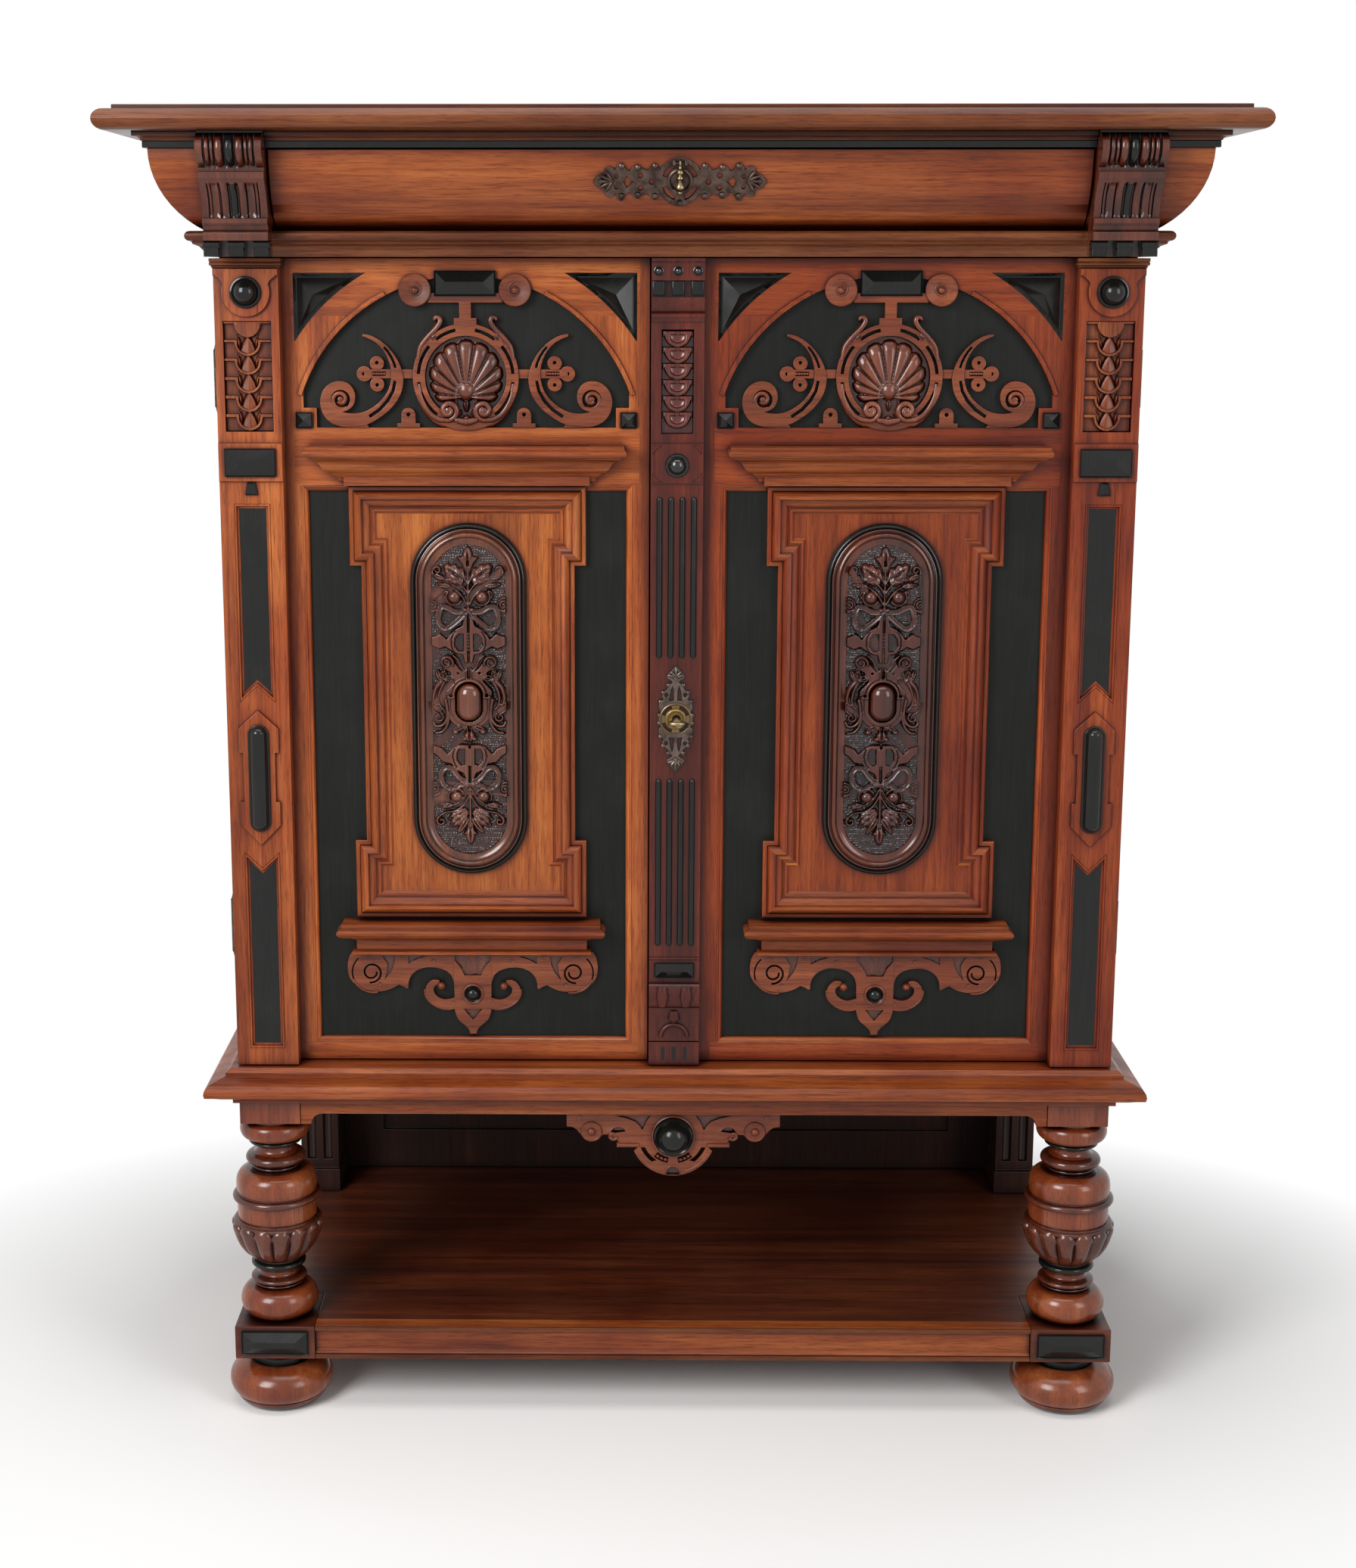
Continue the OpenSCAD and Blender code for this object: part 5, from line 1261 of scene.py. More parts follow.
def walnut_door(name):
    """Door frame: upright grain on the stiles and level grain on the three rails."""
    material = FRAME_UP.copy()
    material.name = name
    tree = material.node_tree
    place = next(n for n in tree.nodes if n.type == "TEX_COORD").outputs["Object"]
    turn = next(n for n in tree.nodes if n.type == "MAPPING")
    level_grain = add(tree, "ShaderNodeMapping", {"Vector": place, "Location": (0.7, 0.7, 0.7), "Scale": GRAIN["x"]})
    parts = add(tree, "ShaderNodeSeparateXYZ", {"Vector": place})
    across = add(tree, "ShaderNodeMath", {0: parts.outputs["X"]}, operation="ABSOLUTE").outputs[0]
    inner = add(tree, "ShaderNodeMath", {0: across, 1: U * MM, 2: 0.211}, operation="COMPARE").outputs[0]
    # Middles and half heights of the rails, in metres
    rails = None
    for middle, half in ((1.2455, 0.0355), (0.485, 0.0125), (1.45, 0.0345)):
        limits = {0: parts.outputs["Z"], 1: middle, 2: half}
        band = add(tree, "ShaderNodeMath", limits, operation="COMPARE").outputs[0]
        if rails is not None:
            band = add(tree, "ShaderNodeMath", {0: rails, 1: band}, operation="MAXIMUM").outputs[0]
        rails = band
    where = add(tree, "ShaderNodeMath", {0: rails, 1: inner}, operation="MULTIPLY").outputs[0]
    grain = add(tree, "ShaderNodeMix", {0: where, 4: turn.outputs[0], 5: level_grain.outputs[0]}, data_type="VECTOR")
    for link in list(tree.links):
        if link.from_node == turn and link.to_node != grain:
            target = link.to_socket
            tree.links.remove(link)
            tree.links.new(grain.outputs[1], target)
    return material


DOOR = walnut_door("walnut_door_frame")


def at_panel(*loops):
    """Loops drawn about the panel's middle line, moved there."""
    return [[(U + x, z) for x, z in loop] for loop in loops]


def fret(name, shapes, front, thick, edge=0.7):
    """Fretwork drawn about the middle of the right door's panel."""
    return fretwork(name, [at_panel(*loops) for loops in shapes], front, thick, edge)


NAIL = [(0, 0), (2.6, 0), (2.4, 0.9), (1.6, 0.3), (0, 0.3)]


def arch_part():
    """Strapwork, wreath and shell in the arched panel."""
    w = SILL_Z + 61
    front = PANEL_D - 7
    v = (153, SILL_Z + 34)
    # Outer edge from the tip round the belly to the foot, up round the scroll, and back along the inner edge
    crescent = flowing(
        corners((124, 1394))
        + [(112, 1391), (97, 1381), (84, 1365), (76.5, 1346), (77, 1330), (83, 1315), (95, 1301), (112, 1289)]
        + corners((124, 1283.5))
        + [(140, 1281.6), (154, 1282.4), (167, 1288), (175.5, 1299), (178, 1313), (174, 1326), (165, 1334.6),
            (153.5, 1337.4)]
        + [(143, 1334.5), (136.6, 1326.5), (135, 1316.5), (138, 1307.5), (144, 1302.4)]
        + corners((150.6, 1300))
        + [(140, 1298.4), (128, 1299.4), (116, 1304.4), (103, 1314.6), (94, 1328), (90.6, 1344), (92.6, 1359),
            (99, 1373), (109, 1383.6)]
        + corners((121, 1389.6), (125, 1391)),
        3,
        closed=True,
    )
    slot_up = [(99.8, 1377.4), (95.4, 1372), (91.4, 1365.4), (88.2, 1358.4), (86.6, 1353), (84, 1353.8),
        (85.8, 1359.8), (89, 1367), (93.4, 1373.8), (98, 1379)]
    slot_low = [(84.5, 1337), (87, 1325), (93.5, 1313), (104, 1301.6), (117, 1293), (119, 1296), (106.6, 1304.6),
        (97, 1315), (90.4, 1326), (87.6, 1338)]
    foot = [(118, SILL_Z - 0.2), (146, SILL_Z - 0.2), (142, SILL_Z + 5), (122, SILL_Z + 5)]
    tab = [(56.5, SILL_Z), (84.5, SILL_Z), (84.5, SILL_Z + 5.5), (79.2, SILL_Z + 5.5)]
    tab += arc(70.5, SILL_Z + 15.5, 8.7, 0, 180, 14) + [(61.8, SILL_Z + 5.5), (56.5, SILL_Z + 5.5)]
    bar = box(60, w - 1.6, 124, w + 9.4)
    bead_slot = box(97.5, w + 1.5, 113.5, w + 6.5)
    spans = ((52, 78), (4, 40), (102, 128), (140, 176), (186, 232), (308, 354))
    slots = [arc(0, w, 59.4, start, end, 14) + arc(0, w, 55.6, end, start, 14) for start, end in spans]
    wreath = [circle(0, w, 64.5, 80), circle(0, w, 49.5, 64)] + slots
    shapes = []
    for loops in (
        [bar, bead_slot],
        [circle(123.5, w + 4, 9.4, 24), circle(124, w + 4, 2.1, 12)],
        [circle(108, w + 16.6, 8.8, 24), circle(108, w + 17.4, 2.1, 12)],
        [circle(108, w - 8.6, 8.8, 24), circle(108, w - 9.4, 2.1, 12)],
        [foot],
        [tab, circle(70.5, SILL_Z + 16, 2.4, 12)],
        [crescent, slot_up, slot_low, circle(v[0], v[1], 11.6, 32)],
    ):
        shapes.append(loops)
        shapes.append([flipped(loop) for loop in loops])
    shapes += [[box(-45, 1431, 45, 1442.6)], [box(-7.2, 1411, 7.2, 1432)], [box(-13.8, 1403, 13.8, 1413)], wreath]
    strap_piece = fret("strapwork", shapes, front, 7)
    marks = []
    for s in (-1, 1):
        bead = [(0, 0), (1.8, 0), (1.6, 3), (0, 4.4)]
        marks += [knob("bead", bead, U + s * (99.2 + 3.2 * k), w + 4, front + 3.4, 10) for k in range(5)]
        spiral = curl(v[0], v[1], 12.6, 3.4, 235, 1.25, 36)
        spiral = [(U + s * x, dy(front + 1.8 - 3.4 * k / 35), z) for k, (x, z) in enumerate(spiral)]
        marks.append(roll("spiral", spiral, [3.4 - 0.8 * k / 35 for k in range(36)], resolution=3))
        eye = [(0, 0), (4.6, 0), (4.4, 4), (3.2, 6), (0, 7)]
        marks.append(knob("scroll_eye", eye, U + s * v[0], v[1], front + 3.4, 24))
        for x, z in ((80.6, w + 4), (55, w + 4), (134, SILL_Z + 5.6)):
            marks.append(knob("nail", NAIL, U + s * x, z, front + 0.1, 14))
    marks.append(knob("nail", NAIL, U, w + 57, front + 0.1, 14))
    shell = relief("shell", (U - 68, U + 68, w - 67, w + 74), 0.8, lambda x, z: shell_height(x - U, z - w), PANEL_D)
    scrolls = []
    for s in (-1, 1):
        band = flowing([(57, -8), (55.4, -22), (50, -35), (41.6, -46), (31.6, -51.4)], 5)
        turn_in = curl(21.5, -40, 11.8, 3.0, -92, -1.45, 42)
        line = band + turn_in
        n = len(line)
        path = [(U + s * x, dy(24.4 - 5.4 * min(1, k / (n - 12))), w + z) for k, (x, z) in enumerate(line)]
        radii = [2.2 + 1.6 * math.sin(math.pi * (k / (n - 1)) ** 0.8) for k in range(n)]
        scrolls.append(roll("scroll", path, radii, resolution=3))
        scrolls.append(knob("eye", [(0, 0), (4, 0), (3.6, 2.4), (0, 4)], U + s * 21.5, w - 40, 20, 20))
        tip = [(58, 21), (55, 36), (46.5, 47.4), (36, 58), (30.6, 66), (31.6, 71), (36, 71.6), (37.6, 68.4)]
        tip = [(U + s * x, dy(22.4), w + z) for x, z in flowing(tip, 5)]
        radii = [2.0 + 1.5 * math.sin(math.pi * k / (len(tip) - 1)) for k in range(len(tip))]
        scrolls.append(roll("tip", tip, radii, resolution=2))
    bridge = [(U + x, dy(20.4), w - 54.4 + abs(x) * 0.22) for x in (-14, -9, -4, 0, 4, 9, 14)]
    scrolls.append(roll("bridge", bridge, [2.6, 3.6, 4.2, 4.4, 4.2, 3.6, 2.6], 0.8, resolution=2))
    for_both_doors("shell_scrolls", scrolls, CARVED, "walnut_dark")
    for_both_doors("strapwork_carved", [strap_piece] + marks, SAWN, "walnut_dark", "strapwork")
    for_both_doors("carved_shell", [shell], CARVED, "walnut_dark")


def shell_height(x, z):
    """A scallop shell over two scrolls, with leaves that curl up round the ring."""
    r = np.hypot(x, z)
    h = np.where(r < 50, 1.6, UNDER)
    a = np.abs(x)
    foot = -24.0
    reach = np.hypot(x, z - foot)
    turn = np.degrees(np.arctan2(z - foot, x))
    turn = np.where(turn < -90, turn + 360, turn)
    count = 11
    place = np.clip((turn + 12) / (204 / count), 0, count - 0.001)
    lobe = np.abs(place - np.floor(place) - 0.5) * 2
    # The ring's inner edge, of radius 45.5, along each direction gives the lobe its length
    along = np.radians(turn)
    tip = np.sqrt(np.maximum(45.5**2 - (foot * np.cos(along)) ** 2, 0)) - foot * np.sin(along)
    tip = tip - 1.0 - 4.6 * lobe**3.2
    t = np.clip(reach / np.maximum(tip, 1), 0, 1.2)
    arched = np.sqrt(np.clip(1 - lobe**2.2, 0, 1))
    swell = 3.0 + 3.2 * np.sin(math.pi * np.clip(t, 0, 1) ** 0.8)
    body = swell + arched * (2.2 + 4.2 * np.clip(t, 0, 1)) * np.sqrt(np.clip((1.0 - t) / 0.16, 0, 1))
    fan = (turn > -12) & (turn < 192)
    h = np.where(fan & (t < 1), np.maximum(h, body), h)
    lay = [dot(x, z, 0, -16, 12.4, 13.5, 12.5)]
    for k in range(3):
        path = [(2.2 + 0.6 * k, -8 + 1.5 * k), (9 + 2.4 * k, -13 + k), (12 + 2.2 * k, -22),
            (12 + 1.6 * k, -33 + 1.6 * k)]
        lay.append(stem(a, z, flowing(path, 4), 2.3, 1.7, 11.2 - 1.8 * k))
    lay.append(leaf(x, z, (0, -26), (0, -43), 4.2, 9.5, 1))
    band = flowing([(55, -14), (54, -30), (47, -44), (36, -54.5), (24, -57.5), (13.5, -52), (9.6, -43)], 5)
    lay.append(stem(a, z, band, 4.0, 4.4, 9.5))
    lay.append(stem(a, z, flowing([(0, -50), (6, -53), (10, -49)], 4), 5.0, 4.0, 8.0))
    h = np.maximum.reduce([h] + lay)
    # Leaves round the ring's shoulders
    rise = [stem(a, z, flowing([(57, 22), (54.5, 36), (47, 46), (38, 51)], 5), 3.4, 4.4, 10.4)]
    rise.append(leaf(a, z, (50, 40), (28, 53), 4.6, 11.0, 2))
    rise.append(leaf(a, z, (54, 33), (36, 57), 3.6, 11.0, 1))
    hook = flowing([(46, 48), (36, 60), (31, 66), (31.5, 70), (35.5, 71)], 5)
    rise.append(stem(a, z, hook, 3.2, 2.4, 9.6))
    rise.append(dot(a, z, 36.4, 68.6, 3.2, 3.0, 9.5))
    return np.maximum.reduce([h] + rise)


def arch_mounts():
    """Black keystone, corner blocks and spandrels of one door."""
    top = ARCH_Z + ARCH_R
    parts = [hipped("keystone", U, top - 9, 74, 30, FACE_D, 11, 44, 3)]
    for s in (-1, 1):
        parts.append(hipped("corner", U + s * 198, SILL_Z + 9, 20, 19, FACE_D, 8, 1.5, 1.5))
    w = 208.5
    for inset, front, thick in ((0, 24, 2.2), (4.5, 21.8, 1.6)):
        top_z = ARCH_Z + 216 - inset
        bottom_z = ARCH_Z + 134 + 2 * inset
        side = w - inset
        reach = ARCH_R + 34 + inset
        a0 = math.degrees(math.asin((bottom_z - ARCH_Z) / reach))
        a1 = math.degrees(math.asin((top_z - ARCH_Z) / reach))
        curve = arc(0, ARCH_Z, reach, a0, a1, 16)
        loop = [(side, bottom_z), (side, top_z)] + curve[::-1]
        loop = [p for p in loop if p[0] <= side + 0.01]
        for k in (1, -1):
            made = [(U + k * x, z) for x, z in loop]
            parts.append(board("spandrel", made[::k], front, thick, 0.5))
    for s in (-1, 1):
        ring = [(w - 6, ARCH_Z + 148), (w - 6, top_z - 1.8), (w - 72, top_z - 1.8)]
        ring += arc(0, ARCH_Z, ARCH_R + 39.5, 40, 50, 7)[::-1]
        apex = (w - 26, top_z - 22)
        points = [(U + s * x, dy(20.2), z) for x, z in ring] + [(U + s * apex[0], dy(10.5), apex[1])]
        m = len(ring)
        faces = [(k, (k + 1) % m, m) for k in range(m)]
        stone = drawn("spandrel_point", points, faces=faces)
        outward(stone)
        parts.append(rounded(stone, 20))
    discs = []
    for s in (-1, 1):
        x = U + s * 60.5
        z = top - 17
        disc = [(0, 0), (19.5, 0), (19.5, 4.2), (18.6, 5), (15, 4.6), (9, 3.4), (5.4, 2.8), (0, 2.8)]
        discs.append(knob("disc", disc, x, z, FACE_D, 56))
        discs.append(ridge("spiral", curl(x, z, 9.5, 4.2, 90 + 10 * s, 0.8 * s, 24), FACE_D - 3.0, 1.3))
        discs.append(knob("pip", [(0, 0), (4.4, 0), (4, 2.4), (2, 4), (0, 4.4)], x, z, FACE_D - 2.8, 20))
    spans = ((19, 63), (117, 161))
    beads = [ridge("bead", arc(U, ARCH_Z, ARCH_R + 2.6, a0, a1, 40), FACE_D, 3.2) for a0, a1 in spans]
    for_both_doors("arch_discs", discs, SAWN, "walnut")
    for_both_doors("arch_beads", beads, FRAME_UP, "walnut")
    return parts


EARS = [(145.5, 663.5), (145.5, 763.5), (131.5, 763.5), (131.5, 1112), (145.5, 1112), (145.5, 1210)]


def eared_frame():
    """Eared moulding round a bright veneered field."""
    path = [(U + x, z) for x, z in EARS] + [(U - x, z) for x, z in EARS[::-1]]
    section = [
        (0, 0), (0, 9.5), (1.2, 10.5), (5.2, 10.5), (6.0, 9.2), (6.0, 12), (7.2, 14.2), (9.6, 17), (12.6, 18.4),
        (15.4, 17.6),
        (16.6, 15.6), (16.6, 13.6), (19, 13.4), (22.4, 11.8), (25, 9.2), (26, 7.6), (28, 7.4), (28, 8.6), (31, 8.6),
        (32.6, 6.8), (34, 6), (34, 0),
    ]
    frame_piece = moulding("eared_moulding", section, path, upright(PANEL_D))
    clad([frame_piece], FRAME_UP, FRAME_ALONG)
    for_both_doors("eared_moulding", [frame_piece], FRAME_UP, "walnut", "raised_frame")
    inner = [(112.5, 696.5), (112.5, 730.5), (98.5, 730.5), (98.5, 1145), (112.5, 1145), (112.5, 1177)]
    loop = [(U + x, z) for x, z in inner] + [(U - x, z) for x, z in inner[::-1]]
    for_both_doors("veneered_field", [board("field", loop, FIELD_D, 6, 0)], FIELD, "walnut")


def opening_beads():
    """Bright ovolo that holds the black panel in the lower opening."""
    loop = box(U - OPEN_HW, OPEN_BOTTOM, U + OPEN_HW, OPEN_TOP)
    section = [(-0.2, -1), (-0.2, 0.6), (1.4, 0.8), (2.2, -0.2), (3.2, -0.4), (5.6, -2.0), (6.8, -4.2), (7, -6.8),
        (-0.2, -6.8)]
    bead = moulding("opening_bead", section, loop, upright(FACE_D))
    clad([bead], BRIGHT, FRAME_ALONG)
    for_both_doors("opening_bead", [bead], BRIGHT, "walnut")


# One pilaster: its field of scales (x0, z0, x1, z1), the middles of its boss and plaque, and its inlays
SCALES = (PILASTER_X - 29, 1277.5, PILASTER_X + 29, 1409.5)
BOSS_Z, PLAQUE_Z = 1443.5, 848.5
INLAYS = (
    [(-22, 1190), (-22, 944), (0, 964.5), (22, 944), (22, 1190)],
    [(-22, 496), (22, 496), (22, 753), (0, 732.5), (-22, 753)],
)


def pilaster():
    """One pilaster: sunk black inlays, carved scales, collar, block and plaque."""
    x0, x1 = PILASTER_X - PILASTER_HW, PILASTER_X + PILASTER_HW
    outer = box(x0, Z_DOOR, x1, Z_DOOR_TOP - 12)
    holes = [[(PILASTER_X + x, z) for x, z in loop] for loop in INLAYS]
    holes.append(box(*SCALES))
    face = fretwork("pilaster", [[outer] + holes], 0, 10, 0.5)
    parts = [face, board("pilaster_back", box(x0, Z_DOOR, x1, Z_DOOR_TOP), 9.6, 14.4, 0.4)]
    section = [(0, -0.2), (0.6, 0.7), (2.4, 0.7), (3.2, -0.6), (3.4, -2.2), (5.2, -2.6), (6.4, -4.4), (0, -4.4)]
    parts += [moulding("inlay_moulding", section, path, upright(0)) for path in holes[:2]]
    cap = [
        (0, 1471.5), (0.4, 1471.5), (1.6, 1472.5), (1.6, 1474), (3.6, 1475.2), (4, 1477.2), (3.2, 1479), (4, 1479.6),
        (4, 1483.3), (0, 1483.3),
    ]
    path = [(x1 - 0.1, dy(23)), (x1 - 0.1, dy(0)), (x0 + 0.1, dy(0)), (x0 + 0.1, dy(23))]
    capital = moulding("cap", cap, path, level, closed=False)
    parts.append(capital)
    parts.append(board("block", box(x0 + 0.2, 1217.5, x1 - 0.2, 1263.5), -3.6, 4.2, 0.8))
    collar = [(39, 1471.4), (39, 1463), (35.5, 1463), (35.5, 1461), (33, 1460.6)] + arc(36, 1451.5, 8.6, 112, 172, 7)
    collar += [(28.6, 1449)] + arc(0, BOSS_Z, 29, 10, -90, 20)
    collar = [(PILASTER_X + x, z) for x, z in both_sides(collar)]
    parts.append(board("collar", collar, -4.4, 5, 0.8))
    half = [(0, 86), (25, 63), (25, 32), (20, 32), (20, -30), (25, -30), (25, -60), (0, -86)]
    plaque_loop = [(PILASTER_X + x, PLAQUE_Z + z) for x, z in both_sides(half)]
    parts.append(board("plaque", plaque_loop, -3.6, 4, 1.2, 3))
    two_woods(parts, (FRAME_UP, MOULDED), [capital])
    for_both_doors("pilaster_boards", parts, (FRAME_UP, MOULDED), "walnut", "pilaster")
    scales = relief("scales", (SCALES[0], SCALES[2], SCALES[1], SCALES[3]), 0.6, scale_height, 9.8)
    for_both_doors("pilaster_scales", [scales], CARVED_LIGHT, "walnut")


def scale_height(x, z):
    """Five round straps hung one above the other between sunk squares, each with a pointed leaf and two petals; a
    plain half round hangs over them."""
    u = x - PILASTER_X
    a = np.abs(u)
    h = np.full(u.shape, 3.6)
    edge = np.minimum(29 - a, np.minimum(z - SCALES[1], SCALES[3] - z))
    for k in range(6):
        cz = 1294.4 + 22.3 * k
        r = np.hypot(u, z - cz)
        low = z < cz
        if k == 5:
            h = np.where((low & (r < 16)) | (~low & (a < 16)), 9.0, h)
            h = np.where((np.abs(z - cz - 2.2) < 2.0) & (a > 14), 8.4, h)
            continue
        cup = np.where(low, r < 13.2, (a < 13.2) & (z < cz + 10))
        h = np.where(cup, 2.8, h)
        arch_edge = 10.6 * np.clip((cz + 8.4 - z) / 20, 0, 1) ** 0.62
        crown = np.clip(1 - a / np.maximum(arch_edge, 0.1), 0, 1)
        h = np.where(cup & (a < arch_edge), 4.4 + 3.2 * crown**0.6, h)
        h = np.where(cup & (np.abs(a - arch_edge) < 0.7), 1.6, h)
        petal = leaf(a, z, (13.5, cz + 8), (10.8, cz - 9), 4.4, 7.4, 0.5)
        h = np.where(cup & (a > arch_edge + 0.4), np.maximum(h, petal), h)
        ring = np.where(low, (r > 12.6) & (r < 16), (a > 12.6) & (a < 16) & (z < cz + 4.2))
        h = np.where(ring, 8.8, h)
        h = np.where((np.abs(z - cz - 2.2) < 2.0) & (a > 13), 8.4, h)
    # The outermost points stay low, so that the back of the carving lies behind all its hollows
    return np.where(edge < 0.4, 0.0, h)


def pilaster_mounts():
    """Black mounts of one pilaster, with the inlaid panels."""
    x = PILASTER_X
    boss = [(0, 0), (19, 0), (19, 2), (18.2, 3.6), (16.4, 4), (15, 3.2), (14.4, 4.6)]
    boss += [(14 * math.cos(t), 4.6 + 12 * math.sin(t)) for t in np.linspace(0.1, math.pi / 2, 9)[:-1]] + [(0, 16.6)]
    parts = [knob("boss", boss, x, BOSS_Z, -4.3, 56)]
    parts.append(hipped("block_stone", x, 1240.5, 62, 34, -3.6, 9, 24, 6))
    drop = [(x - 4.6, 1216.8), (x - 7.8, 1201), (x + 7.8, 1201), (x + 4.6, 1216.8)]
    parts.append(board("drop", drop, -4.6, 5, 2.0, 1))
    bpy.ops.object.select_all(action="DESELECT")
    bpy.ops.mesh.primitive_uv_sphere_add(segments=32, ring_count=16, radius=0.0112)
    pill = bpy.context.object
    for v in pill.data.vertices:
        if v.co.z > 1e-6:
            v.co.z += 0.0555
        elif v.co.z < -1e-6:
            v.co.z -= 0.0555
    pill.data.transform(Matrix.Translation((x * MM, dy(-4.4) * MM, PLAQUE_Z * MM)))
    parts.append(rounded(pill, 60))
    edge = arc(x, PLAQUE_Z + 55, 13.2, 0, 180, 16) + arc(x, PLAQUE_Z - 55, 13.2, 180, 360, 16)
    parts.append(board("pill_edge", edge, -6, 2.6, 1.2, 3))
    for loop in INLAYS:
        parts.append(board("inlay", [(x + a * 0.96, b) for a, b in loop], 3.4, 6.4, 0))
    return parts


def stadium_path(hw, hh, count=28):
    """Closed path round a long oval, counter-clockwise."""
    return arc(U, OVAL_Z + hh - hw, hw, 0, 180, count) + arc(U, OVAL_Z - hh + hw, hw, 180, 360, count)


def oval_surround():
    """Black bead and polished rings round the carving."""
    path = stadium_path(OVAL_HW, OVAL_HH)
    bead = [(-6, 0), (-6, 1.5), (-5.4, 5), (-3.6, 7.6), (-1.6, 8), (0.2, 6.4), (0.6, 3), (0.6, 0)]
    black = moulding("oval_bead", bead, path, upright(FIELD_D), angle=50)
    section = [
        (0.4, 0), (0.4, 5.5), (1.4, 7.0), (3.0, 7.2), (3.8, 6.2), (4.4, 6.4), (5.2, 9.2), (7.2, 11.6), (9.6, 12),
        (11.4, 10.4),
        (12.0, 8.4), (13.2, 8.2), (14.2, 7.8), (16, 6.6), (18.5, 6.0), (20.2, 5.9), (20.2, 0),
    ]
    rings = moulding("oval_rings", section, path, upright(FIELD_D), angle=50)
    for_both_doors("oval_rings", [rings], RINGS, "walnut_dark")
    return black


def carving_height(x, z):
    """Height of the long carved oval above its punched ground, from its middle."""
    u, v = x - U, z - OVAL_Z
    h = np.zeros(u.shape)
    a = np.abs(u)

    def lay(piece):
        nonlocal h
        h = np.maximum(h, piece)

    def sunk(piece_inside, level_at):
        nonlocal h
        h = np.where(piece_inside > 0, level_at, h)

    def ribbon(points, half):
        gap, _ = to_line(a, v, flowing(points, 5))
        return np.where(gap < half, 4.0 + 1.9 * (gap / half) ** 2, UNDER)

    def creeper(points, steps, r0, r1, rise):
        lay(stem(a, v, flowing(points, steps), r0, r1, rise))

    # Upper flower
    calyx = [(0, 148), (3, 160), (8, 172), (15, 181), (8, 182), (4, 187), (0, 184)]
    lay(plate(inside(a, v, calyx), 4.4, 2.2))
    lay(leaf(u, v, (0, 174), (0, 194), 7.5, 6.5, 1))
    lay(stem(a, v, [(0, 112), (0, 150), (0, 168)], 2.0, 2.2, 4.6))
    lay(stem(a, v, [(0, 146), (4, 154), (10, 163)], 1.5, 1.2, 5.2))
    lay(leaf(a, v, (3, 150), (31, 171), 11.5, 6.8, 3))
    lay(dot(a, v, 25, 168, 5, 5, 6.2))
    lay(leaf(a, v, (4, 149), (30, 157), 7.5, 5.6, 3))
    creeper([(1, 136), (8, 146), (18, 151), (30, 153), (40, 156)], 4, 1.7, 1.5, 4.8)
    lay(leaf(a, v, (28, 152), (44, 160), 4.6, 4.6, 1))
    lay(stem(a, v, curl(38, 164, 6.5, 1.5, -40, 1.1), 2.2, 1.6, 5.4))
    creeper([(2, 122), (8, 133), (16, 141), (28, 146)], 4, 1.7, 1.4, 4.8)
    lay(leaf(a, v, (20, 144), (42, 147), 4.6, 5.4, 2))
    lay(dot(a, v, 17, 131, 8.6, 8.6, 8.0))
    lay(stem(a, v, arc(17, 131, 10, 40, -150, 14), 1.8, 2.0, 5.6))
    lay(stem(a, v, arc(24, 133, 6, 70, -60, 8), 1.6, 1.2, 4.8))
    lay(dot(a, v, 4.2, 115, 3.8, 3.8, 6.2))
    lay(ribbon([(4, 113), (16, 113), (26, 118), (33, 118), (37, 106), (35, 95), (29, 92)], 3.7))
    lay(ribbon([(3, 112), (10, 104), (18, 97), (26, 92), (32, 94)], 3.5))
    # Upper strap with its D-shaped openings and bead row
    strap_up = [(0, 111), (7, 104), (9, 96), (17, 92), (24, 85), (27, 80), (31, 84), (35, 87), (40, 84), (47, 82),
        (47, 70), (36, 65), (29, 68), (20, 62), (14, 59), (8, 58), (6, 48), (0, 47)]
    lay(plate(inside(a, v, strap_up), 4.6, 2.6))
    d_hole = [(6, 64), (6, 85), (12, 85), (17, 79), (17.5, 70), (13, 64)]
    sunk(inside(a, v, d_hole), 0.6)
    gap, _ = to_line(a, v, arc(0, 74, 21.5, 40, -75, 14))
    h = np.where(gap < 0.75, np.minimum(h, 3.4), h)
    for k in range(6):
        lay(dot(u, v, 0, 65 + 4 * k, 1.9, 2.2, 6.0))
    # Edge volutes with cut spirals
    for zz in (121, -112):
        lay(plate(11.5 - np.hypot(a - 46, v - zz), 4.4, 2.4))
        gap, _ = to_line(a, v, curl(43.5, zz, 7.5, 1.2, 60, 1.7, 30))
        h = np.where(gap < 0.8, np.minimum(h, 2.8), h)
    # Scrolls over the cartouche
    body = [(0, 46), (8, 40), (12, 44), (17, 52), (24, 58), (33, 56), (36, 48), (31, 40), (24, 36), (23, 28),
        (19, 26), (30, 14), (30, -12), (24, -26), (12, -36), (0, -38)]
    lay(plate(inside(a, v, body), 4.6, 2.4))
    lay(stem(a, v, curl(27.5, 49.5, 8.6, 1.2, 200, -1.9, 34), 2.3, 1.7, 8.0))
    creeper([(5, 38), (9, 43), (13, 52), (19, 58)], 4, 1.7, 2.0, 6.2)
    lay(plate(inside(a, v, [(0, 40), (5.5, 40), (5.5, 27), (0, 27)]), 7.2, 3))
    lay(stem(a, v, curl(24, 30, 5, 1.2, 180, 1.4), 1.7, 1.2, 5.8))
    band = np.abs(np.hypot(a, np.maximum(v - 8, 0)) - 19)
    lay(np.where((v > 6) & (band < 2.6), 8.2 - 0.35 * band**2, UNDER))
    lay(np.where((np.abs(v - 6) < 2.4) & (a > 17) & (a < 27), 7.6, UNDER))
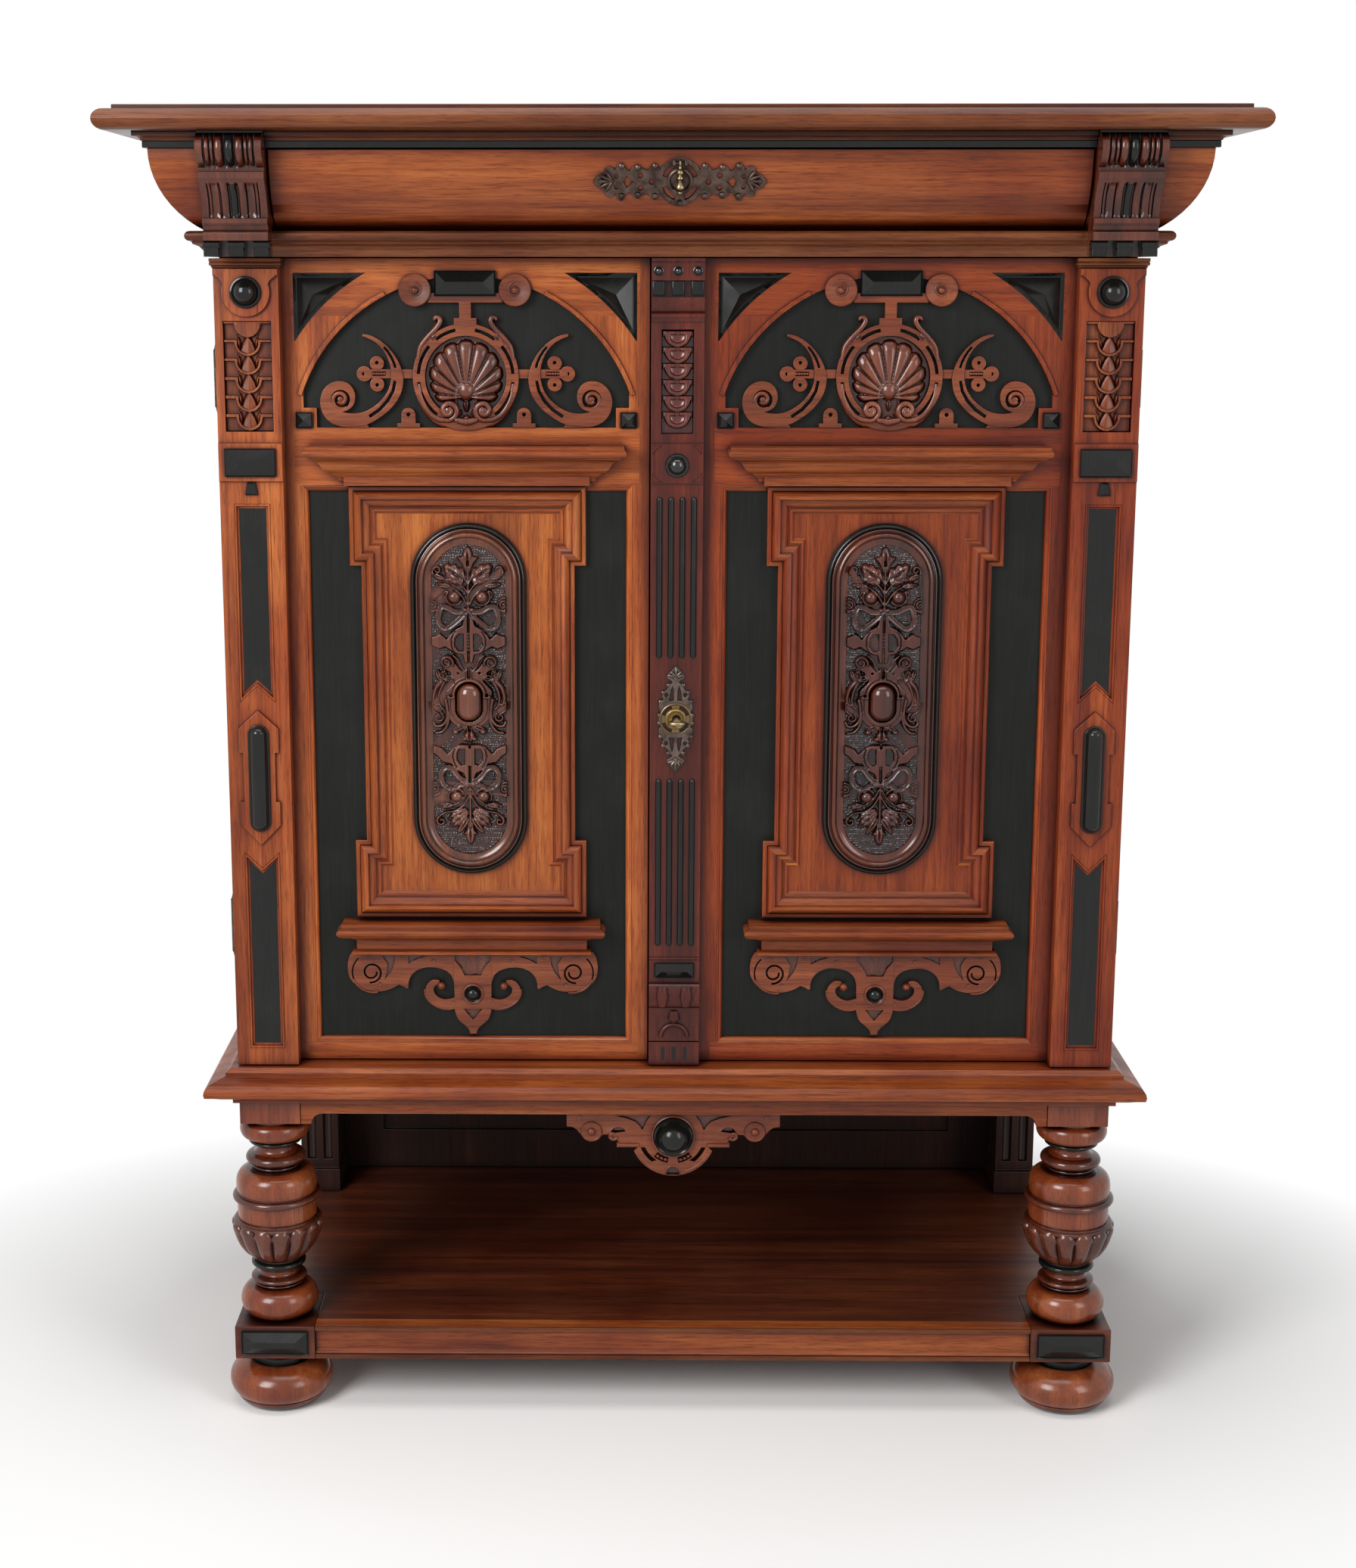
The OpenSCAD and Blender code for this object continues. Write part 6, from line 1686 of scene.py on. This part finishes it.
    # Acanthus at both sides
    lay(leaf(a, v, (26, 22), (42, 36), 5.0, 6.4, 2))
    lay(leaf(a, v, (29, 30), (33, 44), 4.4, 6.0, 2))
    lay(leaf(a, v, (40, 40), (34, 24), 4.2, 7.0, 2))
    creeper([(34, 26), (41, 17), (44, 5), (42, -3), (38, -4)], 5, 3.8, 2.4, 8.2)
    creeper([(31, 24), (36, 14), (38, 4), (36, -5), (32, -10)], 5, 3.0, 2.2, 6.6)
    creeper([(46, -2), (45, -11), (38, -16)], 5, 2.4, 1.8, 6.2)
    creeper([(29, 2), (27, -10), (28, -22), (34, -30), (42, -31), (45, -26)], 5, 3.4, 2.2, 6.8)
    creeper([(26, -14), (27, -28), (34, -38), (42, -40)], 5, 3.0, 2.0, 6.0)
    lay(stem(a, v, curl(38, -20, 6.6, 1.4, 120, 1.3), 2.2, 1.4, 5.6))
    # Cartouche ring, nails and drop
    egg = np.hypot(u / 15.8, np.sign(v) * np.maximum(np.abs(v) - 8, 0) / 15.8)
    lay(np.where((egg < 1.42) & (egg >= 0.98), 5.8, UNDER))
    lay(np.where(egg < 1.0, 4.0 + 9.5 * np.sqrt(np.clip(1 - (egg / 0.99) ** 2, 0, 1)), UNDER))
    h = np.where((egg >= 0.99) & (egg < 1.08), 3.0, h)
    for cx, cz in ((13, 36), (22, 8)):
        h = np.where(np.hypot(a - cx, v - cz) < 1.4, 1.5, h)
    lay(leaf(a, v, (6, -30), (20, -37), 5.0, 7.0, 1))
    lay(dot(a, v, 17, -38, 5, 4, 7.4))
    lay(plate(inside(a, v, [(0, -30), (6, -31), (4, -40), (0, -40)]), 6.6, 3))
    lay(leaf(u, v, (0, -36), (0, -53), 8.5, 7.6, 1))
    lay(dot(a, v, 6, -47, 4, 3.4, 7.0))
    # Lower strap
    strap_low = [(0, -54), (14, -54), (21, -58), (28, -65), (33, -59), (40, -56), (47, -54), (47, -66), (41, -70),
        (34, -78), (24, -80), (18, -88), (9, -92), (6, -100), (0, -104)]
    lay(plate(inside(a, v, strap_low), 4.6, 2.6))
    sunk(inside(a, v, [(6, -60), (6, -80), (11, -81), (16, -75), (16.5, -66), (13, -60)]), 0.6)
    gap, _ = to_line(a, v, arc(0, -70, 21, 75, -40, 14))
    h = np.where(gap < 0.75, np.minimum(h, 3.4), h)
    lay(np.where((a < 2.2) & (v < -59) & (v > -82), 5.4, UNDER))
    # Lower flower
    lay(dot(a, v, 4.2, -105, 3.8, 3.8, 6.2))
    lay(ribbon([(4, -104), (14, -96), (22, -86), (30, -84), (36, -92), (34, -104), (27, -110)], 3.7))
    lay(ribbon([(3, -105), (12, -106), (20, -111), (28, -110)], 3.4))
    lay(stem(a, v, [(0, -106), (0, -140), (0, -160)], 2.0, 2.2, 4.6))
    lay(dot(a, v, 17, -121, 8.4, 8.0, 8.0))
    lay(stem(a, v, arc(17, -121, 10, -30, 150, 14), 1.8, 2.0, 5.6))
    creeper([(2, -112), (9, -124), (18, -131), (28, -134)], 4, 1.7, 1.4, 4.8)
    lay(leaf(a, v, (20, -132), (42, -134), 4.8, 5.6, 2))
    creeper([(1, -120), (9, -133), (20, -140), (32, -142), (40, -148)], 4, 1.7, 1.5, 4.8)
    lay(stem(a, v, curl(36.5, -153, 6.4, 1.5, 60, -1.1), 2.2, 1.6, 5.6))
    lay(leaf(a, v, (3, -138), (29, -152), 8.0, 5.8, 3))
    lay(leaf(a, v, (3, -140), (27, -161), 8.5, 5.8, 3))
    lay(leaf(a, v, (2, -148), (17, -170), 5.0, 5.6, 1))
    lay(plate(inside(a, v, [(0, -140), (3, -152), (6, -164), (10, -170), (5, -172), (0, -168)]), 4.4, 2.2))
    lay(leaf(u, v, (0, -160), (0, -184), 7.0, 6.4, 1))
    ground = h < 0.5
    # Punch marks about 3 mm apart, unevenly spaced, with a rough floor
    punched = 0.9 * np.sin(2.0 * u + 1.3 * np.sin(1.7 * v)) * np.sin(2.2 * v + 1.1 * np.sin(1.9 * u))
    return h + np.where(ground, punched + PUNCH.uniform(-0.4, 0.4, h.shape), 0)


PUNCH = np.random.default_rng(7)


def oval_carving():
    hw, hh = 46, 196.4
    span = (U - hw, U + hw, OVAL_Z - hh, OVAL_Z + hh)

    def height(x, z):
        flat = carving_height(x, z)
        over = np.hypot(x - U, np.maximum(np.abs(z - OVAL_Z) - (hh - hw), 0)) > hw + 0.2
        return np.where(over, -2.0, np.where(flat > 1.5, 1.5 + (flat - 1.5) * 1.3, flat))

    carved = relief("carved_oval", span, 0.72, height, OVAL_GROUND)
    for_both_doors("carved_oval", [carved], OVAL_WOOD, "walnut_dark", "oval_carving")


def door_cornices():
    """Pediment over the eared frame, and the bracket cornice with its sawn apron below it."""
    z, h = 1211.0, 49.0
    edge = [
        (0, z), (2, z), (3, z + 3), (6.5, z + 5.5), (7, z + 8), (12, z + 13), (13.5, z + 14), (14, z + 15.5),
        (16, z + 16.2), (20, z + 18),
        (24, z + 21.5), (26.5, z + 26), (30, z + 30.4), (34, z + 32.6), (38.5, z + 34), (39, z + 35.6),
        (42.5, z + 36.6), (44.6, z + 39),
        (45, z + 41.2), (44.4, z + 43.4), (42.6, z + 45), (42, z + 45.4), (42, z + h), (0, z + h),
    ]
    hw, yw, yf = 150.5, dy(24.5), dy(24.0)
    path = [(U + hw, yw), (U + hw, yf), (U - hw, yf), (U - hw, yw)]
    parts = [moulding("pediment", edge, path, level, closed=False)]
    parts.append(board("pediment_core", box(U - hw, z, U + hw, z + h), 14, 10, 0))
    top = 617.5
    z, h, hw = top, 42.0, 145.5
    edge = [
        (0, z), (6, z), (6, z + 3.4), (4.6, z + 4.6), (0.6, z + 5.4), (0.6, z + 17.5), (1.5, z + 18.6),
        (5.5, z + 20.4), (7, z + 22), (7, z + 23.4),
        (11, z + 23.8), (17, z + 24.6), (21.5, z + 27), (23.7, z + 30.4), (23.7, z + 32.4), (22, z + 35),
        (18.6, z + 36.6), (17.6, z + 37.2),
        (17.6, z + h), (0, z + h),
    ]
    front = dy(14)
    path = [(U + hw, dy(31)), (U + hw, front), (U - hw, front), (U - hw, dy(31))]
    parts.append(moulding("bracket", edge, path, level, closed=False))
    parts.append(board("bracket_core", box(U - hw, z, U + hw, z + h), 13.6, 17, 0))
    clad(parts, FRAME_ALONG)
    for_both_doors("door_cornices", parts, FRAME_ALONG, "walnut", "cornices")
    wing = flowing(
        corners((22, top), (153, top))
        + [(158, 609), (160, 597), (158.4, 584), (151, 573), (138, 566), (121, 563.4), (106, 566.4)]
        + corners((95, 572.4))
        + [(89, 570)]
        + corners((84.5, 567), (82.4, 568.6))
        + [(82, 576), (79, 584), (72, 591), (60, 595.4), (46, 595), (34, 591), (27, 584)]
        + corners((24, 574), (22, 560)),
        closed=True,
    )
    path = flowing([(20, 549), (34, 546), (46, 549.6), (54, 558), (55.4, 568), (50, 575), (42.6, 575.4)], 4)
    n = len(path)
    hook = strap(path, [15 - (k / (n - 1)) ** 1.6 * 8.6 for k in range(n)])
    heart = flowing(
        corners((0, top), (23, top))
        + [(24.4, 590), (24, 572), (23.6, 552)]
        + corners((23.4, 538))
        + [(19.5, 527), (10, 518), (5.4, 512.5)]
        + corners((4.2, 507.5), (0, 507.5))
    )
    heart = both_sides(heart)
    # Stippled hollows, spiral cuts and a fine groove
    side = 22.8
    crest = [(-side, top - 6), (-6, top - 6)] + arc(0, top - 6, 5.4, 180, 360, 9)
    crest += [(side, top - 6), (side, top - 12)]
    crest += [(15, top - 22), (10.4, top - 32), (-10.4, top - 32), (-15, top - 22), (-side, top - 12)]
    leaf_cut = [(115, 610.5), (99, 610.5), (100.4, 600), (104.5, 590), (112.5, 580), (109.6, 590), (108.6, 600)]
    small_cut = [(81.8, 610.5), (60, 610.5), (71, 607), (82, 601)]
    spiral = curl(129.5, 589, 14, 6.4, -80, -1.3, 44)
    spiral_cut = strap(spiral, [2.2] * 44)
    groove = strap(arc(129, 589, 25, 48, -26, 14), 1.5)
    shapes = []
    for loops in ([wing, leaf_cut, small_cut, spiral_cut, groove], [hook]):
        shapes.append(loops)
        shapes.append([flipped(loop) for loop in loops])
    tongue = [(-11.5, 540.5), (11.5, 540.5), (6.5, 534), (0, 526.5), (-6.5, 534)]
    shapes.append([heart, crest, tongue])
    saw = fret("apron", shapes, FIELD_D, 6, 0.7)
    hollows = ((-22.9, 22.9, 584, 612), (-12, 12, 526, 541), (58, 83, 600, 611), (98, 116, 579, 611))
    hollows += tuple((-x1, -x0, z0, z1) for x0, x1, z0, z1 in hollows[2:])
    stipple = [
        relief(
            "stipple", (U + x0, U + x1, z0, z1), 1.3, lambda x, z: 0.4 + PUNCH.uniform(-0.5, 0.5, x.shape),
            FIELD_D + 3
        )
        for x0, x1, z0, z1 in hollows
    ]
    marks = []
    for s in (-1, 1):
        ball = [(0, 0), (5, 0), (5, 2.4), (3.6, 4.6), (1.8, 5.6), (0, 5.8)]
        marks.append(knob("ball", ball, U + s * 40, 571.5, FIELD_D + 0.4, 24))
        for x, z in ((133, 611), (90.6, 611), (50, 604.6), (119, 573.4), (25.6, 549)):
            nail = [(0, 0), (2.4, 0), (2.2, 0.8), (1.4, 0.3), (0, 0.3)]
            marks.append(knob("nail", nail, U + s * x, z, FIELD_D + 0.1, 12))
        rim = flowing([(34, 540.4), (46, 543.6), (55, 549.6), (60.6, 558), (61.6, 567)], 4)
        for line, radius in ((rim, 1.3), (arc(127, 590, 27.6, -100, -20, 20), 1.5)):
            marks.append(ridge("rim", [(U + s * x, z) for x, z in line], FIELD_D + 0.3, radius))
    ring = [(10.6, 0), (10.6, 1.6), (11.8, 2.4), (13.4, 1.8), (13.8, 0)]
    marks.append(knob("ring", ring, U, top - 56.6, FIELD_D, 40))
    for_both_doors("sawn_apron", [saw] + marks, SAWN, "walnut")
    for_both_doors("apron_stippled_ground", stipple, CARVED, "walnut_dark")
    return [knob("apron_boss", dome(8.2), U, top - 56.6, FIELD_D)]


def centre_strip():
    """The right door's cover strip: balls, dentils, scales, black reeds and a rolled foot."""
    top = Z_DOOR_TOP
    front = STRIP_FRONT
    low, width = Z_DOOR, STRIP_HW
    scale_hw, scale_low, scale_top = 19.5, top - 209, top - 84
    outline = box(-width, low, width, top)
    slab = fretwork("strip", [[outline, box(-scale_hw, scale_low, scale_hw, scale_top)]], front, 6.4, 0.4)
    parts = [slab, board("strip_back", outline, front + 6.2, 7.8, 0.3)]
    # Mouldings straight across the strip, from its head down to the rolled volute and tongue at its foot
    for points in (
        [(9.5, top - 5), (10, top - 4), (11, top - 3.4), (11, top)],
        [(8, top - 26), (8, top - 5)],
        [(4.6, top - 63)] + [(1.2 + 4.4 * (k / 7) ** 2, top - 63 + 17 * k / 7) for k in range(8)],
        [(5.4, top - 70), (6.4, top - 68.6), (6.4, top - 66), (5, top - 64.6), (3.6, top - 63.4)],
        [(1.5, top - 75), (4.2, top - 70)],
        [(2.2, top - 269), (2.2, top - 221)],
        [(1.2, low + 138), (2, low + 139), (1.2, low + 141)],
        [(6, low + 76), (8.6, low + 78), (10.8, low + 84), (11.4, low + 92), (10.6, low + 99), (8, low + 104.5),
            (5, low + 107)],
        [(3.2, low + 31), (2.6, low + 44), (3.4, low + 58), (5.4, low + 70), (6.4, low + 76)],
        [(6, low), (6, low + 28), (5, low + 30)],
    ):
        loop = [(0, points[0][1])] + points + [(0, points[-1][1])]
        parts.append(bar("strip_run", -width, width, loop, front, 35))
    for s in (-1, 1):
        tab = [(s * 15, dy(front - out), low + up) for out, up in ((10, 104), (12.4, 92), (10.4, 80))]
        parts.append(roll("tab", tab, [6, 8, 5.5], 0.6))
        parts.append(knob("pip", [(0, 0), (2, 0), (1.5, 1.2), (0, 1.6)], s * 22, low + 103, front - 8.6, 12))
        for t, middle in ((1, top - 226), (-1, top - 264)):
            corner = [(s * (24.5 + x), middle + t * z) for x, z in ((5, 3), (-6, 3), (0.5, -1.5), (5, -8))]
            parts.append(board("leaf_corner", corner[:: s * t], front - 3.2, 1.4, 0.5, 1))
    parts.append(ridge("arch", arc(0, low + 36, 17, 5, 175, 20), front - 3.4, 3.0))
    tongue = [(0, dy(front - out), low + up) for out, up in ((4.8, 72), (4.6, 62), (3.6, 55))]
    parts.append(roll("tongue", tongue, [5.4, 8, 2.5], 0.7))
    finish("centre_strip_boards", parts, "right_door", STRIP, "walnut_dark", "centre_strip")
    span = (-scale_hw, scale_hw, scale_low, scale_top)
    scales = relief("strip_scales", span, 0.72, strip_scale_height, front + 6.3)
    finish("strip_scales", [scales], "right_door", STRIP_CARVED, "walnut_dark")
    mounts = []
    ball = [(5 * math.cos(t), 1 + 4.4 * math.sin(t)) for t in np.linspace(0.1, 1.4, 6)]
    ball = [(0, 0), (5.7, 0), (5.7, 0.8), (5.2, 1)] + ball + [(0, 5.5)]
    for k in (-1, 0, 1):
        x, u = k * 23.5, k * 14
        mounts.append(knob("ball", ball, x, top - 15, front - 8, 28))
        mounts.append(board("dentil", box(x - 7.5, top - 43.5, x + 7.5, top - 26.5), front - 6.5, 6.5, 1.8, 3))
        flute = [(u - 2.4, low + 8), (u, low + 5.4), (u + 2.4, low + 8), (u + 2.4, low + 24), (u - 2.4, low + 24)]
        mounts.append(board("flute", flute, front - 6.1, 0.4, 0))
    boss = [(10.7 * math.cos(t), 3 + 9 * math.sin(t)) for t in np.linspace(0.1, 1.45, 8)]
    boss = [(0, 0), (14.4, 0), (14.4, 1.6), (13.4, 2.8), (11.6, 2.4), (11, 3)] + boss + [(0, 12.1)]
    mounts.append(knob("boss", boss, 0, top - 247, front - 2.2, 44))
    for x in (-21, -7, 7, 21):
        for z0, z1 in ((999.5, 1197.5), (630.5, 845.5)):
            ends = [(x, dy(front + 0.3), z) for z in (z0, z0 + 1, z0 + 3, z1 - 3, z1 - 1, z1)]
            mounts.append(roll("reed", ends, [2.2, 3.2, 3.7, 3.7, 3.2, 2.2], resolution=3))
    mounts.append(hipped("foot_stone", 0, low + 124, 50, 19, front, 6, 31, 1.2))
    two_woods(mounts, (BLACK_SHINE, BLACK_GLOSS), [m for m in mounts if m.name.startswith(("ball", "boss"))])
    finish("strip_mounts", mounts, "right_door", (BLACK_SHINE, BLACK_GLOSS), "ebonised")


def strip_scale_height(x, z):
    """Six round scales, each over the next, with a hollow half moon in the middle of each."""
    top = Z_DOOR_TOP - 84
    h = np.full(x.shape, 0.3)
    edge = np.minimum(19.5 - np.abs(x), np.minimum(z - (top - 125), top - z))
    # From the lowest up, so that each scale lies over the one below it
    for k in range(5, -1, -1):
        cz = top - 5 - 19.4 * k
        r = np.hypot(x, z - cz)
        scale = (z < cz + 3) & (np.abs(x) < 16) & ((z > cz) | (r < 16))
        h = np.where(scale, 6.0 - 0.1 * np.clip(z - cz + 16, 0, 19), h)
        h = np.where((z < cz + 3) & (z > cz - 3) & (np.abs(x) < 18.6), np.maximum(h, 3.4), h)
        dish = np.hypot(x / 1.2, z - cz + 3.2)
        h = np.where((dish < 8.4) & (z < cz - 1), 5.0 - 3.6 * np.sqrt(np.clip(1 - (dish / 8.4) ** 2, 0, 1)), h)
        h = np.where((z <= cz + 3) & (z >= cz - 1) & (np.abs(x) < 3), 2.6, h)
    return np.where(edge < 0.4, 0.0, h)


def lock_plate():
    """Cast iron keyhole plate, in two halves that mirror each other, and the key."""
    z = KEY_Z
    front = STRIP_FRONT
    half = (
        [(0, 67), (5, 61), (9, 57), (11, 52), (6, 49), (4, 46), (8, 43), (10, 38)]
        + [(14, 35), (17, 29), (15, 25), (20, 20), (21, 13), (18, 9), (21.8, 4), (21.8, 0)]
    )
    full = flowing(half + [(x, -h) for x, h in reversed(half[:-1])], 2)
    outline = [(x, z + h) for x, h in both_sides(full)]
    holes = [circle(1, z, 5.2, 20)]
    for s in (-1, 1):
        for t in (-1, 1):
            drop = ((2.0, 23.6), (8.2, 23.2), (7.2, 30), (6.2, 36), (4.2, 42), (2.4, 36))
            holes.append([(s * x, z + t * h) for x, h in drop][:: s * t])
            holes.append(circle(s * 11.7, z + t * 30.6, 2.6, 12))
    for start in (18, 108, 198, 288):
        holes.append(arc(0, z, 17.4, start, start + 54, 8) + arc(0, z, 13.6, start + 54, start, 8))
    parts = [fretwork("plate", [[outline] + holes], front - 2.3, 2.3, 0.5)]
    parts.append(knob("ring", [(18.2, 0), (18.2, 1.4), (19.2, 2), (20.2, 1.4), (20.2, 0)], 0, z, front - 2.2, 44))
    parts.append(knob("ring", [(9.4, 0), (9.6, 2.4), (11.2, 3.2), (12.6, 2.2), (12.8, 0)], 0, z, front - 2.2, 44))
    for s in (-1, 1):
        for t in (-1, 1):
            for x, h in ((9.5, 43), (15.5, 33.5), (19, 22), (20.5, 5)):
                parts.append(knob("ball", [(0, 0), (2.4, 0), (2, 1.5), (0, 2.4)], s * x, z + t * h, front - 2.2, 14))
        for k in range(-2, 3):
            a = math.radians(s * 90 + 34 * k)
            out, up = 10.5 * math.cos(a), 13 * math.sin(a) * (1 if k == 0 else 0.72)
            lobe = [(t * out, dy(front - d), z + s * 52 + t * up) for t, d in ((0, 2.4), (0.6, 3), (1, 2.4))]
            parts.append(roll("palmette", lobe, [1, 2.4, 1.1], resolution=2))
        parts.append(knob("nail", [(0, 0), (2.6, 0), (2.2, 1.6), (0, 2.2)], 0, z + s * 51, front - 4, 16))
    finish("door_plate_cast", parts, "right_door", GILT, "iron", "door_plate")
    shaft = [(0, -78), (3, -78), (3, 15), (4.6, 16), (5, 19), (4.2, 21), (3, 22), (3, 26), (4.5, 27), (4.5, 29),
        (0, 30)]
    shaft = knob("shaft", shaft, 1, z, front, 28)
    bpy.ops.object.select_all(action="DESELECT")
    bpy.ops.mesh.primitive_torus_add(major_radius=0.0094, minor_radius=0.0022, major_segments=40, minor_segments=12)
    bow = bpy.context.object
    bow.data.transform(Matrix.Translation((1 * MM, dy(front - 30) * MM, z * MM)) @ Matrix.Diagonal((1, 0.8, 1.15, 1)))
    rounded(bow, 60)
    bit = board("bit", box(1, z - 1.2, 11, z + 1.2), 51, 7, 0.3)
    finish("key_turned", [shaft, bow, bit], "door_key", BRASS, "brass", "key")


stage()
plain_pieces()
stand()
shelf_edge()
case_trim()
drawer_fittings()
arch_part()
eared_frame()
opening_beads()
pilaster()
oval_carving()
black_parts = arch_mounts() + pilaster_mounts() + [oval_surround()] + door_cornices()
for_both_doors("black_mounts", black_parts, BLACK_SHINE, "ebonised", "ebony_mounts")
centre_strip()
lock_plate()
